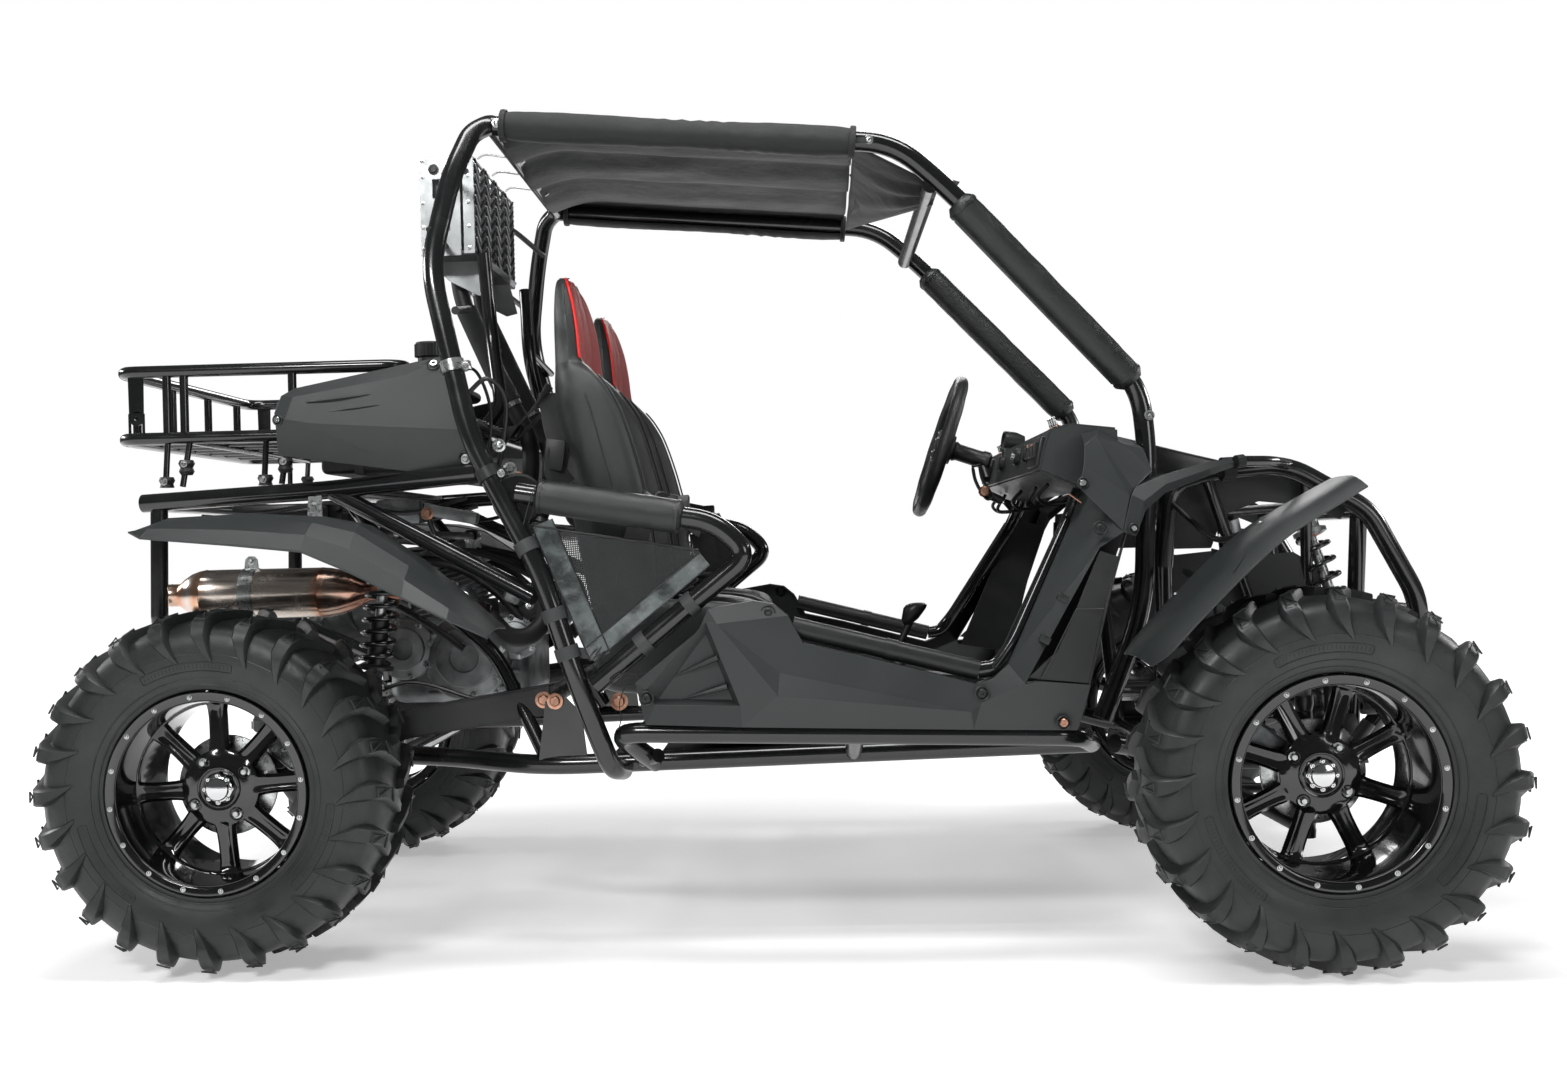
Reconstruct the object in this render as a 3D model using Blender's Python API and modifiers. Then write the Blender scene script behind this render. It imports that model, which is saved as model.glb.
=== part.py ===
"""A two-seat dune buggy: tubular chassis and roll cage, plastic panels, rear engine, four wheels.

Metres. The origin is on the ground, half-way between the axles and on the centre plane.
+X points forward, +Y to the driver's left and +Z up.
"""

import math

import bmesh
import bpy
from mathutils import Matrix, Vector

# Driving dimensions
WHEELBASE = 1.990
TYRE_R = 0.335
RIM_R = 0.185
BEAD_R = 0.186
REAR_TRACK_Y = 0.5575
FRONT_TRACK_Y = 0.665
REAR_TYRE_HALF = 0.1275
FRONT_TYRE_HALF = 0.115
WHEEL_STEPS = 24
SPOKES = 8

REAR_X = -WHEELBASE / 2
FRONT_X = WHEELBASE / 2
KINGPIN_Y = 0.575

MAIN_R = 0.019
LIGHT_R = 0.0165
RACK_R = 0.0125
RAIL_Y = 0.45
SILL_Y = 0.60
RAIL_Z = 0.345
HOOP_TOP_Z = 1.603
GAP = 0.0006
PILLAR_TOP = (0.374, 0.408, 1.440)
PILLAR_FOOT = (0.745, 0.380, 1.049)
BORE = MAIN_R + 0.0022

STEER_ARM = 0.11
COLUMN_LEAN = math.radians(19.2)
WHEEL_HUB = Vector((0.420, 0.270, 0.986))
SEAT_Y = 0.27

LEFT, RIGHT = 1, -1
SIDES = {"left": LEFT, "right": RIGHT}

COLOURS = {
    "frame": ((0.012, 0.013, 0.013), 0.32, 0.0),
    "panel": ((0.045, 0.050, 0.049), 0.55, 0.0),
    "fabric": ((0.016, 0.017, 0.017), 0.80, 0.0),
    "vinyl": ((0.030, 0.033, 0.033), 0.50, 0.0),
    "tyre": ((0.028, 0.031, 0.031), 0.72, 0.0),
    "rim": ((0.010, 0.010, 0.010), 0.20, 0.3),
    "alloy": ((0.42, 0.43, 0.43), 0.40, 0.9),
    "steel": ((0.48, 0.42, 0.38), 0.28, 1.0),
    "rubber": ((0.015, 0.016, 0.016), 0.60, 0.0),
    "spring": ((0.020, 0.020, 0.020), 0.35, 0.1),
}


# ---------------------------------------------------------------- tools

def clear_scene():
    for obj in list(bpy.data.objects):
        bpy.data.objects.remove(obj, do_unlink=True)


def new_collection(name):
    collection = bpy.data.collections.new(name)
    bpy.context.scene.collection.children.link(collection)
    return collection


clear_scene()
PARTS = new_collection("dune_buggy")
WORK = new_collection("construction")


def material(name):
    found = bpy.data.materials.get(name)
    if found:
        return found
    colour, roughness, metallic = COLOURS[name]
    made = bpy.data.materials.new(name)
    made.use_nodes = True
    shader = made.node_tree.nodes["Principled BSDF"]
    shader.inputs["Base Color"].default_value = (*colour, 1.0)
    shader.inputs["Roughness"].default_value = roughness
    shader.inputs["Metallic"].default_value = metallic
    return made


def at(x, y, z, side=LEFT):
    """A point given for the left side, on either side."""
    return Vector((x, y * side, z))


def solid(obj):
    """The evaluated object as a plain welded mesh object with its faces pointing out."""
    graph = bpy.context.evaluated_depsgraph_get()
    mesh = bpy.data.meshes.new_from_object(obj.evaluated_get(graph))
    shape = bmesh.new()
    shape.from_mesh(mesh)
    shape.transform(obj.matrix_world)
    bmesh.ops.remove_doubles(shape, verts=shape.verts, dist=0.00002)
    bmesh.ops.recalc_face_normals(shape, faces=shape.faces)
    shape.to_mesh(mesh)
    shape.free()
    mesh.materials.clear()
    bpy.data.objects.remove(obj, do_unlink=True)
    made = bpy.data.objects.new("piece", mesh)
    WORK.objects.link(made)
    bpy.context.view_layer.update()
    return made


def joined(pieces):
    """One body from overlapping pieces."""
    base, *rest = pieces
    for piece in rest:
        union = base.modifiers.new("union", "BOOLEAN")
        union.operation = "UNION"
        union.solver = "EXACT"
        union.object = piece
    bpy.context.view_layer.update()
    made = solid(base)
    for piece in rest:
        bpy.data.objects.remove(piece, do_unlink=True)
    return made


def cut(body, cutters):
    for cutter in cutters:
        minus = body.modifiers.new("cut", "BOOLEAN")
        minus.operation = "DIFFERENCE"
        minus.solver = "EXACT"
        minus.object = cutter
    bpy.context.view_layer.update()
    made = solid(body)
    for cutter in cutters:
        bpy.data.objects.remove(cutter, do_unlink=True)
    return made


def moved(obj, matrix):
    obj.data.transform(matrix)
    return obj


def part(name, piece, material_name):
    """Names a finished piece and puts it in the buggy's collection."""
    piece.name = name
    piece.data.name = name
    piece.data.materials.append(material(material_name))
    WORK.objects.unlink(piece)
    PARTS.objects.link(piece)
    piece.data.shade_smooth()
    piece.data.set_sharp_from_angle(angle=math.radians(38))
    return piece


def pivot(name, location, children):
    """An empty on a joint's axis that carries its pieces."""
    empty = bpy.data.objects.new(name, None)
    empty.location = location
    PARTS.objects.link(empty)
    bpy.context.view_layer.update()
    for child in children:
        child.parent = empty
        child.matrix_parent_inverse = empty.matrix_world.inverted()
    return empty


def mirrored(piece):
    """The same piece on the other side of the centre plane."""
    mesh = piece.data.copy()
    mesh.transform(Matrix.Scale(-1, 4, (0, 1, 0)))
    mesh.flip_normals()
    mesh.materials.clear()
    made = bpy.data.objects.new("piece", mesh)
    WORK.objects.link(made)
    return made


def both(name, piece, material_name):
    """piece, made for the left side, as NAME_left and NAME_right."""
    other = mirrored(piece)
    return part(name + "_left", piece, material_name), part(name + "_right", other, material_name)


def pair(pieces):
    """The pieces and their mirror images."""
    return pieces + [mirrored(piece) for piece in pieces]


def rounded(points, radius, steps=1, cyclic=False):
    """The polyline with each inner corner turned into a short arc of the given leg length."""
    points = [Vector(p) for p in points]
    if cyclic:
        points = [points[-1]] + points + [points[0]]
    path = [] if cyclic else [points[0]]
    for before, corner, after in zip(points, points[1:], points[2:]):
        back = before - corner
        ahead = after - corner
        leg = min(radius, back.length * 0.45, ahead.length * 0.45)
        start = corner + back.normalized() * leg
        end = corner + ahead.normalized() * leg
        for step in range(steps + 1):
            t = step / steps
            path.append(start * (1 - t) ** 2 + corner * 2 * t * (1 - t) + end * t ** 2)
    if not cyclic:
        path.append(points[-1])
    return path


def tube(points, radius, bend=0.0, cyclic=False, resolution=2, steps=1):
    path = rounded(points, bend, steps, cyclic) if bend else [Vector(p) for p in points]
    curve = bpy.data.curves.new("tube", "CURVE")
    curve.dimensions = "3D"
    curve.bevel_depth = radius
    curve.bevel_resolution = resolution
    curve.use_fill_caps = not cyclic
    spline = curve.splines.new("POLY")
    spline.points.add(len(path) - 1)
    for point, place in zip(spline.points, path):
        point.co = (*place, 1.0)
    spline.use_cyclic_u = cyclic
    obj = bpy.data.objects.new("tube", curve)
    WORK.objects.link(obj)
    bpy.context.view_layer.update()
    return solid(obj)


def box(low, high):
    low, high = Vector(low), Vector(high)
    bpy.ops.mesh.primitive_cube_add(size=1.0, location=(low + high) / 2)
    obj = bpy.context.active_object
    obj.scale = [abs(high[i] - low[i]) for i in range(3)]
    bpy.context.view_layer.update()
    for collection in list(obj.users_collection):
        collection.objects.unlink(obj)
    WORK.objects.link(obj)
    return solid(obj)


def plate(outline, thickness, matrix):
    """A flat outline, given in its own plane, made thick and set in place by matrix."""
    curve = bpy.data.curves.new("plate", "CURVE")
    curve.dimensions = "2D"
    curve.fill_mode = "BOTH"
    curve.extrude = thickness / 2
    spline = curve.splines.new("POLY")
    spline.points.add(len(outline) - 1)
    for point, (u, v) in zip(spline.points, outline):
        point.co = (u, v, 0, 1)
    spline.use_cyclic_u = True
    obj = bpy.data.objects.new("plate", curve)
    obj.matrix_world = matrix
    WORK.objects.link(obj)
    bpy.context.view_layer.update()
    return solid(obj)


def side_plate(outline, y_low, y_high):
    """An X-Z outline made thick across the buggy."""
    place = Matrix.Translation((0, (y_low + y_high) / 2, 0)) @ Matrix.Rotation(math.pi / 2, 4, "X")
    return plate(outline, y_high - y_low, place)


def level_plate(outline, z_low, z_high):
    """An X-Y outline made thick upwards."""
    return plate(outline, z_high - z_low, Matrix.Translation((0, 0, (z_low + z_high) / 2)))


def turned(profile, steps, centre, closed=True):
    """A (radius, offset) profile turned about an axis along Y through centre."""
    mesh = bpy.data.meshes.new("turned")
    count = len(profile)
    edges = [(i, (i + 1) % count) for i in range(count if closed else count - 1)]
    start = math.pi / steps
    scale = 1 / math.cos(math.pi / steps)
    points = [(r * scale * math.cos(start), r * scale * math.sin(start), h) for r, h in profile]
    mesh.from_pydata(points, edges, [])
    obj = bpy.data.objects.new("turned", mesh)
    WORK.objects.link(obj)
    screw = obj.modifiers.new("turn", "SCREW")
    screw.axis = "Z"
    screw.steps = steps
    screw.render_steps = steps
    screw.use_merge_vertices = True
    screw.merge_threshold = 0.00005
    obj.matrix_world = Matrix.Translation(centre) @ Matrix.Rotation(-math.pi / 2, 4, "X")
    bpy.context.view_layer.update()
    return solid(obj)


def rod(start, end, radius, steps=6):
    """A straight round bar between two points."""
    start, end = Vector(start), Vector(end)
    bpy.ops.mesh.primitive_cylinder_add(vertices=steps, radius=radius, depth=(end - start).length)
    obj = bpy.context.active_object
    turn = (end - start).to_track_quat("Z", "Y").to_matrix().to_4x4()
    obj.matrix_world = Matrix.Translation((start + end) / 2) @ turn
    bpy.context.view_layer.update()
    for collection in list(obj.users_collection):
        collection.objects.unlink(obj)
    WORK.objects.link(obj)
    return solid(obj)


# ---------------------------------------------------------------- chassis and cage

def floor_frame():
    """Lower rails, sills and the cross tubes between them."""
    rail = tube([
        at(-0.745, 0.300, 0.352),
        at(-0.620, 0.340, 0.350),
        at(-0.420, RAIL_Y, RAIL_Z),
        at(0.632, RAIL_Y, 0.371),
    ], MAIN_R)
    sill = tube([
        at(-0.200, RAIL_Y, 0.348),
        at(-0.262, SILL_Y, 0.425),
        at(0.587, SILL_Y, 0.404),
        at(0.632, RAIL_Y, 0.371),
    ], MAIN_R, bend=0.06)
    outrigger = rod(at(0.18, RAIL_Y, 0.360), at(0.18, SILL_Y, 0.412), LIGHT_R)
    pieces = pair([rail, sill, outrigger])
    for x, y, z in ((-0.735, 0.300, 0.352), (-0.28, RAIL_Y, 0.346), (0.18, RAIL_Y, 0.360), (0.625, RAIL_Y, 0.371)):
        pieces.append(rod((x, -y, z), (x, y, z), LIGHT_R))
    part("floor_frame", joined(pieces), "frame")


def hoop_point(z):
    """The rear hoop's centre line at height z, on the left."""
    path = [(-0.322, 0.600, 0.503), (-0.391, 0.600, 0.725), (-0.521, 0.570, 0.970), (-0.597, 0.535, 1.298)]
    for low, high in zip(path, path[1:]):
        if z <= high[2]:
            return Vector(low).lerp(Vector(high), (z - low[2]) / (high[2] - low[2]))
    return Vector(path[-1])


def roll_hoop():
    half = [
        at(-0.262, RAIL_Y + MAIN_R + 0.004, 0.338),
        at(-0.272, 0.560, 0.352),
        hoop_point(0.503),
        hoop_point(0.725),
        hoop_point(0.970),
        hoop_point(1.298),
        at(-0.510, 0.400, HOOP_TOP_Z),
    ]
    path = half + [Vector((p.x, -p.y, p.z)) for p in reversed(half)]
    hoop = tube(path, MAIN_R + 0.0005, bend=0.075, resolution=2)
    shoulder_bar = rod(hoop_point(1.00), at(*hoop_point(1.00), RIGHT), LIGHT_R)
    seat_bar = rod(hoop_point(0.80), at(*hoop_point(0.80), RIGHT), LIGHT_R)
    part("roll_hoop", joined([hoop, shoulder_bar, seat_bar]), "frame")


def roof_side(radius):
    """The left roof tube and windscreen pillar, down to the floor rail."""
    return tube([
        at(-0.485, 0.400, HOOP_TOP_Z - 0.004),
        at(0.270, 0.412, 1.532),
        at(*PILLAR_TOP),
        at(*PILLAR_FOOT),
        at(0.765, 0.380, 0.930),
        at(0.752, 0.385, 0.620),
        at(0.664, 0.400, 0.410),
    ], radius, bend=0.05)


def roof_frame():
    """Roof side tubes running down into the windscreen pillars, and their cross tubes."""
    pieces = pair([roof_side(MAIN_R)])
    pieces.append(rod((0.355, -0.408, 1.452), (0.355, 0.408, 1.452), LIGHT_R))
    pieces.append(rod((0.764, -0.380, 0.900), (0.764, 0.380, 0.900), LIGHT_R))
    part("roof_frame", joined(pieces), "frame")


def rear_frame():
    """Upper rear rails, the diagonals to the hoop, and the legs down to the engine cradle."""
    rail_end = hoop_point(0.908) + Vector((-0.022, -0.026, 0))
    rail = tube([at(-1.212, 0.405, 0.872), at(-0.825, 0.450, 0.888), rail_end], LIGHT_R)
    diagonal = rod(at(-0.825, 0.450, 0.888), hoop_point(0.655) + Vector((-0.036, -0.024, 0.020)), LIGHT_R)
    leg = tube([
        at(-1.180, 0.405, 0.872),
        at(-1.186, 0.405, 0.600),
        at(-0.925, 0.300, 0.500),
        at(-0.745, 0.300, 0.420),
        at(-0.745, 0.300, 0.3716),
    ], LIGHT_R)
    pieces = pair([rail, diagonal, leg])
    for x, y, z in ((-1.200, 0.405, 0.872), (-0.825, 0.450, 0.888), (-1.184, 0.400, 0.600)):
        pieces.append(rod((x, -y, z), (x, y, z), LIGHT_R))
    part("rear_frame", joined(pieces), "frame")


def front_frame():
    """Nose loops over the front suspension and the brush guard."""
    loop = tube([
        at(0.800, 0.340, 0.700),
        at(0.815, 0.340, 0.860),
        at(0.886, 0.350, 0.885),
        at(1.040, 0.350, 0.897),
        at(1.198, 0.350, 0.803),
        at(1.234, 0.348, 0.735),
        at(1.298, 0.340, 0.620),
        at(1.290, 0.310, 0.480),
        at(1.200, 0.250, 0.330),
        at(0.820, 0.250, 0.322),
        at(0.700, 0.330, 0.352),
    ], MAIN_R)
    guard = rod(at(1.196, 0.300, 0.800), at(1.196, 0.230, 0.335), LIGHT_R)
    tower = rod(at(0.800, 0.340, 0.705), at(0.820, 0.250, 0.325), LIGHT_R)
    pieces = pair([loop, guard, tower])
    for x, y, z in ((1.196, 0.350, 0.803), (1.294, 0.335, 0.600), (1.200, 0.250, 0.332), (0.825, 0.250, 0.322),
                    (0.808, 0.340, 0.800)):
        pieces.append(rod((x, -y, z), (x, y, z), LIGHT_R))
    pieces.append(box((1.1855, -0.10, 0.34), (1.2045, 0.10, 0.47)))
    part("front_frame", joined(pieces), "frame")


def side_hoops():
    """The padded bar beside each seat and the tube that carries it."""
    start = hoop_point(0.868) + Vector((0.034, 0.002, 0))
    end = hoop_point(0.500) + Vector((0.026, 0.0, 0.012))
    hoop = tube([start, at(-0.067, 0.600, 0.806), at(-0.005, 0.600, 0.745), end], MAIN_R, bend=0.055, steps=2)
    both("side_hoop", hoop, "frame")


# ---------------------------------------------------------------- luggage rack

def rear_rack():
    """A basket of light tube on the rear rails."""
    half, front, back = 0.365, -0.700, -1.275
    top, low = 1.137, 1.003

    def ring(z):
        corners = [(front, -half, z), (back, -half, z), (back, half, z), (front, half, z)]
        return tube(corners, RACK_R, bend=0.035, cyclic=True)

    pieces = [ring(top), ring(low)]
    for x in (-1.230, -1.000, -0.740):
        for side in (LEFT, RIGHT):
            pieces.append(rod((x, half * side, low), (x, half * side, top), 0.006))
    for y in (-0.18, 0.18):
        pieces.append(rod((back, y, low), (back, y, top), 0.006))
        pieces.append(rod((back, y, low), (front, y, low), 0.007))
    for x in (-1.130, -0.930):
        for side in (LEFT, RIGHT):
            pieces.append(rod((x, half * side, low), (x, 0.400 * side, 0.902), 0.009))
    pieces.append(box((-1.12, -0.20, 0.997), (-0.96, 0.20, 1.009)))
    part("rear_rack", joined(pieces), "frame")


# ---------------------------------------------------------------- body panels

def side_panels():
    """The plastic sill and door-post panel on each side, with its faceted waist."""
    sill = side_plate([
        (-0.193, 0.440), (-0.212, 0.505), (-0.118, 0.640), (-0.085, 0.655), (0.036, 0.657), (0.080, 0.600),
        (0.274, 0.556), (0.420, 0.524), (0.470, 0.545), (0.556, 0.800), (0.590, 0.870), (0.650, 0.915),
        (0.700, 0.800), (0.655, 0.647), (0.592, 0.428), (0.250, 0.436),
    ], SILL_Y + MAIN_R + GAP, 0.640)
    inner = side_plate([
        (-0.190, 0.460), (-0.085, 0.640), (0.036, 0.640), (0.080, 0.585), (0.420, 0.510), (0.560, 0.530),
        (0.590, 0.450),
    ], 0.500, SILL_Y + MAIN_R + 0.004)
    both("side_panel", joined([sill, inner]), "panel")


def dashboard():
    """The cross panel behind the steering wheel, on its lower tray."""
    body = side_plate([
        (0.560, 0.862), (0.545, 0.950), (0.585, 0.971), (0.692, 0.953), (0.692, 0.872), (0.640, 0.850),
    ], -0.480, 0.480)
    part("dashboard", body, "panel")


def hood():
    """The nose cover: a sloping top with a cheek and an arm on each side."""
    top = side_plate([
        (0.622, 0.982), (0.660, 0.986), (0.740, 0.966), (0.870, 0.930), (1.040, 0.886), (1.040, 0.878),
        (0.870, 0.921), (0.740, 0.952), (0.622, 0.976),
    ], -0.325, 0.325)
    cheek = side_plate([
        (0.600, 0.880), (0.620, 0.966), (0.656, 0.972), (0.740, 0.880), (0.735, 0.800), (0.706, 0.800),
        (0.640, 0.860),
    ], 0.485, 0.560)
    shelf = side_plate([(0.622, 0.974), (0.622, 0.982), (0.660, 0.986), (0.733, 0.968), (0.733, 0.954), (0.660, 0.968)], 0.300, 0.500)
    arm = side_plate([(0.700, 0.800), (0.700, 0.868), (0.790, 0.905), (0.905, 0.928), (0.905, 0.9068), (0.800, 0.8915),
                      (0.745, 0.850), (0.725, 0.800)], 0.408, 0.520)
    part("hood", joined([top] + pair([cheek, shelf, arm])), "panel")


def floor_pan():
    """The footwell floor, its raised tunnel and the toe board."""
    floor = level_plate([(-0.180, -0.425), (0.600, -0.425), (0.600, 0.425), (-0.180, 0.425)], 0.394, 0.400)
    tunnel = side_plate([(-0.180, 0.398), (-0.180, 0.500), (0.420, 0.470), (0.600, 0.440), (0.600, 0.398)], -0.055, 0.055)
    toe = side_plate([(0.594, 0.396), (0.690, 0.640), (0.700, 0.820), (0.706, 0.820), (0.697, 0.638), (0.601, 0.394)],
                     -0.350, 0.350)
    part("floor_pan", joined([floor, tunnel, toe]), "panel")


def rear_covers():
    """The faceted box over each rear corner of the engine bay."""
    outer = side_plate([
        (-0.899, 0.952), (-0.905, 1.020), (-0.890, 1.070), (-0.620, 1.152), (-0.575, 1.140), (-0.560, 1.000),
        (-0.545, 0.935), (-0.720, 0.926),
    ], 0.498, 0.530)
    lid = side_plate([
        (-0.892, 1.050), (-0.890, 1.070), (-0.620, 1.152), (-0.575, 1.140), (-0.575, 1.120), (-0.620, 1.130),
    ], 0.395, 0.500)
    both("rear_cover", joined([outer, lid]), "panel")


def fenders():
    """The curved flap behind each front wheel and over each rear one."""
    crown = [(1.060, 0.849), (1.000, 0.814), (0.925, 0.760), (0.860, 0.703), (0.790, 0.645), (0.736, 0.600), (0.686, 0.546)]
    thick = 0.004
    under = [(x + 0.0028, z - thick) for x, z in reversed(crown)]
    front_skin = side_plate([(x - 0.020, z + 0.006) for x, z in crown] + [(x - 0.020, z + 0.006) for x, z in under],
                            0.520, 0.770)
    stay = tube([at(0.835, 0.380, 0.690), at(0.840, 0.440, 0.680), at(0.850, 0.545, 0.712)], 0.008, bend=0.03)
    both("fender_front", joined([front_skin, stay]), "panel")
    crest = [(-1.118, 0.818), (-1.000, 0.829), (-0.890, 0.824), (-0.794, 0.794), (-0.640, 0.718), (-0.478, 0.650)]
    below = [(x - 0.001, z - thick) for x, z in reversed(crest)]
    rear_skin = side_plate(crest + below, 0.500, 0.690)
    tab = rod(at(-0.930, 0.4560, 0.858), at(-0.930, 0.530, 0.812), 0.007)
    both("fender_rear", joined([rear_skin, tab]), "panel")


# ---------------------------------------------------------------- soft parts

def roof_canopy():
    """The fabric roof: a sheet between the two sleeves round the roof tubes."""
    back, front = -0.470, 0.210
    sleeves = []
    for side in (LEFT, RIGHT):
        start = at(back, 0.4004, HOOP_TOP_Z - 0.0054, side)
        end = at(front, 0.4110, 1.5378, side)
        sleeve = tube([start, end], 0.0285, resolution=3)
        bore = tube([start + (start - end) * 0.1, end + (end - start) * 0.1], MAIN_R + 0.0015)
        sleeves.append(cut(sleeve, [bore]))
    slope = (1.5378 - (HOOP_TOP_Z - 0.0054)) / (front - back)
    lean = math.atan(slope)
    sheet = box((back, -0.378, -0.003), (front, 0.378, 0.003))
    middle = Vector(((back + front) / 2, 0, (1.5378 + HOOP_TOP_Z - 0.0054) / 2 + 0.0235))
    moved(sheet, Matrix.Translation((-(back + front) / 2, 0, 0)))
    moved(sheet, Matrix.Translation(middle) @ Matrix.Rotation(-lean, 4, "Y"))
    edge_left = box((back, 0.370, -0.003), (front, 0.400, 0.003))
    edge_right = box((back, -0.400, -0.003), (front, -0.370, 0.003))
    for edge in (edge_left, edge_right):
        moved(edge, Matrix.Translation((-(back + front) / 2, 0, 0)))
        moved(edge, Matrix.Translation(middle) @ Matrix.Rotation(-lean, 4, "Y"))
    flap = level_plate([(0.200, -0.360), (0.335, -0.352), (0.335, -0.316), (0.200, 0.340)], 1.532, 1.536)
    moved(flap, Matrix.Translation((0.200, 0, 1.534)) @ Matrix.Rotation(0.42, 4, "Y") @ Matrix.Translation((-0.200, 0, -1.534)))
    web = box((0.196, -0.360, 1.530), (0.206, 0.340, 1.560))
    part("roof_canopy", joined([sheet, edge_left, edge_right, flap, web] + sleeves), "fabric")


def sleeve(start, end, radius, core):
    """A padded sleeve round a stretch of frame tube, with the tube's own shape cut out of it."""
    return cut(tube([start, end], radius, resolution=3), [core])


def pads():
    """Foam sleeves on the windscreen pillars and the side bars."""
    top, foot = at(*PILLAR_TOP), at(*PILLAR_FOOT)
    both("pillar_pad", sleeve(top.lerp(foot, 0.06), top.lerp(foot, 0.96), 0.031, roof_side(BORE)), "fabric")
    rear, ahead = hoop_point(0.868) + Vector((0.034, 0.002, 0)), at(-0.067, 0.600, 0.806)
    core = tube([rear, ahead], BORE)
    both("side_pad", sleeve(rear.lerp(ahead, 0.10), rear.lerp(ahead, 0.84), 0.031, core), "fabric")


def side_nets():
    """The flat triangular net under each side bar."""
    net = side_plate([(-0.402, 0.822), (-0.100, 0.770), (-0.062, 0.726), (-0.290, 0.541), (-0.312, 0.560)], 0.598, 0.602)
    both("side_net", net, "fabric")


def seats():
    """Two bucket seats, each a cushion and a back in one shell."""
    back = side_plate([
        (-0.380, 0.700), (-0.425, 1.060), (-0.408, 1.322), (-0.368, 1.332), (-0.335, 1.180),
        (-0.290, 1.060), (-0.262, 0.900), (-0.250, 0.690),
    ], SEAT_Y - 0.165, SEAT_Y + 0.165)
    shoulders = side_plate([
        (-0.345, 0.620), (-0.398, 0.800), (-0.430, 1.080), (-0.365, 1.108), (-0.270, 1.000), (-0.215, 0.820),
        (-0.220, 0.640),
    ], SEAT_Y - 0.205, SEAT_Y + 0.210)
    cushion = side_plate([
        (-0.330, 0.470), (-0.345, 0.640), (-0.250, 0.690), (-0.030, 0.690), (0.012, 0.660), (0.016, 0.590),
        (-0.020, 0.470),
    ], SEAT_Y - 0.200, SEAT_Y + 0.207)
    both("seat", joined([cushion, shoulders, back]), "vinyl")


# ---------------------------------------------------------------- engine bay

def engine():
    """The engine and gearbox, one plain block."""
    part("engine", box((-0.850, -0.240, 0.430), (-0.440, 0.240, 0.780)), "alloy")


def radiator():
    core = box((-0.690, -0.220, 1.378), (-0.575, 0.220, 1.588))
    tabs = [box((-0.640, side * 0.16 - 0.012, 1.586), (-0.610, side * 0.16 + 0.012, 1.602)) for side in SIDES.values()]
    upper = pair([rod(at(-0.640, 0.215, 1.560), at(-0.550, 0.402, 1.512), 0.0065)])
    part("radiator", joined([core] + tabs + upper), "alloy")


def cooling_hoses():
    """Both hoses from the engine to the radiator, held by one clip."""
    def hose(y):
        return tube([
            (-0.640, y, 1.370), (-0.630, y, 1.300), (-0.552, y * 1.1, 1.125), (-0.486, y * 1.1, 1.000),
            (-0.490, y * 1.1, 0.900), (-0.530, y * 1.1, 0.792),
        ], 0.0185)

    clip = rod((-0.594, -0.130, 1.220), (-0.594, 0.130, 1.220), 0.006)
    pieces = [hose(0.110), hose(-0.110), clip]
    part("cooling_hoses", joined(pieces), "rubber")


def fuel_tank():
    """The tank under the front of the rack, with its filler."""
    tank = box((-0.880, -0.330, 0.925), (-0.620, 0.330, 0.970))
    neck = rod((-0.655, -0.300, 0.960), (-0.655, -0.300, 1.160), 0.022, steps=8)
    cap = rod((-0.655, -0.300, 1.155), (-0.655, -0.300, 1.190), 0.034, steps=12)
    part("fuel_tank", joined([tank, neck, cap]), "rubber")


def muffler():
    """The silencer with its tail pipe and the pipe from the engine."""
    y, z = -0.295, 0.686
    can = rod((-1.178, y, z), (-0.798, y, z), 0.051, steps=12)
    tail = rod((-1.229, y, z), (-1.170, y, z), 0.023, steps=8)
    pipe = tube([(-0.805, y, z), (-0.720, y - 0.010, z), (-0.600, y - 0.010, 0.650), (-0.560, -0.2530, 0.640)], 0.019)
    part("muffler", joined([can, tail, pipe]), "steel")


def rear_swing_arms():
    """The trailing arms on their pivot tube, with the hub carriers."""
    beam = side_plate([(-0.405, 0.500), (-0.405, 0.440), (-0.690, 0.398), (-0.990, 0.300), (-1.040, 0.335),
                       (-0.990, 0.372), (-0.690, 0.456)], 0.385, 0.425)
    strut = rod(at(-0.400, 0.320, 0.470), at(-0.700, 0.395, 0.428), 0.016)
    carrier = rod(at(REAR_X, 0.390, 0.335), at(REAR_X, 0.440, 0.335), 0.048, steps=12)
    spindle = rod(at(REAR_X, 0.435, 0.335), at(REAR_X, 0.5705, 0.335), 0.018, steps=12)
    ear = box(at(-0.795, 0.3865, 0.420), at(-0.735, 0.4165, 0.480))
    pieces = pair([beam, strut, carrier, spindle, ear])
    pieces.append(rod((-0.415, -0.420, 0.470), (-0.415, 0.420, 0.470), 0.018))
    arms = joined(pieces)
    part("rear_swing_arms", arms, "frame")


def shock(foot, head, spring_r, rod_r):
    """A spring and damper unit between two eyes."""
    foot, head = Vector(foot), Vector(head)
    eyes = [rod(p + Vector((-0.012, 0, 0)), p + Vector((0.012, 0, 0)), 0.017) for p in (foot, head)]
    spring = rod(foot.lerp(head, 0.14), foot.lerp(head, 0.88), spring_r, steps=12)
    return joined([rod(foot, head, rod_r), spring] + eyes)


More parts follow.
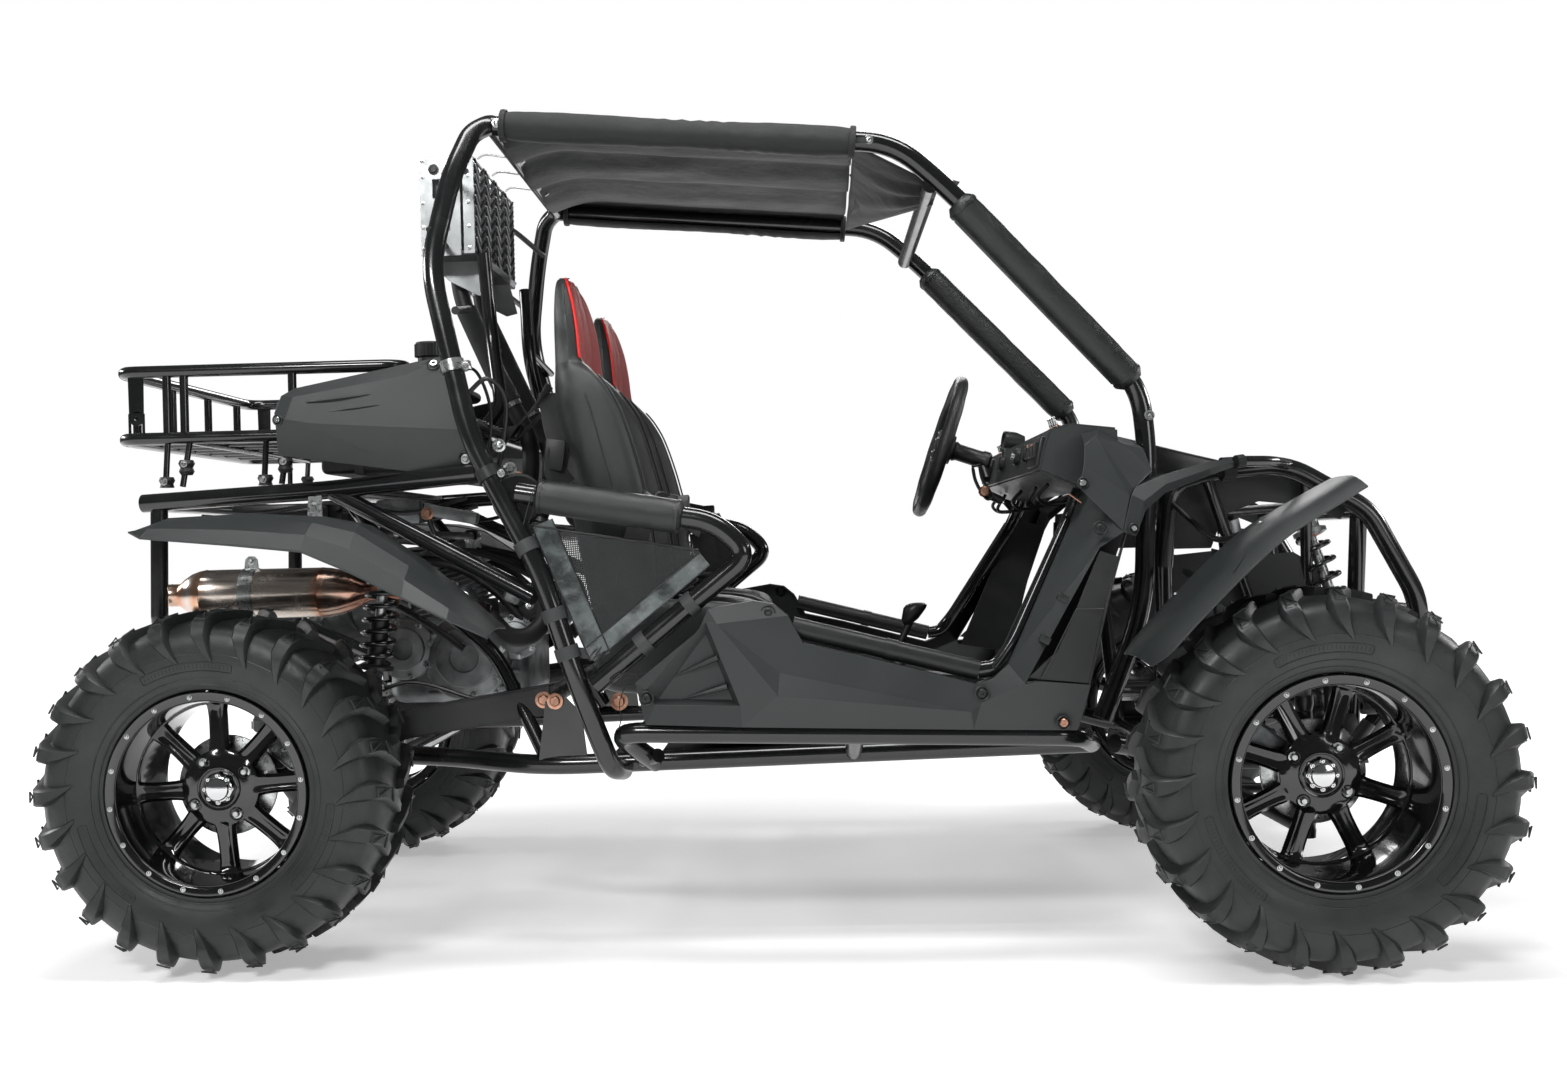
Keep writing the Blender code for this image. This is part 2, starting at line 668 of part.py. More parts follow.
def shocks():
    """Front and rear spring units, each pair on its cross bar."""
    rear = pair([shock(at(-0.765, 0.3860, 0.500), at(-0.730, 0.3830, 0.800), 0.036, 0.0125)])
    rear.append(rod((-0.730, -0.396, 0.800), (-0.730, 0.396, 0.800), 0.010))
    part("rear_shocks", joined(rear), "spring")
    front = pair([shock(at(1.190, 0.352, 0.420), at(1.092, 0.272, 0.815), 0.033, 0.0115)])
    front.append(rod((1.092, -0.288, 0.815), (1.092, 0.288, 0.815), 0.010))
    part("front_shocks", joined(front), "spring")


def drive_axle():
    """The final drive and both half shafts."""
    case = rod((REAR_X, -0.075, 0.335), (REAR_X, 0.075, 0.335), 0.085, steps=16)
    shafts = pair([rod(at(REAR_X, 0.070, 0.335), at(REAR_X, 0.3844, 0.335), 0.014)])
    boots = pair([rod(at(REAR_X, 0.090, 0.335), at(REAR_X, 0.150, 0.335), 0.038, steps=12),
                  rod(at(REAR_X, 0.320, 0.335), at(REAR_X, 0.380, 0.335), 0.038, steps=12)])
    nose = rod((REAR_X, 0, 0.335), (-0.800, 0, 0.368), 0.045, steps=8)
    part("drive_axle", joined([case] + shafts + boots + [nose]), "alloy")


# ---------------------------------------------------------------- front suspension and steering

LOWER_BALL = (FRONT_X, KINGPIN_Y, 0.222)
UPPER_BALL = (FRONT_X, KINGPIN_Y, 0.452)


def wishbone(ball, front_foot, rear_foot, radius):
    legs = [rod(at(*ball), at(*front_foot), radius), rod(at(*ball), at(*rear_foot), radius)]
    bar = rod(at(front_foot[0], front_foot[1], front_foot[2]), at(rear_foot[0], rear_foot[1], rear_foot[2]), radius)
    socket = rod(at(ball[0], ball[1], ball[2] - 0.014), at(ball[0], ball[1], ball[2] + 0.014), 0.017)
    return legs + [bar, socket]


def front_arms():
    """Lower and upper wishbones, each pair joined by its pivot plate."""
    low = wishbone(LOWER_BALL, (1.150, 0.200, 0.292), (0.860, 0.200, 0.292), 0.014)
    seat = rod(at(1.092, 0.350, 0.262), at(1.190, 0.352, 0.388), 0.014)
    pieces = pair(low + [seat])
    pieces.append(rod((1.130, -0.200, 0.292), (1.130, 0.200, 0.292), 0.014))
    part("front_lower_arms", joined(pieces), "frame")
    high = wishbone(UPPER_BALL, (1.110, 0.225, 0.500), (0.900, 0.225, 0.500), 0.012)
    pieces = pair(high)
    pieces.append(rod((0.900, -0.225, 0.500), (0.900, 0.225, 0.500), 0.012))
    part("front_upper_arms", joined(pieces), "frame")


def knuckle():
    """The upright between the ball joints, with its spindle and steering arm."""
    post = rod(at(FRONT_X, KINGPIN_Y, 0.2408), at(FRONT_X, KINGPIN_Y, 0.4372), 0.017, steps=8)
    hub = rod(at(FRONT_X, 0.570, TYRE_R), at(FRONT_X, 0.6275, TYRE_R), 0.040, steps=12)
    arm = rod(at(FRONT_X, KINGPIN_Y, 0.385), at(FRONT_X - STEER_ARM, KINGPIN_Y, 0.385), 0.011)
    eye = rod(at(FRONT_X - STEER_ARM, KINGPIN_Y, 0.3745), at(FRONT_X - STEER_ARM, KINGPIN_Y, 0.398), 0.016, steps=8)
    return joined([post, hub, arm, eye])


def steering_rack():
    """The sliding rack with a tie rod on each end, whose ends run just under the steering arms."""
    bar = rod((FRONT_X - STEER_ARM, -0.170, 0.400), (FRONT_X - STEER_ARM, 0.170, 0.400), 0.012)
    rods = pair([
        rod(at(FRONT_X - STEER_ARM, 0.165, 0.400), at(FRONT_X - STEER_ARM, KINGPIN_Y, 0.361), 0.008),
        rod(at(FRONT_X - STEER_ARM, KINGPIN_Y, 0.350), at(FRONT_X - STEER_ARM, KINGPIN_Y, 0.372), 0.013),
    ])
    part("steering_rack", joined([bar] + rods), "frame")


def steering_column():
    """The column from the wheel down to the rack's pinion, with its slotted tilt bracket."""
    axis = Vector((math.cos(COLUMN_LEAN), 0, -math.sin(COLUMN_LEAN)))
    start = WHEEL_HUB + axis * 0.0306
    upper = rod(start, WHEEL_HUB + axis * 0.124, 0.020, steps=12)
    bracket = side_plate([(0.490, 0.885), (0.508, 0.950), (0.540, 0.942), (0.545, 0.880), (0.515, 0.850)], 0.235, 0.245)
    foot = rod((0.515, 0.270, 0.948), (0.525, 0.240, 0.905), 0.010)
    part("steering_column", joined([upper, bracket, foot]), "frame")


def steering_wheel():
    """The padded rim, three spokes and boss."""
    rim_r, grip = 0.158, 0.016
    lean = Matrix.Rotation(math.pi / 2 + COLUMN_LEAN, 4, "Y")
    place = Matrix.Translation(WHEEL_HUB) @ lean
    ring = [place @ Vector((rim_r * math.cos(a), rim_r * math.sin(a), 0))
            for a in (2 * math.pi * i / 20 for i in range(20))]
    pieces = [tube(ring, grip, cyclic=True)]
    for angle in (math.pi / 2, -math.pi / 2, 0):
        outer = place @ Vector((rim_r * math.cos(angle), rim_r * math.sin(angle), 0))
        pieces.append(rod(WHEEL_HUB, outer, 0.009))
    axis = (place.to_3x3() @ Vector((0, 0, 1))).normalized()
    pieces.append(rod(WHEEL_HUB - axis * 0.012, WHEEL_HUB + axis * 0.030, 0.036, steps=12))
    wheel = part("steering_wheel", joined(pieces), "rubber")
    pivot("steering_wheel_axis", WHEEL_HUB, [wheel])


def gear_lever():
    stick = tube([(0.290, 0, 0.478), (0.290, 0, 0.520), (0.329, 0, 0.600)], 0.008, bend=0.03)
    knob = rod((0.318, 0, 0.585), (0.334, 0, 0.620), 0.024, steps=12)
    part("gear_lever", joined([stick, knob]), "rubber")


def pedals():
    """Three pedals on one cross shaft."""
    pieces = [rod((0.640, 0.130, 0.600), (0.640, 0.350, 0.600), 0.008)]
    for y in (0.150, 0.240, 0.330):
        pieces.append(rod((0.640, y, 0.600), (0.560, y, 0.470), 0.007))
        pieces.append(box((0.535, y - 0.028, 0.440), (0.560, y + 0.028, 0.500)))
    part("pedals", joined(pieces), "frame")


# ---------------------------------------------------------------- wheels

def tyre(centre, half):
    profile = [(TYRE_R, half - 0.036), (TYRE_R - 0.016, half - 0.010), (0.285, half), (0.232, half - 0.006),
               (BEAD_R + 0.004, half - 0.020)]
    whole = profile + [(BEAD_R, half - 0.026), (BEAD_R, 0.026 - half)] + [(r, -h) for r, h in reversed(profile)]
    return turned(whole, WHEEL_STEPS, centre)


def rim(centre, half, disc, side):
    """A deep dish: barrel, spoked disc and hub. disc is the disc's offset outwards."""
    barrel = half - 0.012
    out = side
    profile = [
        (RIM_R, -barrel * out), (RIM_R, barrel * out), (0.170, barrel * out), (0.166, (disc + 0.014) * out),
        (0.070, (disc + 0.012) * out), (0.044, (disc + 0.020) * out), (0.040, (disc + 0.032) * out),
        (0.0, (disc + 0.032) * out), (0.0, (disc - 0.014) * out), (0.070, (disc - 0.014) * out),
        (0.166, (disc - 0.010) * out), (0.170, -barrel * out),
    ]
    body = turned(profile, WHEEL_STEPS, centre)
    cutters = []
    for index in range(SPOKES):
        turn = 2 * math.pi * (index + 0.5) / SPOKES
        wedge = [(0.082, -0.012), (0.150, -0.036), (0.158, 0.0), (0.150, 0.036), (0.082, 0.012)]
        outline = [(u * math.cos(turn) - v * math.sin(turn), u * math.sin(turn) + v * math.cos(turn)) for u, v in wedge]
        place = Matrix.Translation(Vector(centre) + Vector((0, disc * out, 0))) @ Matrix.Rotation(math.pi / 2, 4, "X")
        cutters.append(plate(outline, 0.060, place))
    return cut(body, cutters)


def wheels():
    """Tyre and rim at each corner; the front ones turn with their knuckles."""
    corners = {
        "front": (FRONT_X, FRONT_TRACK_Y, FRONT_TYRE_HALF, -0.022),
        "rear": (REAR_X, REAR_TRACK_Y, REAR_TYRE_HALF, 0.0285),
    }
    for end, (x, y, half, disc) in corners.items():
        for name, side in SIDES.items():
            centre = Vector((x, y * side, TYRE_R))
            rubber = part(f"tyre_{end}_{name}", tyre(centre, half), "tyre")
            metal = part(f"rim_{end}_{name}", rim(centre, half, disc, side), "rim")
            wheel = pivot(f"wheel_{end}_{name}_axis", centre, [rubber, metal])
            if end == "front":
                upright = knuckle() if side == LEFT else mirrored(KNUCKLES[LEFT])
                KNUCKLES[side] = part(f"knuckle_{name}", upright, "frame")
                pivot(f"kingpin_{name}", (FRONT_X, KINGPIN_Y * side, TYRE_R), [KNUCKLES[side], wheel])


KNUCKLES = {}

floor_frame()
roll_hoop()
roof_frame()
rear_frame()
front_frame()
side_hoops()
rear_rack()
side_panels()
dashboard()
hood()
floor_pan()
rear_covers()
fenders()
roof_canopy()
pads()
side_nets()
seats()
engine()
radiator()
cooling_hoses()
fuel_tank()
muffler()
rear_swing_arms()
shocks()
drive_axle()
front_arms()
steering_rack()
steering_column()
steering_wheel()
gear_lever()
pedals()
wheels()
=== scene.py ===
"""The dune buggy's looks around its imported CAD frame.

Metres, in the CAD's frame: +X forward, +Y to the driver's left, +Z up, the origin on the ground.
"""

import math

import bmesh
import bpy
from mathutils import Matrix, Vector, noise


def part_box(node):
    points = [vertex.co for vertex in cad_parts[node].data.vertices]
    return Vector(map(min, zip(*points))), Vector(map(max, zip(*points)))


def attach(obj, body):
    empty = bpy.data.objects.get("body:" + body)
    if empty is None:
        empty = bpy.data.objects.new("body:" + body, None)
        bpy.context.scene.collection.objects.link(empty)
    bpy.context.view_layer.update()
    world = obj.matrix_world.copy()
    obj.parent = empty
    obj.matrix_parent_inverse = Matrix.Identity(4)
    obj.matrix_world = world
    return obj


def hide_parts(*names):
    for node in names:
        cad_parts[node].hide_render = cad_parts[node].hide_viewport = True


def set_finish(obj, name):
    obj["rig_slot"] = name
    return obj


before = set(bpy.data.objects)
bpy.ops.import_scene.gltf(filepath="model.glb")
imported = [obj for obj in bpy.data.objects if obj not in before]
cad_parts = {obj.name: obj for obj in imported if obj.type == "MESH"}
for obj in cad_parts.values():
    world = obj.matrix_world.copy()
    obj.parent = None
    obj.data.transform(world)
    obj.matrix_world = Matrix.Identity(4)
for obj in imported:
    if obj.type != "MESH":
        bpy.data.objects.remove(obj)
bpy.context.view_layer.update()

LEFT, RIGHT = 1, -1
SIDES = {"left": LEFT, "right": RIGHT}
WHEELBASE = 1.99
TYRE_R = 0.335
FRONT_X, REAR_X = WHEELBASE / 2, -WHEELBASE / 2
FRONT_TRACK_Y, REAR_TRACK_Y = 0.665, 0.5575
KINGPIN_Y = 0.575
STEER_ARM = 0.11
MAIN_R = 0.019
LIGHT_R = 0.0165
RAIL_Y, SILL_Y = 0.45, 0.6
SEAT_Y = 0.27
COLUMN_LEAN = math.radians(19.2)
WHEEL_HUB = Vector((0.42, 0.27, 0.986))


# ---------------------------------------------------------------- shape tools

def at(x, y, z, side=LEFT):
    """A point mirrored to one side."""
    return Vector((x, y * side, z))


def rounded(points, radius, steps=5, cyclic=False):
    """The polyline with each corner turned into an arc whose legs have the given length."""
    points = [Vector(p) for p in points]
    if cyclic:
        points = [points[-1]] + points + [points[0]]
    path = [] if cyclic else [points[0]]
    for before, corner, after in zip(points, points[1:], points[2:]):
        back, ahead = before - corner, after - corner
        leg = min(radius, back.length * 0.45, ahead.length * 0.45)
        start, end = corner + back.normalized() * leg, corner + ahead.normalized() * leg
        for step in range(steps + 1):
            t = step / steps
            path.append(start * (1 - t) ** 2 + corner * 2 * t * (1 - t) + end * t ** 2)
    if not cyclic:
        path.append(points[-1])
    return path


def smooth_path(points, per_span=8, cyclic=False):
    """A Catmull-Rom curve through the points."""
    pts = [Vector(p) for p in points]
    n = len(pts)
    path = []
    for i in range(n if cyclic else n - 1):
        p0 = pts[(i - 1) % n] if cyclic or i > 0 else pts[0] * 2 - pts[1]
        p1, p2 = pts[i], pts[(i + 1) % n]
        p3 = pts[(i + 2) % n] if cyclic or i + 2 < n else pts[-1] * 2 - pts[-2]
        for k in range(per_span):
            t = k / per_span
            path.append(0.5 * ((2 * p1) + (p2 - p0) * t + (2 * p0 - 5 * p1 + 4 * p2 - p3) * t ** 2
                + (3 * p1 - p0 - 3 * p2 + p3) * t ** 3))
    if not cyclic:
        path.append(pts[-1])
    return path


def frames_along(path, cyclic=False):
    """(point, normal, binormal) along the path with as little twist as possible."""
    count = len(path)
    tangents = []
    for i in range(count):
        a = path[(i - 1) % count] if cyclic or i else path[0]
        b = path[(i + 1) % count] if cyclic or i + 1 < count else path[-1]
        tangents.append((b - a).normalized())
    normal = tangents[0].orthogonal().normalized()
    made = []
    for point, tangent in zip(path, tangents):
        normal = (normal - tangent * normal.dot(tangent)).normalized()
        made.append((point, normal, tangent.cross(normal)))
    return made


def facing(direction, up=(0, 0, 1)):
    """A rotation whose local Z is direction and whose local Y is as near to up as it can be."""
    z = Vector(direction).normalized()
    y = Vector(up) - z * Vector(up).dot(z)
    y = y.normalized() if y.length > 1e-4 else z.orthogonal().normalized()
    x = y.cross(z)
    return Matrix((x, y, z)).transposed().to_4x4()


def placed(point, direction=(0, 0, 1), up=(0, 0, 1)):
    """A matrix at a point whose Z axis follows a direction."""
    return Matrix.Translation(point) @ facing(direction, up)


class Shape:
    """A mesh under construction. Every call adds skin with a material number."""

    def __init__(self):
        self.bm = bmesh.new()

    def face(self, verts, mat=0):
        if len(set(verts)) > 2:
            made = self.bm.faces.new(verts)
            made.material_index = mat

    def skin(self, rings, mat=0, cyclic=False, closed=True, caps=True):
        """Joins rings of points, each with the same count. mat is a number or a function of (row, column)."""
        rows = [[self.bm.verts.new(p) for p in ring] for ring in rings]
        count = len(rows[0])
        pick = mat if callable(mat) else (lambda row, column: mat)
        spans = list(zip(rows, rows[1:])) + ([(rows[-1], rows[0])] if cyclic else [])
        for r, (a, b) in enumerate(spans):
            for i in range(count if closed else count - 1):
                j = (i + 1) % count
                self.face((a[i], a[j], b[j], b[i]), pick(r, i))
        if caps and closed and not cyclic:
            self.face(rows[0][::-1], pick(0, 0))
            self.face(rows[-1], pick(len(rows) - 2, 0))

    def tube(self, points, radius, sides=16, bend=0.0, steps=5, cyclic=False, mat=0, caps=True, oval=1.0):
        path = rounded(points, bend, steps, cyclic) if bend else [Vector(p) for p in points]
        radii = list(radius) if hasattr(radius, "__len__") else [radius] * len(path)
        turns = [2 * math.pi * i / sides for i in range(sides)]
        self.skin([[p + n * (math.cos(a) * r * oval) + b * (math.sin(a) * r) for a in turns]
            for (p, n, b), r in zip(frames_along(path, cyclic), radii)], mat, cyclic, caps=caps)

    def lathe(self, profile, centre, axis=(0, 1, 0), steps=48, mat=0, closed=False):
        """A profile of (radius, offset along the axis) turned about the axis."""
        axis = Vector(axis).normalized()
        u = axis.orthogonal().normalized()
        v = axis.cross(u)
        rings = []
        for i in range(steps):
            a = 2 * math.pi * i / steps
            out = u * math.cos(a) + v * math.sin(a)
            rings.append([Vector(centre) + axis * h + out * r for r, h in profile])
        pick = (lambda row, column: mat[column]) if isinstance(mat, (list, tuple)) else mat
        self.skin(rings, pick, cyclic=True, closed=closed)

    def merge(self, other, matrix=None, mat=None):
        if matrix is not None:
            other.transform(matrix)
        if mat is not None:
            for face in other.faces:
                face.material_index = mat
        mesh = bpy.data.meshes.new("merged")
        other.to_mesh(mesh)
        other.free()
        self.bm.from_mesh(mesh)
        bpy.data.meshes.remove(mesh)

    def block(self, size, matrix, bevel=0.002, mat=0, segments=2, taper=1.0):
        """A box of the given size with rounded edges; its +Z end may be smaller."""
        work = bmesh.new()
        bmesh.ops.create_cube(work, size=1.0)
        for vert in work.verts:
            share = taper if vert.co.z > 0 else 1.0
            vert.co = Vector((vert.co.x * size[0] * share, vert.co.y * size[1] * share,
                vert.co.z * size[2]))
        if bevel:
            bmesh.ops.bevel(work, geom=work.edges[:], offset=bevel, segments=segments, affect="EDGES",
                profile=0.5)
        self.merge(work, matrix, mat)

    def slab(self, outline, thickness, matrix, bevel=0.001, mat=0):
        """An outline in the local XY plane, extruded along local Z and bevelled."""
        work = bmesh.new()
        base = work.faces.new([work.verts.new((u, v, -thickness / 2)) for u, v in outline])
        top = bmesh.ops.extrude_face_region(work, geom=[base])["geom"]
        bmesh.ops.translate(work, verts=[g for g in top if isinstance(g, bmesh.types.BMVert)],
            vec=(0, 0, thickness))
        bmesh.ops.recalc_face_normals(work, faces=work.faces[:])
        if bevel:
            bmesh.ops.bevel(work, geom=work.edges[:], offset=bevel, segments=2, affect="EDGES",
                clamp_overlap=True)
        bmesh.ops.triangulate(work, faces=[f for f in work.faces if len(f.verts) > 4])
        self.merge(work, matrix, mat)

    def side_slab(self, outline, y_low, y_high, bevel=0.001, mat=0):
        """An X-Z outline made thick across the buggy."""
        place = Matrix.Translation((0, (y_low + y_high) / 2, 0)) @ Matrix.Rotation(math.pi / 2, 4, "X")
        self.slab(outline, abs(y_high - y_low), place, bevel, mat)

    def bolt(self, point, direction, radius=0.006, height=0.005, mat=0, kind="hex"):
        """A bolt head standing on a washer, facing direction."""
        place = placed(point, direction)
        axis = Vector(direction).normalized()
        self.lathe([(0, 0), (radius * 1.45, 0), (radius * 1.5, radius * 0.2), (radius, radius * 0.25)],
            point, axis, 16, mat)
        if kind == "hex":
            work = bmesh.new()
            bmesh.ops.create_cone(work, cap_ends=True, segments=6, radius1=radius, radius2=radius * 0.96,
                depth=height)
            bmesh.ops.bevel(work, geom=work.edges[:], offset=radius * 0.12, segments=1, affect="EDGES")
            self.merge(work, place @ Matrix.Translation((0, 0, height / 2)), mat)
        elif kind == "dome":
            self.lathe([(radius, 0), (radius * 0.95, height * 0.4), (radius * 0.7, height * 0.8),
                (radius * 0.3, height), (0, height)], point, axis, 16, mat)
        else:  # a socket head
            self.lathe([(radius, 0), (radius, height * 0.85), (radius * 0.9, height),
                (radius * 0.5, height), (radius * 0.45, height * 0.35), (0, height * 0.35)], point, axis,
                16, mat)

    def ribbon(self, points, across, width, thick=0.0016, mat=0, per_span=6):
        """A flat strap along the points; across gives its width direction, one vector or one per point."""
        path = smooth_path(points, per_span)
        sides = [Vector(a) for a in across] if isinstance(across[0],
            (list, tuple, Vector)) else [Vector(across)] * 2
        rings = []
        for i, (p, n, b) in enumerate(frames_along(path)):
            share = i / (len(path) - 1) * (len(sides) - 1)
            low = min(int(share), len(sides) - 2)
            side = sides[low].lerp(sides[low + 1], share - low)
            tangent = n.cross(b)
            side = (side - tangent * side.dot(tangent)).normalized() * (width / 2)
            up = tangent.cross(side).normalized() * (thick / 2)
            rings.append([p - side - up, p + side - up, p + side + up, p - side + up])
        self.skin(rings, mat)

    def coil(self, start, end, radius, wire, turns, mat=0, sides=10):
        start, end = Vector(start), Vector(end)
        axis = (end - start).normalized()
        u = axis.orthogonal().normalized()
        v = axis.cross(u)
        count = int(turns * 20)
        path = []
        for i in range(count + 1):
            t = i / count
            a = 2 * math.pi * turns * t
            ease = min(1.0, t * turns, (1 - t) * turns)  # the end turns lie close together
            path.append(start.lerp(end, t) + (u * math.cos(a) + v * math.sin(a)) * radius
                * (0.96 + 0.04 * ease))
        self.tube(path, wire, sides, mat=mat)


MATERIALS = {}


def piece(name, shape, mats, slot, body="chassis", stands_for=(), smooth=38, bevel=0.0, solid=0.0,
        subdivide=0):
    """Names a finished shape, gives it its materials and rides it on its body."""
    mesh = bpy.data.meshes.new(name)
    bmesh.ops.remove_doubles(shape.bm, verts=shape.bm.verts, dist=1e-5)
    bmesh.ops.recalc_face_normals(shape.bm, faces=shape.bm.faces)
    shape.bm.to_mesh(mesh)
    shape.bm.free()
    obj = bpy.data.objects.new(name, mesh)
    bpy.context.scene.collection.objects.link(obj)
    for mat in ([mats] if isinstance(mats, str) else mats):
        mesh.materials.append(look(mat))
    mesh.shade_smooth()
    mesh.set_sharp_from_angle(angle=math.radians(smooth))
    if solid:
        skin = obj.modifiers.new("thick", "SOLIDIFY")
        skin.thickness, skin.offset = solid, -1
    if subdivide:
        finer = obj.modifiers.new("finer", "SUBSURF")
        finer.levels = finer.render_levels = subdivide
    if bevel:
        edges = obj.modifiers.new("edges", "BEVEL")
        edges.width, edges.segments, edges.limit_method = bevel, 2, "ANGLE"
        edges.angle_limit = math.radians(25)
        edges.harden_normals = True
    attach(obj, body)
    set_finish(obj, slot)
    if stands_for:
        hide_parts(*([stands_for] if isinstance(stands_for, str) else stands_for))
    return obj


def mirror(obj, name, body="chassis", stands_for=(), slot=None):
    """The same piece on the other side of the centre plane."""
    mesh = obj.data.copy()
    mesh.transform(Matrix.Scale(-1, 4, (0, 1, 0)))
    mesh.flip_normals()
    other = bpy.data.objects.new(name, mesh)
    bpy.context.scene.collection.objects.link(other)
    for old in obj.modifiers:
        new = other.modifiers.new(old.name, old.type)
        for key in ("thickness", "offset", "levels", "render_levels", "width", "segments", "limit_method",
                "angle_limit", "harden_normals"):
            if hasattr(old, key):
                setattr(new, key, getattr(old, key))
    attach(other, body)
    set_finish(other, slot or obj["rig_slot"])
    if stands_for:
        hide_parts(*([stands_for] if isinstance(stands_for, str) else stands_for))
    return other


def both(name, shape, mats, slot, stands_for=None, **more):
    """The shape, made for the left side, as NAME_left and its mirror image NAME_right."""
    node = {side: (f"{stands_for}_{side}" if stands_for else ()) for side in SIDES}
    first = piece(f"{name}_left", shape, mats, slot, stands_for=node["left"], **more)
    return first, mirror(first, f"{name}_right", stands_for=node["right"])


# ---------------------------------------------------------------- materials

def look(name):
    """The named material, made once."""
    if name not in MATERIALS:
        MATERIALS[name] = surface(name, **LOOKS[name])
    return MATERIALS[name]


def surface(name, colour, rough, metal=0.0, tint=None, mottle=(9.0, 0.5), wear=0.08, grain=(600.0, 0.0001),
        pattern=None, coat=0.0, sheen=0.0, dents=None, bands=None, dust=None):
    """A principled material: mottled colour, uneven roughness, fine grain, and a woven or leather pattern.

    mottle is (scale, share), grain (scale, depth), pattern (kind, scale, depth), dents (scale, depth),
    bands a list of (x, colour) along the buggy, dust (colour, share) on faces that look up."""
    made = bpy.data.materials.new(name)
    made.use_nodes = True
    tree = made.node_tree
    shader = tree.nodes["Principled BSDF"]

    def node(kind, **values):
        new = tree.nodes.new("ShaderNode" + kind)
        for key, value in values.items():
            if hasattr(new, key):
                setattr(new, key, value)
            else:
                new.inputs[key.replace("_", " ")].default_value = value
        return new

    def join(a, b):
        tree.links.new(a, b)

    place = node("TexCoord").outputs["Object"]

    def cloud(scale, detail=4.0):
        new = node("TexNoise", Scale=scale, Detail=detail)
        join(place, new.inputs["Vector"])
        return new.outputs["Fac"]

    def ranged(value, low, high, out_low, out_high):
        new = node("MapRange", From_Min=low, From_Max=high, To_Min=out_low, To_Max=out_high)
        join(value, new.inputs["Value"])
        return new.outputs["Result"]

    def mixed(share, first, second):
        new = node("Mix", data_type="RGBA")
        join(share, new.inputs[0])
        for socket, value in ((new.inputs[6], first), (new.inputs[7], second)):
            if isinstance(value, bpy.types.NodeSocket):
                join(value, socket)
            else:
                socket.default_value = (*value, 1.0)
        return new.outputs[2]

    blotch = cloud(mottle[0])
    dark = tint or tuple(c * 0.72 for c in colour)
    shade = mixed(ranged(blotch, 0.5 - mottle[1] / 2, 0.5 + mottle[1] / 2, 0.0, 1.0), dark, colour)
    if bands:
        axis = node("SeparateXYZ")
        join(place, axis.inputs[0])
        warp = node("Math", operation="MULTIPLY_ADD")
        join(cloud(40.0), warp.inputs[0])
        warp.inputs[1].default_value = 0.012
        join(axis.outputs[0], warp.inputs[2])
        ramp = node("ValToRGB")
        low, high = bands[0][0], bands[-1][0]
        join(ranged(warp.outputs[0], low, high, 0.0, 1.0), ramp.inputs[0])
        stops = ramp.color_ramp.elements
        while len(stops) < len(bands):
            stops.new(0.5)
        for stop, (x, tone) in zip(stops, bands):
            stop.position, stop.color = (x - low) / (high - low), (*tone, 1.0)
        shade = mixed(ranged(cloud(14.0), 0.35, 0.65, 0.25, 0.0), ramp.outputs[0], colour)
    roughness = ranged(cloud(mottle[0] * 2.6), 0.3, 0.7, rough - wear, rough + wear)
    if dust:
        upward = node("SeparateXYZ")
        join(node("NewGeometry").outputs["Normal"], upward.inputs[0])
        lie = node("Math", operation="MULTIPLY")
        join(ranged(upward.outputs[2], 0.1, 1.0, 0.0, dust[1]), lie.inputs[0])
        join(ranged(cloud(22.0, 8.0), 0.35, 0.65, 0.2, 1.0), lie.inputs[1])
        shade = mixed(lie.outputs[0], shade, dust[0])
    join(shade, shader.inputs["Base Color"])
    join(roughness, shader.inputs["Roughness"])
    shader.inputs["Metallic"].default_value = metal
    shader.inputs["Coat Weight"].default_value = coat
    shader.inputs["Coat Roughness"].default_value = 0.06
    shader.inputs["Sheen Weight"].default_value = sheen
    shader.inputs["Sheen Roughness"].default_value = 0.5

    heights = [(cloud(grain[0], 3.0), grain[1])]
    if dents:
        heights.append((cloud(dents[0], 2.0), dents[1]))
    if pattern:
        kind, scale, depth = pattern
        if kind == "weave":
            for turn in ("X", "Z"):
                wave = node("TexWave", bands_direction=turn, Scale=scale, Distortion=0.6, Detail=1.0)
                join(place, wave.inputs["Vector"])
                heights.append((wave.outputs["Fac"], depth))
        elif kind == "cast":
            heights.append((cloud(scale, 6.0), depth))
        else:  # leather: cells parted by fine creases
            cells = node("TexVoronoi", feature="DISTANCE_TO_EDGE", Scale=scale)
            join(place, cells.inputs["Vector"])
            heights.append((ranged(cells.outputs["Distance"], 0.0, 0.25, 0.0, 1.0), depth))
    normal = None
    for value, depth in heights:
        bump = node("Bump", Strength=1.0, Distance=depth)
        join(value, bump.inputs["Height"])
        if normal:
            join(normal, bump.inputs["Normal"])
        normal = bump.outputs["Normal"]
    join(normal, shader.inputs["Normal"])
    return made


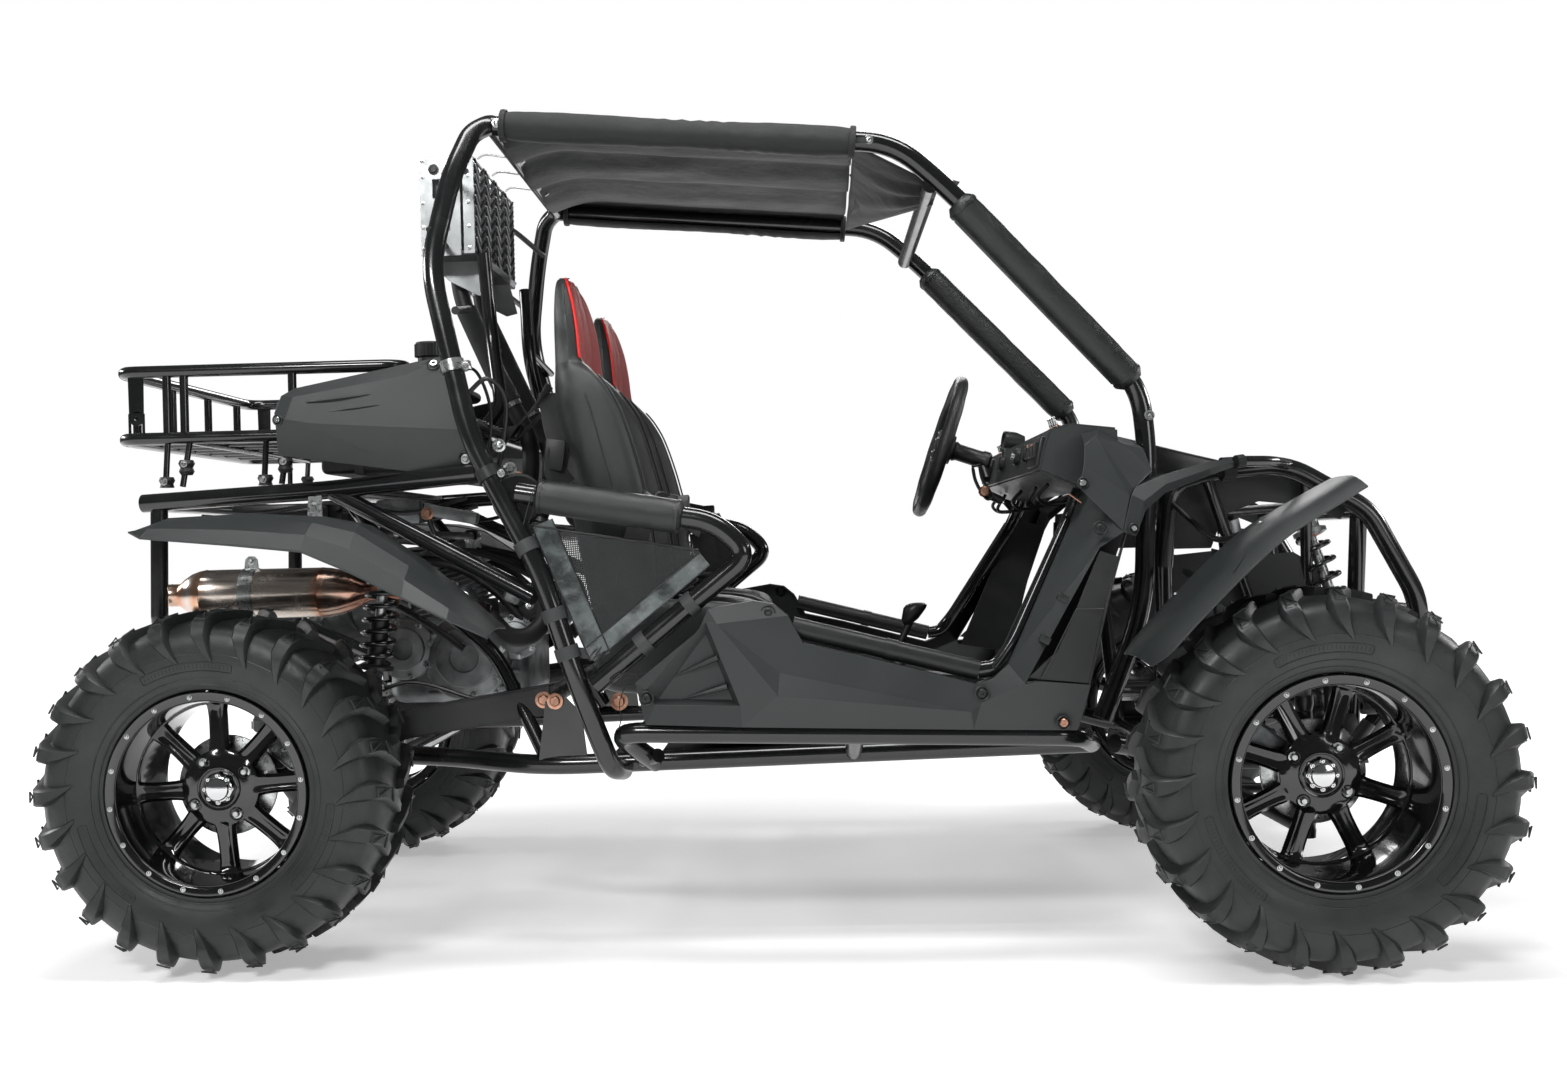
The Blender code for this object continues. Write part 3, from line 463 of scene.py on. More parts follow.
DUST = (0.2, 0.21, 0.2)
LOOKS = {"gloss_black": dict(colour=(0.0075, 0.0085, 0.0085), rough=0.2, coat=0.45, grain=(420.0, 0.00004),
    mottle=(5.0, 0.6)), "satin_black": dict(colour=(0.012, 0.0135, 0.013), rough=0.42,
    grain=(500.0, 0.00008)), "panel_plastic": dict(colour=(0.024, 0.0285, 0.028),
    tint=(0.019, 0.0225, 0.022), rough=0.4, wear=0.05, mottle=(3.0, 0.7), grain=(1500.0, 0.00005),
    pattern=("leather", 900.0, 0.00005)), "dark_plastic": dict(colour=(0.009, 0.011, 0.0105), rough=0.45,
    wear=0.06, grain=(1300.0, 0.00007)), "canopy_cloth": dict(colour=(0.011, 0.014, 0.0135),
    tint=(0.008, 0.01, 0.0095), rough=0.6, sheen=0.12, pattern=("weave", 330.0, 0.00016),
    dents=(26.0, 0.0035), mottle=(4.0, 0.5)), "pad_vinyl": dict(colour=(0.013, 0.0155, 0.015), rough=0.38,
    pattern=("leather", 620.0, 0.00012), dents=(30.0, 0.0016), mottle=(6.0, 0.6)),
    "seat_vinyl": dict(colour=(0.02, 0.024, 0.0235), tint=(0.014, 0.0165, 0.016), rough=0.38, sheen=0.05,
    pattern=("leather", 700.0, 0.00014), dents=(16.0, 0.0022), mottle=(5.0, 0.6)),
    "seat_centre": dict(colour=(0.012, 0.0145, 0.014), rough=0.55, pattern=("weave", 300.0, 0.00014),
    dents=(16.0, 0.002), mottle=(5.0, 0.6)), "red_vinyl": dict(colour=(0.4, 0.04, 0.034),
    tint=(0.27, 0.026, 0.022), rough=0.47, pattern=("leather", 620.0, 0.00016), mottle=(7.0, 0.6)),
    "red_piping": dict(colour=(0.75, 0.012, 0.01), rough=0.38), "red_paint": dict(colour=(0.55, 0.035,
    0.012), rough=0.3, coat=0.3), "orange_paint": dict(colour=(0.62, 0.16, 0.05), rough=0.34, coat=0.2),
    "webbing": dict(colour=(0.014, 0.016, 0.0155), rough=0.75, sheen=0.15,
    pattern=("weave", 420.0, 0.00018)), "net_cord": dict(colour=(0.02, 0.024, 0.0235), rough=0.62,
    grain=(900.0, 0.0001)), "clear_band": dict(colour=(0.13, 0.15, 0.148), tint=(0.035, 0.041, 0.04),
    rough=0.24, coat=0.5, mottle=(26.0, 0.22), dents=(40.0, 0.003)),
    "strap_rubber": dict(colour=(0.04, 0.045, 0.044), rough=0.62, grain=(800.0, 0.0001)),
    "tyre_rubber": dict(colour=(0.019, 0.0225, 0.022), tint=(0.009, 0.011, 0.0105), rough=0.46, wear=0.13,
    mottle=(7.0, 0.45), grain=(260.0, 0.00022), dents=(60.0, 0.0006), dust=(DUST, 0.09)),
    "rim_black": dict(colour=(0.005, 0.0055, 0.0055), rough=0.14, coat=0.7, grain=(300.0, 0.00003)),
    "chrome": dict(colour=(0.72, 0.73, 0.73), tint=(0.5, 0.51, 0.51), rough=0.1, metal=1.0, wear=0.05),
    "bolt_zinc": dict(colour=(0.6, 0.62, 0.61), tint=(0.38, 0.4, 0.39), rough=0.3, metal=1.0,
    mottle=(60.0, 0.4)), "bolt_copper": dict(colour=(0.62, 0.34, 0.24), tint=(0.34, 0.19, 0.13),
    rough=0.34, metal=1.0, mottle=(60.0, 0.4)), "cast_alloy": dict(colour=(0.4, 0.42, 0.42),
    tint=(0.13, 0.14, 0.14), rough=0.46, metal=0.85, wear=0.12, mottle=(14.0, 0.35),
    pattern=("cast", 260.0, 0.0004)), "sheet_alloy": dict(colour=(0.4, 0.415, 0.415),
    tint=(0.22, 0.23, 0.23), rough=0.4, metal=0.9, wear=0.1, mottle=(11.0, 0.4), grain=(700.0, 0.0001)),
    "core_alloy": dict(colour=(0.2, 0.21, 0.21), tint=(0.08, 0.085, 0.085), rough=0.5, metal=0.7,
    mottle=(40.0, 0.4)), "silencer": dict(colour=(0.62, 0.6, 0.58), rough=0.22, metal=1.0, wear=0.08,
    grain=(500.0, 0.00006), bands=[(-1.232, (0.5, 0.3, 0.2)), (-1.205, (0.6, 0.5, 0.42)),
    (-1.175, (0.52, 0.26, 0.16)), (-1.15, (0.6, 0.54, 0.5)), (-1.135, (0.66, 0.36, 0.22)),
    (-1.11, (0.68, 0.6, 0.54)), (-0.905, (0.66, 0.56, 0.48)), (-0.885, (0.62, 0.31, 0.19)),
    (-0.865, (0.58, 0.42, 0.34)), (-0.82, (0.44, 0.19, 0.11)), (-0.78, (0.32, 0.15, 0.11))]),
    "header": dict(colour=(0.42, 0.3, 0.25), rough=0.3, metal=1.0, grain=(500.0, 0.0001),
    bands=[(-0.76, (0.34, 0.15, 0.1)), (-0.67, (0.55, 0.17, 0.08)), (-0.62, (0.46, 0.14, 0.08)),
    (-0.6, (0.06, 0.1, 0.24)), (-0.585, (0.02, 0.02, 0.025)), (-0.55, (0.02, 0.02, 0.02))]),
    "rubber": dict(colour=(0.011, 0.0125, 0.012), rough=0.5, grain=(500.0, 0.00012)),
    "hose_sleeve": dict(colour=(0.018, 0.021, 0.0205), rough=0.6, pattern=("weave", 420.0, 0.0002)),
    "cable": dict(colour=(0.009, 0.01, 0.01), rough=0.38), "dial_glass": dict(colour=(0.02, 0.022, 0.022),
    rough=0.06, coat=1.0)}


# ---------------------------------------------------------------- wheels

LUGS = 24
BOLTS = 16
SPOKES = 8


def carcass(half):
    """The tyre's outer profile between its lugs as (radius, half-width) points, crown to bead."""
    return [(0.3165, 0.0), (0.3155, half * 0.35), (0.3115, half * 0.62), (0.302, half * 0.84),
        (0.287, half * 0.955), (0.265, half - 0.0015), (0.242, half - 0.001), (0.22, half - 0.006),
        (0.204, half - 0.0125), (0.195, half - 0.017), (0.19, half - 0.016), (0.1868, half - 0.0195),
        (0.1862, half - 0.026)]


def along_profile(profile, distance):
    """The point and outward normal at a distance along the profile from the crown."""
    left = distance
    for (r0, h0), (r1, h1) in zip(profile, profile[1:]):
        length = math.hypot(r1 - r0, h1 - h0)
        if left <= length or (r1, h1) == profile[-1]:
            t = left / length
            return (r0 + (r1 - r0) * t, h0 + (h1 - h0) * t), ((h1 - h0) / length, -(r1 - r0) / length)
        left -= length


# (distance from the crown over the tyre's half-width, lead, half thickness, height) of each lug
LUG = [(0.05, 0.044, 0.0085, 0.016), (0.22, 0.033, 0.01, 0.0178), (0.42, 0.019, 0.012, 0.0178),
       (0.6, 0.008, 0.0135, 0.019), (0.76, 0.002, 0.015, 0.0215), (0.9, 0.0, 0.016, 0.0225),
       (1.02, 0.002, 0.015, 0.02), (1.14, 0.007, 0.0118, 0.015), (1.26, 0.015, 0.008, 0.0095),
       (1.38, 0.026, 0.0035, 0.0035)]


def add_lug(shape, centre, half, side, angle):
    """One moulded tread lug, from the crown down over the shoulder."""
    profile = carcass(half)

    def spot(distance, lead, rise):
        (r, h), (nr, nh) = along_profile(profile, distance)
        a = angle + lead / 0.3
        out = r + nr * rise
        return centre + Vector((out * math.sin(a), (h + nh * rise) * side, out * math.cos(a)))

    rings = []
    for share, lead, wide, high in LUG:
        d = share * half
        rings.append([spot(d, lead + u * wide, high * v - 0.002) for u, v in ((-1.25, 0.0), (-1.02, 0.8),
            (-0.82, 1.0), (0.62, 1.0), (0.88, 0.8), (1.15, 0.0))])
    shape.skin(rings)
    # the sipe between the tread block and the claw, and the raised triangle round its pocket
    low, high, lead = 0.66 * half, 0.86 * half, 0.0035
    rim = [spot(low, lead - 0.006, 0.0215), spot(high, lead - 0.0105, 0.0238),
           spot(high, lead + 0.0065, 0.0238)]
    shape.tube(rim, 0.0017, 6, cyclic=True)
    shape.tube([spot(0.53 * half, 0.012 - 0.0125, 0.0165), spot(0.53 * half, 0.012 + 0.011, 0.0185)],
        0.0024, 6)


def build_tyre(name, centre, half, nodes, body):
    """A lathed carcass with its lugs and the raised lines of the sidewall."""
    shape = Shape()
    outer = [(r, h) for r, h in carcass(half)]
    inner = [(0.19, half - 0.034), (0.205, half - 0.024), (0.25, half - 0.012), (0.29, half - 0.022),
        (0.304, 0.0)]
    whole = [(r, h) for r, h in reversed(outer)] + [(r, -h) for r, h in outer[1:]]
    back = [(r, -h) for r, h in inner[:-1]] + [(r, h) for r, h in reversed(inner)]
    shape.lathe(whole + back, centre, (0, 1, 0), 96, closed=True)
    for side in (LEFT, RIGHT):
        for index in range(LUGS):
            add_lug(shape, centre, half, side, 2 * math.pi * (index + (0.5 if side > 0 else 0.0)) / LUGS)
        # a moulded ring, the bead line and three long capsule outlines on the sidewall
        for r, h, wire in ((0.2545, half - 0.0012, 0.0009), (0.2105, half - 0.0095, 0.001),
                (0.1985, half - 0.0148, 0.0012)):
            shape.lathe([(r - wire * 1.5, h - 0.002), (r - wire, h + wire * 0.6), (r, h + wire),
                (r + wire, h + wire * 0.6), (r + wire * 1.5, h - 0.002)], centre, (0, side, 0), 96)
        for start, sweep in ((math.radians(95), 42), (math.radians(215), 42), (math.radians(-28), 42)):
            low, high = 0.2235, 0.2395
            ends = [start, start + math.radians(sweep)]
            outline = []
            for i in range(17):
                a = ends[0] + (ends[1] - ends[0]) * i / 16
                outline.append((a, high, half - 0.001))
            for i in range(17):
                a = ends[1] - (ends[1] - ends[0]) * i / 16
                outline.append((a, low, half - 0.0048))
            shape.tube([centre + Vector((r * math.sin(a), h * side, r * math.cos(a)))
                for a, r, h in outline], 0.0011, 6, bend=0.008, steps=3, cyclic=True)
            for i in range(1, 24):
                a = ends[0] + (ends[1] - ends[0]) * i / 24
                shape.tube([centre + Vector((r * math.sin(a), h * side, r * math.cos(a)))
                    for r, h in ((0.2285, half - 0.0037), (0.235, half - 0.002))], 0.0006, 4)
    obj = piece(name, shape, "tyre_rubber", "tyre", body, nodes, smooth=42)
    return obj


def build_rim(name, centre, half, disc, side, node, body, twist):
    """A gloss dish with a bolted outer ring, eight spokes, lug nuts and a bright hub cap."""
    shape = Shape()
    lip = half - 0.0118
    axis = Vector((0, side, 0))
    BLACK, CHROME, ZINC = 0, 1, 2
    shape.lathe([(0.164, -lip + 0.004), (0.1725, -lip), (0.185, -lip), (0.185, -lip + 0.01),
        (0.1765, -lip + 0.016), (0.1765, lip - 0.02), (0.185, lip - 0.012), (0.1856, lip - 0.004),
        (0.185, lip), (0.1838, lip + 0.0012), (0.172, lip + 0.0008), (0.169, lip - 0.001),
        (0.168, lip - 0.0035), (0.1672, lip - 0.0035), (0.1655, lip - 0.01), (0.163, (lip + disc) / 2),
        (0.1606, disc + 0.018), (0.16, disc - 0.006), (0.1618, -lip + 0.02)], centre, axis, 96, BLACK,
        closed=True)
    for i in range(BOLTS):
        a = 2 * math.pi * (i + 0.35) / BOLTS
        shape.bolt(centre + axis * (lip + 0.0009) + Vector((0.177 * math.cos(a), 0, 0.177 * math.sin(a))),
            axis, 0.0032, 0.003, ZINC, "dome")
    # spokes: a polar sheet with windows, pushed in between its raised edges
    radii = [0.03, 0.046, 0.06, 0.071, 0.078, 0.09, 0.108, 0.126, 0.142, 0.151, 0.157, 0.1625]
    rise = [0.02, 0.019, 0.0165, 0.013, 0.0115, 0.0095, 0.0075, 0.006, 0.0055, 0.006, 0.008, 0.011]
    spoke_half = [0.011, 0.013, 0.0145, 0.015, 0.014, 0.0125, 0.0118, 0.0118, 0.0125, 0.0142, 0.016, 0.018]
    work = bmesh.new()
    rows = []
    columns = 8
    for r, y, w in zip(radii, rise, spoke_half):
        row = []
        for k in range(SPOKES):
            base = 2 * math.pi * (k + 0.25) / SPOKES + twist
            reach = min(w / r, math.pi / SPOKES * 0.62)
            gap = 2 * math.pi / SPOKES - 2 * reach
            turns = [-reach, -reach * 0.55, 0.0, reach * 0.55, reach, reach + gap * 0.25,
                reach + gap * 0.5, reach + gap * 0.75]
            groove = [0.0, -0.0014, -0.003, -0.0014, 0.0, 0.0, 0.0, 0.0]
            fade = 1.0 if 0.062 < r < 0.156 else 0.0
            for turn, dip in zip(turns, groove):
                a = base + turn
                row.append(work.verts.new(centre + axis * (disc + y + dip * fade)
                    + Vector((r * math.cos(a), 0, r * math.sin(a)))))
        rows.append(row)
    count = SPOKES * columns
    for r in range(len(rows) - 1):
        for c in range(count):
            if 4 <= c % columns <= 7 and 3 <= r <= 9:
                continue
            d = (c + 1) % count
            work.faces.new((rows[r][c], rows[r][d], rows[r + 1][d], rows[r + 1][c]))
    bmesh.ops.recalc_face_normals(work, faces=work.faces[:])
    top = work.faces[0]
    if top.normal.dot(axis) < 0:
        bmesh.ops.reverse_faces(work, faces=work.faces[:])
    bmesh.ops.solidify(work, geom=work.faces[:], thickness=0.016)
    bmesh.ops.subdivide_edges(work, edges=work.edges[:], cuts=1, use_grid_fill=True, smooth=0.6)
    shape.merge(work, None, BLACK)
    shape.lathe([(0.0, disc - 0.004), (0.06, disc - 0.004), (0.06, disc + 0.004), (0.0, disc + 0.004)],
        centre, axis, 32, BLACK)
    # hub: a ring, a socket and the chrome cap with its small bolts
    top = disc + 0.02
    shape.lathe([(0.04, top - 0.01), (0.0405, top + 0.003), (0.039, top + 0.0045), (0.036, top + 0.0035),
        (0.034, top - 0.004), (0.0, top - 0.004)], centre, axis, 48, BLACK)
    shape.lathe([(0.036, top + 0.003), (0.0368, top + 0.0046), (0.0376, top + 0.003)], centre, axis, 48,
        CHROME)
    shape.lathe([(0.0265, top - 0.004), (0.0265, top + 0.006), (0.024, top + 0.0085),
        (0.0215, top + 0.0095), (0.0195, top + 0.0135), (0.012, top + 0.016), (0.0, top + 0.017)], centre,
        axis, 48, CHROME)
    for i in range(8):
        a = 2 * math.pi * i / 8
        spot = centre + axis * (top + 0.0075) + Vector((0.0245 * math.cos(a), 0, 0.0245 * math.sin(a)))
        shape.bolt(spot, axis, 0.003, 0.0045, CHROME, "socket")
    for i in range(4):
        a = 2 * math.pi * (i + 0.45) / 4 + twist
        spot = centre + Vector((0.056 * math.cos(a), 0, 0.056 * math.sin(a)))
        shape.lathe([(0.0125, disc + 0.0165), (0.0125, disc + 0.0195), (0.0112, disc + 0.0205),
            (0.01, disc + 0.0195), (0.0095, disc + 0.012)], spot, axis, 20, BLACK)
        shape.bolt(spot + axis * (disc + 0.0155), axis, 0.0062, 0.0095, ZINC)
    stem = centre + Vector((0.15 * math.cos(0.5), 0, 0.15 * math.sin(0.5)))
    shape.tube([stem + axis * (disc + 0.02), stem + axis * (disc + 0.052)], 0.003, 8, mat=BLACK)
    # the brake disc behind the spokes
    shape.lathe([(0.04, disc - 0.03), (0.092, disc - 0.03), (0.094, disc - 0.0285), (0.094, disc - 0.0265),
        (0.092, disc - 0.025), (0.04, disc - 0.025)], centre, axis, 48, ZINC, closed=True)
    return piece(name, shape, ("rim_black", "chrome", "bolt_zinc"), "rim", body, node, smooth=40)


def wheels():
    """A tyre and a rim at each corner."""
    corners = {
        "front": (FRONT_X, FRONT_TRACK_Y, 0.115, -0.022, 0.27),
        "rear": (REAR_X, REAR_TRACK_Y, 0.1275, 0.0285, -0.14),
    }
    for end, (x, y, half, disc, twist) in corners.items():
        for name, side in SIDES.items():
            centre = Vector((x, y * side, TYRE_R))
            body = f"wheel_{end}_{name}"
            build_tyre(f"tyre_tread_{end}_{name}", centre, half, f"tyre_{end}_{name}", body)
            build_rim(f"rim_dish_{end}_{name}", centre, half, disc, side, f"rim_{end}_{name}", body, twist)


wheels()


# ---------------------------------------------------------------- frame tubes

HOOP_TOP_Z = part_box("roll_hoop")[1].z - 0.0195
HOOP_PATH = [(-0.322, 0.6, 0.503), (-0.391, 0.6, 0.725), (-0.521, 0.57, 0.97), (-0.597, 0.535, 1.298)]


def hoop_point(z):
    """The point of the main hoop's centre line at a height."""
    for low, high in zip(HOOP_PATH, HOOP_PATH[1:]):
        if z <= high[2]:
            return Vector(low).lerp(Vector(high), (z - low[2]) / (high[2] - low[2]))
    return Vector(HOOP_PATH[-1])


def other_side(points):
    """A path mirrored to the right side."""
    return [Vector((p[0], -p[1], p[2])) for p in points]


def frame_piece(name, node, tubes, cross=(), extra=None, mats="gloss_black", slot="frame"):
    """tubes are (points, radius, bend), made on both sides; cross are (x, y, z, radius)."""
    shape = Shape()
    for points, radius, bend in tubes:
        for path in (points, other_side(points)):
            shape.tube(path, radius, 20, bend=bend, steps=7)
    for x, y, z, radius in cross:
        shape.tube([(x, -y, z), (x, y, z)], radius, 16)
    if extra:
        extra(shape)
    return piece(name, shape, mats, slot, stands_for=node)


FLOOR_RAIL = [(-0.745, 0.3, 0.352), (-0.62, 0.34, 0.35), (-0.42, RAIL_Y, 0.345), (0.632, RAIL_Y, 0.371)]
SILL = [(-0.2, RAIL_Y, 0.348), (-0.262, SILL_Y, 0.425), (0.587, SILL_Y, 0.404), (0.632, RAIL_Y, 0.371)]


def floor_extra(shape):
    """Pivot brackets, gussets and the dark belly plate."""
    for side in (LEFT, RIGHT):
        place = Matrix.Translation(at(-0.372, 0.452, 0.415, side)) @ Matrix.Rotation(math.pi / 2, 4, "X")
        shape.slab([(-0.055, -0.06), (0.04, -0.06), (0.03, 0.03), (0.0, 0.062), (-0.04, 0.055)], 0.005,
            place, 0.001)
        shape.tube([at(-0.225, RAIL_Y + 0.01, 0.353, side), at(-0.19, 0.505, 0.368, side)], 0.014, 12)
    shape.block((0.8, 0.84, 0.003), Matrix.Translation((0.2, 0, 0.362)) @ Matrix.Rotation(-0.024, 4, "Y"),
        0.001)


frame_piece("floor_tubes", "floor_frame", [(FLOOR_RAIL, MAIN_R, 0.08), (SILL, MAIN_R, 0.06),
    ([(0.18, RAIL_Y, 0.36), (0.18, SILL_Y, 0.412)], LIGHT_R, 0)], [(-0.735, 0.3, 0.352, LIGHT_R),
    (-0.28, RAIL_Y, 0.346, LIGHT_R), (0.18, RAIL_Y, 0.36, LIGHT_R), (0.625, RAIL_Y, 0.371, LIGHT_R)],
    floor_extra)

HOOP_HALF = [(-0.262, RAIL_Y + MAIN_R + 0.004, 0.338), (-0.272, 0.56, 0.352)] + HOOP_PATH + [(-0.566,
    0.478, 1.48), (-0.536, 0.425, 1.577), (-0.5, 0.4, HOOP_TOP_Z)]


def hoop_extra(shape):
    """The whole hoop as one bent tube, and the bowed harness bars."""
    whole = [Vector(p) for p in HOOP_HALF] + other_side(reversed(HOOP_HALF))
    shape.tube(whole, MAIN_R + 0.0005, 22, bend=0.065, steps=9)
    # the bowed bars behind the seats, which carry the harness
    for side in (LEFT, RIGHT):
        shape.tube([at(-0.545, 0.29, 1.018, side), at(-0.52, 0.27, 1.06, side),
            at(-0.548, 0.215, 1.215, side), at(-0.556, 0.235, 1.38, side)], LIGHT_R - 0.002, 14, bend=0.05)
        shape.tube([at(-0.549, 0.54, 1.215, side), at(-0.57, 0.33, 1.25, side)], 0.008, 10, bend=0.0)


frame_piece("hoop_tubes", "roll_hoop", [], [(hoop_point(1.0).x, hoop_point(1.0).y, 1.0, LIGHT_R),
    (hoop_point(0.8).x, hoop_point(0.8).y, 0.8, LIGHT_R)], hoop_extra)

ROOF_SIDE = [(-0.51, 0.4, HOOP_TOP_Z - 0.004), (0.285, 0.412, 1.534), (0.388, 0.408, 1.443),
    (0.753, 0.38, 1.052), (0.765, 0.38, 0.93), (0.752, 0.385, 0.62), (0.664, 0.4, 0.41)]
frame_piece("roof_tubes", "roof_frame", [(ROOF_SIDE, MAIN_R, 0.09)],
    [(0.355, 0.408, 1.452, LIGHT_R), (0.764, 0.38, 0.9, LIGHT_R)])


def rear_extra(shape):
    """The long diagonal tube inside each side of the rear frame."""
    for side in (LEFT, RIGHT):
        shape.tube([at(-0.83, 0.3, 0.872, side), at(-0.7, 0.33, 0.7, side), at(-0.52, 0.38, 0.56, side),
            at(-0.42, 0.44, 0.372, side)], LIGHT_R - 0.002, 14, bend=0.05)


REAR_RAIL = [(-1.212, 0.405, 0.872), (-0.825, 0.45, 0.888), tuple(hoop_point(0.908)
    + Vector((-0.022, -0.026, 0)))]
REAR_DIAGONAL = [(-0.825, 0.45, 0.888), tuple(hoop_point(0.655) + Vector((-0.036, -0.024, 0.02)))]
REAR_LEG = [(-1.18, 0.405, 0.872), (-1.186, 0.405, 0.6), (-0.925, 0.3, 0.5), (-0.745, 0.3, 0.42),
    (-0.745, 0.3, 0.3716)]
frame_piece("rear_tubes", "rear_frame", [(REAR_RAIL, MAIN_R - 0.001, 0.05), (REAR_DIAGONAL, LIGHT_R, 0),
    (REAR_LEG, LIGHT_R, 0.05)], [(-1.2, 0.405, 0.872, LIGHT_R), (-0.825, 0.45, 0.888, LIGHT_R),
    (-1.184, 0.4, 0.6, LIGHT_R)], rear_extra)

FRONT_LOOP = [(0.8, 0.34, 0.7), (0.815, 0.34, 0.86), (0.886, 0.35, 0.885), (1.04, 0.35, 0.897),
    (1.198, 0.35, 0.803), (1.234, 0.348, 0.735), (1.298, 0.34, 0.62), (1.29, 0.31, 0.48),
    (1.2, 0.25, 0.33), (0.82, 0.25, 0.322), (0.7, 0.33, 0.352)]


def front_extra(shape):
    """The winch plate, gussets and the shock towers."""
    shape.block((0.019, 0.2, 0.13), Matrix.Translation((1.195, 0, 0.405)), 0.002)
    for side in (LEFT, RIGHT):
        for x, z, w, h in ((0.845, 0.33, 0.05, 0.045), (1.17, 0.345, 0.05, 0.05)):
            place = Matrix.Translation(at(x, 0.262, z, side)) @ Matrix.Rotation(math.pi / 2, 4, "X")
            shape.slab([(-w, -h), (w, -h), (w * 0.5, h), (-w * 0.5, h)], 0.004, place, 0.001)
        shape.tube([at(0.886, 0.345, 0.88, side), at(1.0, 0.3, 0.56, side), at(0.905, 0.262, 0.335, side)],
            0.0115, 12, bend=0.06)
        shape.tube([at(1.085, 0.33, 0.868, side), at(1.092, 0.3, 0.7, side), at(1.11, 0.262, 0.5, side)],
            0.0115, 12, bend=0.06)


frame_piece("front_tubes", "front_frame", [(FRONT_LOOP, MAIN_R, 0.05),
    ([(1.196, 0.3, 0.8), (1.196, 0.23, 0.335)], LIGHT_R, 0), ([(0.8, 0.34, 0.705), (0.82, 0.25, 0.325)],
    LIGHT_R, 0)], [(1.196, 0.35, 0.803, LIGHT_R), (1.294, 0.335, 0.6, LIGHT_R),
    (1.2, 0.25, 0.332, LIGHT_R), (0.825, 0.25, 0.322, LIGHT_R), (0.808, 0.34, 0.8, LIGHT_R)], front_extra)


def side_hoops():
    """The bent bar beside each seat."""
    shape = Shape()
    start = hoop_point(0.868) + Vector((0.034, 0.002, 0))
    end = hoop_point(0.5) + Vector((0.026, 0.0, 0.012))
    shape.tube([start, at(-0.067, 0.6, 0.806), at(-0.005, 0.6, 0.745), end], MAIN_R, 20, bend=0.075,
        steps=8)
    both("side_bar", shape, "gloss_black", "frame", "side_hoop")


side_hoops()


def rear_rack():
    """A basket of light tube, with its corner tabs and rubber mounts."""
    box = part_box("rear_rack")
    half, front, back = 0.365, -0.7, -1.275
    top, low, r = box[1].z - 0.0125, 1.003, 0.0125
    shape = Shape()
    STEEL, RUBBER, ZINC = 0, 1, 2
    for z in (top, low):
        shape.tube([(front, -half, z), (back, -half, z), (back, half, z), (front, half, z)], r, 16,
            bend=0.045, steps=8, cyclic=True)
    for x in (-1.176, -1.141, -0.921, -0.74):
        for side in (LEFT, RIGHT):
            shape.tube([(x, half * side, low), (x, half * side, top)], 0.0085, 12)
    for y in (-0.28, -0.1, 0.1, 0.28):
        shape.tube([(back, y, low), (back, y, top)], 0.0085, 12)
    for y in (-0.27, -0.18, -0.09, 0.0, 0.09, 0.18, 0.27):
        shape.tube([(back, y, low), (front, y, low)], 0.007, 10)
    for x in (-1.13, -0.93):
        shape.tube([(x, -half, low - 0.006), (x, half, low - 0.006)], 0.008, 10)
    shape.block((0.16, 0.4, 0.004), Matrix.Translation((-1.04, 0, 1.0055)), 0.001)
    for side in (LEFT, RIGHT):  # a flat tab with a hole at each rear corner
        shape.lathe([(0.0042, -0.0016), (0.0145, -0.0016), (0.0145, 0.0016), (0.0042, 0.0016)],
            (-1.2385, (half + 0.001) * side, 1.044), (0, 1, 0), 24, STEEL, closed=True)
        shape.slab([(-1.2535, 1.054), (-1.2235, 1.054), (-1.2225, top - 0.004), (-1.2545, top - 0.004)],
            0.0032, Matrix.Translation((0, (half + 0.001) * side, 0)) @ Matrix.Rotation(math.pi / 2, 4,
            "X"), 0.0008)
        for x in (-1.2525, -1.2245):
            shape.tube([(x, (half + 0.001) * side, low + 0.006), (x, (half + 0.001) * side, 1.054)], 0.003,
                8)
        for x in (-1.13, -0.93):
            shape.tube([(x, half * side, low), (x - 0.012, 0.38 * side, 0.905)], 0.006, 10)
            shape.tube([(x - 0.046, half * side, low), (x - 0.05, 0.372 * side, 0.905)], 0.006, 10)
            shape.lathe([(0, 0.958), (0.013, 0.958), (0.016, 0.951), (0.012, 0.943), (0.015, 0.935),
                (0.011, 0.928), (0, 0.928)], (x - 0.006, 0.373 * side, 0), (0, 0, 1), 16, RUBBER)
            shape.lathe([(0, 0.925), (0.013, 0.925), (0.0155, 0.918), (0.012, 0.911), (0.014, 0.904),
                (0, 0.904)], (x - 0.048, 0.37 * side, 0), (0, 0, 1), 16, RUBBER)
            shape.bolt((x - 0.006, (0.387) * side, 0.95), (0, side, 0), 0.0048, 0.005, ZINC)
            shape.bolt((x - 0.048, (0.384) * side, 0.915), (0, side, 0), 0.0048, 0.005, ZINC)
    piece("rack_basket", shape, ("gloss_black", "rubber", "bolt_zinc"), "frame", stands_for="rear_rack")


rear_rack()


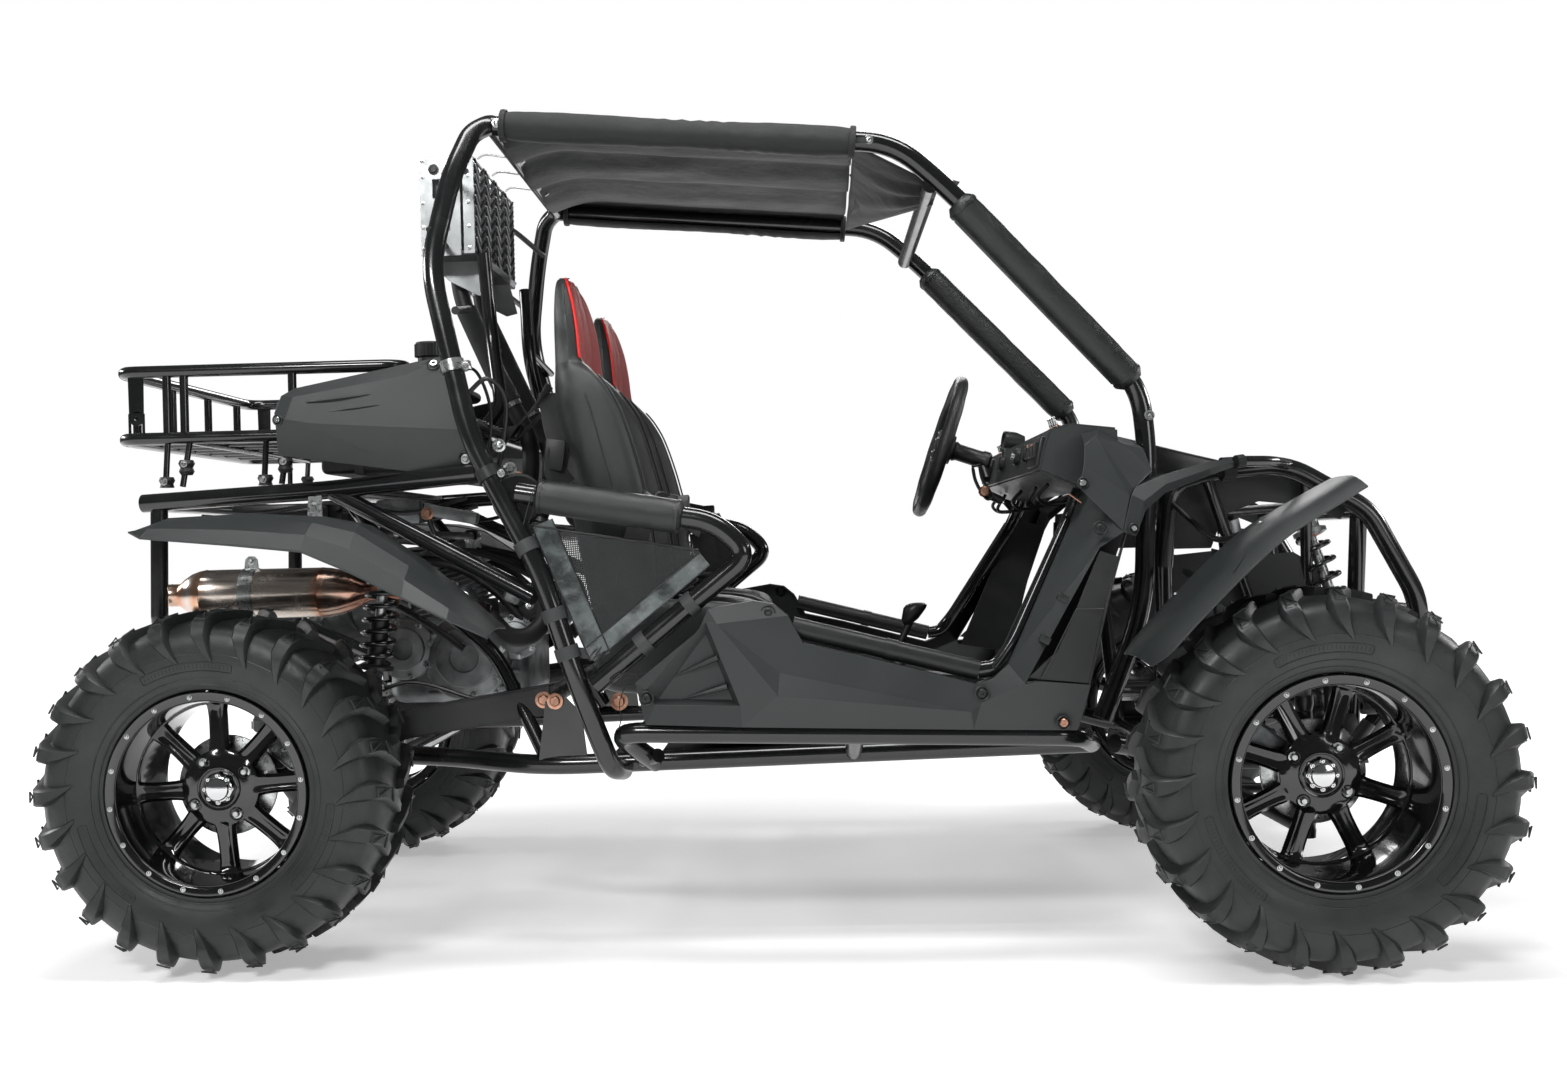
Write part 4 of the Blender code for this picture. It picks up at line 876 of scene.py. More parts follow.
def clamps():
    """Pipe clamps, lugs and bolt heads along the hoop and the pivots."""
    shape = Shape()
    DARK, ZINC, COPPER = 0, 1, 2
    for side in (LEFT, RIGHT):
        for z, mat in ((1.108, ZINC), (0.905, DARK)):
            p = hoop_point(z)
            along = (hoop_point(z + 0.02) - hoop_point(z - 0.02)).normalized()
            spot, along = at(p.x, p.y, p.z, side), Vector((along.x, along.y * side, along.z))
            shape.lathe([(0.02, -0.011), (0.0228, -0.011), (0.0228, 0.011), (0.02, 0.011)], spot, along,
                24, mat, closed=True)
            shape.block((0.012, 0.016, 0.018), placed(spot + Vector((0.027, 0.006 * side, 0)), along),
                0.0015, mat)
            shape.bolt(spot + Vector((0.027, 0.014 * side, 0)), (0, side, 0), 0.0048, 0.005, ZINC)
        shape.bolt(at(-0.468, 0.567, 0.958, side), (0.5, side, 0.1), 0.0085, 0.01, ZINC, "dome")
        shape.bolt(at(-0.534, 0.55, 0.935, side), (0, side, 0), 0.006, 0.006, ZINC)
        shape.bolt(at(-0.392, 0.458, 0.47, side), (0, side, 0), 0.0105, 0.009, COPPER)
        shape.bolt(at(-0.262, 0.505, 0.472, side), (0, side, 0), 0.0115, 0.009, COPPER)
        shape.bolt(at(1.128, 0.268, 0.292, side), (0, side, 0), 0.0075, 0.007, COPPER)
        shape.bolt(at(0.872, 0.268, 0.292, side), (0, side, 0), 0.0075, 0.007, COPPER)
        shape.bolt(at(-0.462, 0.42, 0.905, side), (0, side, 0), 0.008, 0.008, COPPER)
        shape.bolt(at(-0.64, 0.425, 0.838, side), (0, side, 0), 0.0085, 0.008, COPPER)
        # the tab that holds the rear fender and its bolt
        place = Matrix.Translation(at(-0.845, 0.475, 0.855, side)) @ Matrix.Rotation(math.pi / 2, 4, "X")
        shape.slab([(-0.016, -0.022), (0.014, -0.022), (0.013, 0.022), (-0.013, 0.02)], 0.0035, place,
            0.0008, ZINC)
        shape.bolt(at(-0.848, 0.477, 0.853, side), (0, side, 0), 0.007, 0.006, ZINC)
        # the ring on the pillar's foot
        p = at(0.766, 0.402, 0.995, side)
        shape.lathe([(0.0062, 0.0), (0.0062, 0.003), (0.0098, 0.003), (0.0104, 0.0)], p, (0, side, 0), 24,
            ZINC, closed=True)
        shape.bolt(p, (0, side, 0), 0.0035, 0.004, ZINC, "dome")
    piece("frame_clamps", shape, ("satin_black", "bolt_zinc", "bolt_copper"), "steel")


clamps()


# ---------------------------------------------------------------- body panels

def facet_panel(points, faces, lip=0.0, lip_depth=0.02):
    """A panel of flat facets. points are name: (x, z, y); with a lip its open edges turn inwards."""
    shape = Shape()
    verts = {key: shape.bm.verts.new((x, y, z)) for key, (x, z, y) in points.items()}
    for loop in faces:
        shape.face([verts[key] for key in loop.split()])
    if lip:
        edges = [e for e in shape.bm.edges if len(e.link_faces) == 1]
        grown = bmesh.ops.extrude_edge_only(shape.bm, edges=edges)["geom"]
        bmesh.ops.translate(shape.bm, verts=[g for g in grown if isinstance(g, bmesh.types.BMVert)],
            vec=(0, -lip_depth, 0))
    return shape


def recessed_bolt(shape, point, direction, mat, well=0.0125):
    """A round socket-head bolt in a raised rim."""
    axis = Vector(direction).normalized()
    shape.lathe([(well, -0.002), (well * 1.1, 0.0022), (well * 0.98, 0.003), (well * 0.86, 0.0022),
        (well * 0.8, -0.003)], point, axis, 28, 0)
    shape.lathe([(well * 0.6, -0.001), (well * 0.6, 0.004), (well * 0.5, 0.0052), (well * 0.28, 0.0052),
        (well * 0.26, 0.002), (0, 0.002)], point, axis, 20, mat)


PANEL_POINTS = {"a": (-0.199, 0.441, 0.632), "b": (-0.217, 0.517, 0.63), "c": (-0.1, 0.609, 0.628),
    "d": (-0.082, 0.648, 0.622), "e": (0.0, 0.661, 0.62), "e2": (0.036, 0.655, 0.622),
    "f": (0.062, 0.633, 0.626), "g": (0.09, 0.582, 0.632), "h": (0.187, 0.56, 0.636),
    "i": (0.4, 0.503, 0.634), "j": (0.428, 0.513, 0.634), "k": (0.455, 0.538, 0.636),
    "l": (0.611, 0.812, 0.44), "m": (0.635, 0.872, 0.43), "v1": (-0.086, 0.626, 0.634),
    "v2": (-0.066, 0.622, 0.636), "va": (-0.182, 0.476, 0.626), "vb": (-0.198, 0.503, 0.626),
    "vr": (-0.027, 0.472, 0.634), "d1": (0.046, 0.531, 0.64), "d2": (0.042, 0.491, 0.655),
    "dt": (0.386, 0.455, 0.645), "b1": (-0.025, 0.433, 0.63), "b2": (0.392, 0.421, 0.63),
    "n": (0.405, 0.47, 0.64), "p": (0.483, 0.503, 0.646), "q": (0.514, 0.506, 0.632),
    "r": (0.627, 0.743, 0.612), "r2": (0.664, 0.726, 0.604), "s": (0.579, 0.634, 0.63),
    "s2": (0.63, 0.634, 0.622), "t": (0.584, 0.431, 0.622), "u": (0.578, 0.416, 0.624),
    "w": (0.604, 0.497, 0.622), "x": (0.674, 0.77, 0.59), "y": (0.694, 0.832, 0.545),
    "ia": (-0.176, 0.486, 0.612), "ib": (-0.088, 0.603, 0.612), "ic": (-0.042, 0.482, 0.612)}
PANEL_FACES = ["a b vb va", "b c v1 vb", "c d v2 v1", "a va vr b1", "d e e2 f v2", "v2 f g d1", "g h d1",
    "h i n dt d1", "v2 d1 d2", "v1 v2 d2 b1 vr", "d1 dt d2", "d2 dt b2 b1", "dt n b2", "i j n", "j k p n",
    "n p b2", "k l r p", "l m y x r", "p q t u b2", "q w t", "va vb ia", "vb v1 ib ia", "v1 vr ic ib",
    "vr va ia ic", "ia ib ic"]


def side_panels():
    """The faceted sill panels with the door post, its inner skin and the fittings."""
    shape = facet_panel(PANEL_POINTS, PANEL_FACES, lip=1, lip_depth=0.03)
    both("sill_panel", shape, "panel_plastic", "panel", "side_panel", smooth=9, bevel=0.0016, solid=0.003)
    inner = facet_panel({"p": (0.49, 0.512, 0.628), "q": (0.516, 0.508, 0.626), "w": (0.6, 0.5, 0.622),
        "s2": (0.631, 0.634, 0.618), "r2": (0.663, 0.726, 0.6), "r": (0.628, 0.738, 0.604),
        "s": (0.579, 0.634, 0.63), "s3": (0.545, 0.56, 0.63), "ib": (0.6, 0.432, 0.56),
        "id": (0.655, 0.645, 0.54), "ie": (0.7, 0.8, 0.54), "ja": (0.48, 0.5, 0.5),
        "jb": (0.596, 0.48, 0.5), "jc": (0.648, 0.645, 0.5), "jd": (0.7, 0.79, 0.5),
        "je": (0.63, 0.812, 0.48), "jf": (0.56, 0.68, 0.5)}, ["ja jf je jd jc jb", "p s3 q", "q s3 s s2 w",
        "s r r2 s2", "w s2 id ib", "s2 r2 ie id"])
    both("door_post_inner", inner, "dark_plastic", "panel", smooth=9, bevel=0.0012, solid=0.003)
    trim = Shape()
    BLACK, COPPER, CREASE_HIGHLIGHT = 0, 1, 2
    for x, z, y in ((0.027, 0.64, 0.6235), (-0.197, 0.489, 0.6285), (0.407, 0.488, 0.642),
            (0.63, 0.778, 0.601)):
        recessed_bolt(trim, (x, y, z), (0, 1, 0), BLACK)
    recessed_bolt(trim, (0.553, 0.63, 0.431), (0, 1, 0), COPPER)
    for a, b in (((-0.15, 0.525), (-0.066, 0.56)), ((-0.132, 0.485), (-0.05, 0.507))):  # ribs in the vent
        trim.tube([(a[0], 0.612, a[1]), ((a[0] + b[0]) / 2, 0.617, (a[1] + b[1]) / 2),
            (b[0], 0.622, b[1])], [0.0008, 0.0042, 0.006], 8, mat=BLACK)
    for a, b in (((0.516, 0.512), (0.579, 0.634)), ((0.579, 0.634), (0.631, 0.634))):  # painted highlight: a fine light line along the post's facet creases
        trim.tube([(a[0], 0.6318, a[1]), (b[0], 0.631, b[1])], 0.0011, 6, mat=CREASE_HIGHLIGHT)
    for t in (0.18, 0.55):  # joining lugs between the post and its inner plate
        x, z = 0.505 + 0.09 * t, 0.545 + 0.2 * t
        trim.block((0.02, 0.012, 0.014), Matrix.Translation((x, 0.636, z)) @ Matrix.Rotation(0.5, 4, "Y"),
            0.002, BLACK)
    # the foam sleeve on the front of the sill tube, with its seam
    sill_front, sill_back = Vector((0.405, 0.604, 0.5255)), Vector((0.07, 0.604, 0.612))
    trim.tube([sill_back, sill_back.lerp(sill_front, 0.5), sill_front], 0.0185, 18, mat=BLACK)
    trim.tube([sill_back.lerp(sill_front, 0.5), sill_back.lerp(sill_front, 0.56)], 0.02, 18, mat=BLACK)
    trim.tube([sill_front, (0.44, 0.604, 0.53), (0.464, 0.596, 0.56), (0.603, 0.428, 0.795),
        (0.634, 0.412, 0.868)], 0.015, 18, bend=0.03, mat=3)
    trim.tube([(0.43, 0.626, 0.532), (0.464, 0.614, 0.572), (0.596, 0.452, 0.8)], 0.0065, 10, bend=0.03,
        mat=3)
    both("panel_fittings", trim, ("dark_plastic", "bolt_copper", "strap_rubber", "gloss_black"), "panel")


side_panels()


def dashboard():
    """The cross panel with its fascia, switches, gauge pod and vents."""
    shape = Shape()
    PANEL, DARK, COPPER, GLASS, CHROME = 0, 1, 2, 3, 4
    outline = [(0.54, 0.89), (0.551, 0.936), (0.562, 0.968), (0.6, 0.979), (0.69, 0.968), (0.69, 0.874),
        (0.64, 0.852), (0.606, 0.86)]
    shape.side_slab(outline, -0.478, 0.478, 0.004, PANEL)
    for y in (-0.4, 0.4):  # a recessed fascia on each half
        place = placed((0.5475, y, 0.928), (-1, 0, 0.22))
        shape.block((0.115, 0.058, 0.01), place, 0.003, DARK)
        for i in range(4):
            shape.block((0.017, 0.03, 0.01), place @ Matrix.Translation((-0.036 + 0.024 * i, 0.002, 0.008))
                @ Matrix.Rotation(0.16 if i % 2 else -0.12, 4, "X"), 0.002, DARK)
            shape.block((0.01, 0.004, 0.0115), place @ Matrix.Translation((-0.036 + 0.024 * i, 0.012,
                0.0095)), 0.0008, COPPER)
    for y in (-0.405, 0.405):
        for i in range(3):  # toggle switches on the top edge
            shape.lathe([(0.008, 0.0), (0.008, 0.004), (0.0045, 0.006), (0.0032, 0.018), (0.0046, 0.022),
                (0, 0.0235)], (0.584, y + 0.026 * (i - 1), 0.9725), (-0.35, 0, 1), 14,
                (DARK, COPPER, CHROME, CHROME, CHROME))
    place = Vector((0.576, 0.205, 0.986))
    face = Vector((-1, -0.05, 0.12)).normalized()
    shape.lathe([(0.0, -0.036), (0.02, -0.032), (0.0265, -0.012), (0.0275, 0.014), (0.0255, 0.0165),
        (0.0235, 0.015), (0.023, 0.011)], place, face, 40, DARK)
    shape.lathe([(0.0231, 0.0112), (0.012, 0.0128), (0.0, 0.0132)], place, face, 40, GLASS)
    shape.block((0.016, 0.05, 0.04), Matrix.Translation((0.566, 0.205, 0.955)), 0.003, DARK)
    for y in (0.12, -0.14, -0.27):
        shape.lathe([(0.0, 0.004), (0.016, 0.004), (0.018, 0.001), (0.018, -0.006), (0, -0.006)],
            (0.5435, y, 0.935), (-1, 0, 0.22), 28, DARK)
    shape.bolt((0.5425, -0.14, 0.935), (-1, 0, 0.22), 0.007, 0.01, CHROME)
    # wiring and the tray under the dash
    for i, y in enumerate((-0.36, -0.2, 0.02, 0.3, 0.4)):
        shape.tube(smooth_path([(0.575, y, 0.868), (0.56, y + 0.03, 0.845 - 0.01 * (i % 2)),
            (0.59, y + 0.08, 0.83), (0.66, y + 0.1, 0.842), (0.69, y + 0.08, 0.88)]), 0.004, 8, mat=DARK)
    shape.tube([(0.6, -0.455, 0.846), (0.655, -0.455, 0.805)], 0.0022, 8, mat=COPPER)
    piece("dash_panel", shape, ("panel_plastic", "dark_plastic", "bolt_copper", "dial_glass", "bolt_zinc"),
        "panel", stands_for="dashboard", smooth=30)


dashboard()


def hood():
    """The nose cover: a sloping top, a faceted box on each side and the arms over the side tubes."""
    shape = Shape()
    rows = []
    for x, z in ((0.622, 0.976), (0.64, 0.984), (0.662, 0.985), (0.74, 0.965), (0.8, 0.949), (0.87, 0.93),
            (0.96, 0.907), (1.04, 0.885)):
        rows.append([Vector((x, 0.325 * u, z - 0.01 * abs(u) ** 6 + (0.0012 if abs(abs(u) - 0.5) < 0.2
            else 0.0))) for u in [k / 12 for k in range(-12, 13)]])
    shape.skin(rows, closed=False)
    piece("hood_top", shape, "panel_plastic", "panel", stands_for="hood", smooth=30, solid=0.004,
        bevel=0.0015)
    box_points = {"a": (0.618, 0.934, 0.528), "b": (0.64, 0.95, 0.522), "c": (0.7, 0.936, 0.478),
        "c2": (0.655, 0.965, 0.48), "d": (0.612, 0.896, 0.552), "e": (0.693, 0.836, 0.564),
        "f": (0.702, 0.848, 0.553), "g": (0.748, 0.884, 0.5), "h": (0.605, 0.868, 0.552),
        "i": (0.674, 0.772, 0.59), "j": (0.603, 0.852, 0.558), "k": (0.745, 0.93, 0.44),
        "l": (0.745, 0.954, 0.33), "m": (0.655, 0.975, 0.33), "n": (0.62, 0.957, 0.48),
        "o": (0.62, 0.968, 0.33)}
    box_faces = ["a b e d", "b f e", "b c g f", "a n c2 b", "b c2 c", "c k g", "d e i j h", "c2 m l c",
        "c l k", "n o m c2"]
    cheeks = facet_panel(box_points, box_faces)
    both("hood_cheek", cheeks, "panel_plastic", "panel", smooth=9, bevel=0.0014, solid=0.003)
    arm = facet_panel({"a": (0.695, 0.838, 0.565), "b": (0.705, 0.853, 0.554), "c": (0.757, 0.874, 0.545),
        "d": (0.848, 0.897, 0.505), "e": (0.9, 0.905, 0.48), "f": (0.902, 0.896, 0.494),
        "g": (0.848, 0.884, 0.528), "h": (0.758, 0.856, 0.562), "i": (0.718, 0.826, 0.566),
        "j": (0.698, 0.762, 0.585), "k": (0.674, 0.771, 0.59), "l": (0.85, 0.872, 0.526),
        "m": (0.903, 0.888, 0.49), "n": (0.759, 0.84, 0.556), "o": (0.721, 0.808, 0.562),
        "p": (0.848, 0.893, 0.42), "q": (0.9, 0.902, 0.42), "s": (0.755, 0.872, 0.42)},
        ["a b c h i", "c d g h", "d e f g", "a i j k", "h g l n", "g f m l", "i h n o", "i o j", "b c s",
        "c d p s", "d e q p"])
    both("hood_arm", arm, "panel_plastic", "panel", smooth=9, bevel=0.0014, solid=0.003)
    trim = Shape()
    recessed_bolt(trim, (0.608, 0.56, 0.862), (0.1, 1, 0.1), 1, 0.01)
    recessed_bolt(trim, (0.693, 0.588, 0.776), (0.1, 1, 0.1), 1, 0.009)
    trim.lathe([(0.02, -0.012), (0.0232, -0.012), (0.0232, 0.012), (0.02, 0.012)], (0.905, 0.432, 0.886),
        (1, -0.08, 0.03), 24, 0, closed=True)
    trim.tube([(0.906, 0.488, 0.897), (0.921, 0.484, 0.899)], 0.0125, 16, mat=0)
    trim.tube([(0.915, 0.484, 0.898), (0.985, 0.448, 0.8985), (1.046, 0.352, 0.8945)], 0.0105, 14,
        bend=0.03, mat=2)
    both("hood_fittings", trim, ("dark_plastic", "bolt_zinc", "gloss_black"), "panel")
    liner = Shape()  # the dark lining inside each side of the nose
    place = Matrix.Translation((0, 0.3, 0)) @ Matrix.Rotation(math.pi / 2, 4, "X")
    liner.slab([(0.83, 0.735), (0.83, 0.868), (0.9, 0.886), (1.03, 0.886), (1.11, 0.862), (1.172, 0.806),
        (1.16, 0.786), (1.09, 0.816), (1.0, 0.826), (0.93, 0.8), (0.905, 0.735)], 0.003, place, 0.001)
    liner.slab([(0.905, 0.64), (0.905, 0.735), (0.975, 0.716), (1.066, 0.724), (1.12, 0.69), (1.12, 0.6),
        (0.96, 0.59)], 0.003, place, 0.001)
    both("nose_lining", liner, "dark_plastic", "panel", smooth=20)


hood()


def rear_covers():
    """The faceted box over each rear corner of the engine bay, with two fins on its side."""
    points = {"a": (-0.902, 0.953, 0.512), "b": (-0.903, 1.034, 0.526), "c": (-0.892, 1.066, 0.518),
        "d": (-0.868, 1.081, 0.508), "e": (-0.585, 1.134, 0.508), "f": (-0.566, 1.098, 0.524),
        "g": (-0.545, 0.992, 0.532), "h": (-0.52, 0.902, 0.508), "i": (-0.622, 0.912, 0.506),
        "j": (-0.824, 1.01, 0.54), "k": (-0.866, 1.063, 0.528), "l": (-0.652, 1.096, 0.53),
        "m": (-0.568, 1.1, 0.526), "n": (-0.88, 1.09, 0.4), "o": (-0.6, 1.15, 0.4),
        "p": (-0.575, 1.14, 0.4), "q": (-0.905, 1.06, 0.42), "r": (-0.904, 0.965, 0.44),
        "s": (-0.88, 1.02, 0.534)}
    faces = ["a b s j i", "b c k s", "c d k", "d e l k", "e m l", "s k j", "k l m f g j", "j g h i",
        "d n o e", "e o p m", "c q n d", "b r q c", "a r b"]
    shape = facet_panel(points, faces)
    both("cover_shell", shape, "panel_plastic", "panel", "rear_cover", smooth=9, bevel=0.0016, solid=0.003)
    trim = Shape()
    for x0, z0, x1, z1 in ((-0.838, 1.05, -0.715, 1.062), (-0.82, 1.029, -0.698, 1.042)):
        rings = []
        for t in [k / 10 for k in range(11)]:
            rise = 0.0045 * math.sin(math.pi * t) ** 0.7
            x, z = x0 + (x1 - x0) * t, z0 + (z1 - z0) * t
            rings.append([Vector((x, 0.533, z - 0.0052 * math.sin(math.pi * t) - 0.0002)),
                Vector((x, 0.5345 + rise, z)), Vector((x, 0.533, z + 0.0016))])
        trim.skin(rings)
    recessed_bolt(trim, (-0.598, 0.515, 1.118), (0.05, 1, 0.75), 1, 0.013)
    recessed_bolt(trim, (-0.896, 0.527, 1.02), (-0.3, 1, 0), 1, 0.01)
    recessed_bolt(trim, (-0.541, 0.523, 0.94), (0, 1, -0.2), 1, 0.011)
    both("cover_fittings", trim, ("panel_plastic", "bolt_zinc"), "panel", smooth=30)


rear_covers()


def grid_patch(shape, rows, mat=0):
    """An open skin through rows of points."""
    shape.skin(rows, mat, closed=False)


def fenders():
    """The four mudguards with their stays and lips."""
    crown = smooth_path([(1.052, 0, 0.857), (0.998, 0, 0.828), (0.909, 0, 0.777), (0.846, 0, 0.726),
        (0.78, 0, 0.662), (0.724, 0, 0.604), (0.674, 0, 0.549)], 5)
    shape = Shape()
    rows = []
    for i, p in enumerate(crown):
        t = i / (len(crown) - 1)
        tangent = (crown[min(i + 1, len(crown) - 1)] - crown[max(i - 1, 0)]).normalized()
        up = Vector((-tangent.z, 0, tangent.x))
        up = up if up.z > 0 else -up
        inner = 0.545 - 0.025 * min(1, t * 2.2)
        outer = 0.735 + 0.035 * min(1, t * 2.5)
        if t > 0.9:  # the rounded lower end
            inner += 0.03 * ((t - 0.9) / 0.1) ** 2
            outer -= 0.045 * ((t - 0.9) / 0.1) ** 2
        row = []
        for k in range(13):
            u = k / 12
            drop = 0.004 * (1 - (2 * u - 1) ** 2) - 0.02 * max(0, u - 0.72) ** 2 / 0.0784 - 0.006 * max(0,
                0.15 - u) / 0.15
            row.append(Vector((p.x, inner + (outer - inner) * u, p.z)) + up * drop)
        rows.append(row)
    grid_patch(shape, rows)
    both("front_mudguard", shape, "panel_plastic", "panel", "fender_front", smooth=50, solid=0.0035,
        bevel=0.001)
    trim = Shape()
    trim.tube([(0.835, 0.38, 0.69), (0.84, 0.44, 0.68), (0.85, 0.56, 0.716), (0.88, 0.68, 0.742)], 0.008,
        12, bend=0.04)
    trim.tube([(0.815, 0.345, 0.83), (0.87, 0.48, 0.745), (0.93, 0.6, 0.778)], 0.006, 10, bend=0.04)
    for x, y, z in ((0.768, 0.575, 0.655), (0.905, 0.64, 0.781)):
        trim.bolt((x, y, z), (-0.5, 0, 0.85), 0.004, 0.003, 1, "dome")
    # painted shade: a thin raised bead in darker plastic drawn along the mudguard's crease
    crease = smooth_path([(1.015, 0.655, 0.8405), (0.96, 0.672, 0.809), (0.905, 0.7, 0.774),
        (0.868, 0.722, 0.742), (0.848, 0.738, 0.721), (0.826, 0.752, 0.696)], 5)
    trim.tube(crease, [0.0006 + 0.0014 * math.sin(math.pi * k / (len(crease) - 1))
        for k in range(len(crease))], 6, mat=2)
    both("front_mudguard_stay", trim, ("satin_black", "bolt_zinc", "dark_plastic"), "steel")

    # rear: a crest line with a bright lip turned down outside it
    top = [(-1.118, 0.816), (-1.08, 0.838), (-0.936, 0.843), (-0.8, 0.834), (-0.724, 0.819),
        (-0.625, 0.752), (-0.545, 0.684), (-0.474, 0.62)]
    lip = [(-1.119, 0.812), (-1.098, 0.801), (-0.94, 0.786), (-0.806, 0.771), (-0.724, 0.735),
        (-0.625, 0.684), (-0.545, 0.642), (-0.472, 0.608)]
    shape = Shape()
    rows = []
    for (tx, tz), (lx, lz) in zip(top, lip):
        row = []
        for y, share, lift in ((0.505, 0.0, -0.004), (0.56, 0.0, 0.0), (0.6, 0.02, 0.0), (0.63, 0.2, 0.0),
                (0.662, 0.5, 0.0), (0.668, 0.56, 0.0), (0.688, 1.0, 0.0), (0.686, 1.02, -0.003)):
            row.append(Vector((tx + (lx - tx) * share, y, tz + (lz - tz) * share + lift)))
        rows.append(row)
    grid_patch(shape, rows)
    both("rear_mudguard", shape, "panel_plastic", "panel", "fender_rear", smooth=9, solid=0.0035,
        bevel=0.0012)


fenders()


def floor_and_pedals():
    """The footwell: a ribbed floor, the tunnel with its lever gate, the toe board and three pedals."""
    shape = Shape()
    shape.block((0.78, 0.85, 0.006), Matrix.Translation((0.21, 0, 0.397)), 0.002)
    for x in [0.02 + 0.06 * k for k in range(9)]:
        for y in (-0.24, 0.24):
            shape.block((0.01, 0.26, 0.004), Matrix.Translation((x, y, 0.402)), 0.0015)
    shape.side_slab([(-0.18, 0.398), (-0.18, 0.5), (0.42, 0.47), (0.6, 0.44), (0.6, 0.398)], -0.055, 0.055,
        0.01)
    shape.side_slab([(0.594, 0.396), (0.69, 0.64), (0.7, 0.82), (0.706, 0.82), (0.697, 0.638),
        (0.601, 0.394)], -0.35, 0.35, 0.0015)
    for y in (-0.3, -0.18, 0.18, 0.3):
        shape.tube([(0.6, y, 0.425), (0.683, y, 0.636), (0.692, y, 0.8)], 0.004, 8)
    piece("footwell", shape, "dark_plastic", "panel", stands_for="floor_pan")
    shape = Shape()
    shape.tube([(0.64, 0.13, 0.6), (0.64, 0.35, 0.6)], 0.008, 12)
    for y in (0.15, 0.24, 0.33):
        shape.tube([(0.64, y, 0.6), (0.606, y, 0.545), (0.56, y, 0.47)], 0.0065, 10, bend=0.02)
        place = placed((0.548, y, 0.47), (-1, 0, 0.35))
        shape.block((0.056, 0.06, 0.006), place, 0.002)
        for k in range(4):
            shape.block((0.05, 0.005, 0.004), place @ Matrix.Translation((0, -0.021 + 0.014 * k, 0.004)),
                0.001, 1)
    piece("pedal_set", shape, ("satin_black", "rubber"), "frame", stands_for="pedals")
    shape = Shape()
    shape.tube([(0.29, 0, 0.478), (0.29, 0, 0.52), (0.329, 0, 0.6)], 0.008, 12, bend=0.03)
    shape.lathe([(0.03, 0.476), (0.027, 0.484), (0.021, 0.489), (0.022, 0.495), (0.016, 0.501),
        (0.017, 0.507), (0.009, 0.514)], (0.29, 0, 0), (0, 0, 1), 24)
    rings = []
    for z, x, rx, ry in ((0.578, 0.314, 0.006, 0.006), (0.584, 0.317, 0.0135, 0.014),
            (0.592, 0.322, 0.0185, 0.018), (0.604, 0.328, 0.022, 0.021), (0.615, 0.333, 0.025, 0.022),
            (0.622, 0.337, 0.0235, 0.02), (0.6265, 0.339, 0.015, 0.013), (0.6275, 0.34, 0.004, 0.004)):
        rings.append([Vector((x + rx * math.cos(a), ry * math.sin(a), z))
            for a in [2 * math.pi * k / 20 for k in range(20)]])
    shape.skin(rings)
    piece("gear_knob", shape, "satin_black", "rubber", stands_for="gear_lever")


floor_and_pedals()


# ---------------------------------------------------------------- soft parts

def ruffle(p, scale, seed=0.0):
    """Smooth noise for small folds in cloth."""
    return noise.noise(Vector((p[0] * scale + seed, p[1] * scale, p[2] * scale)))


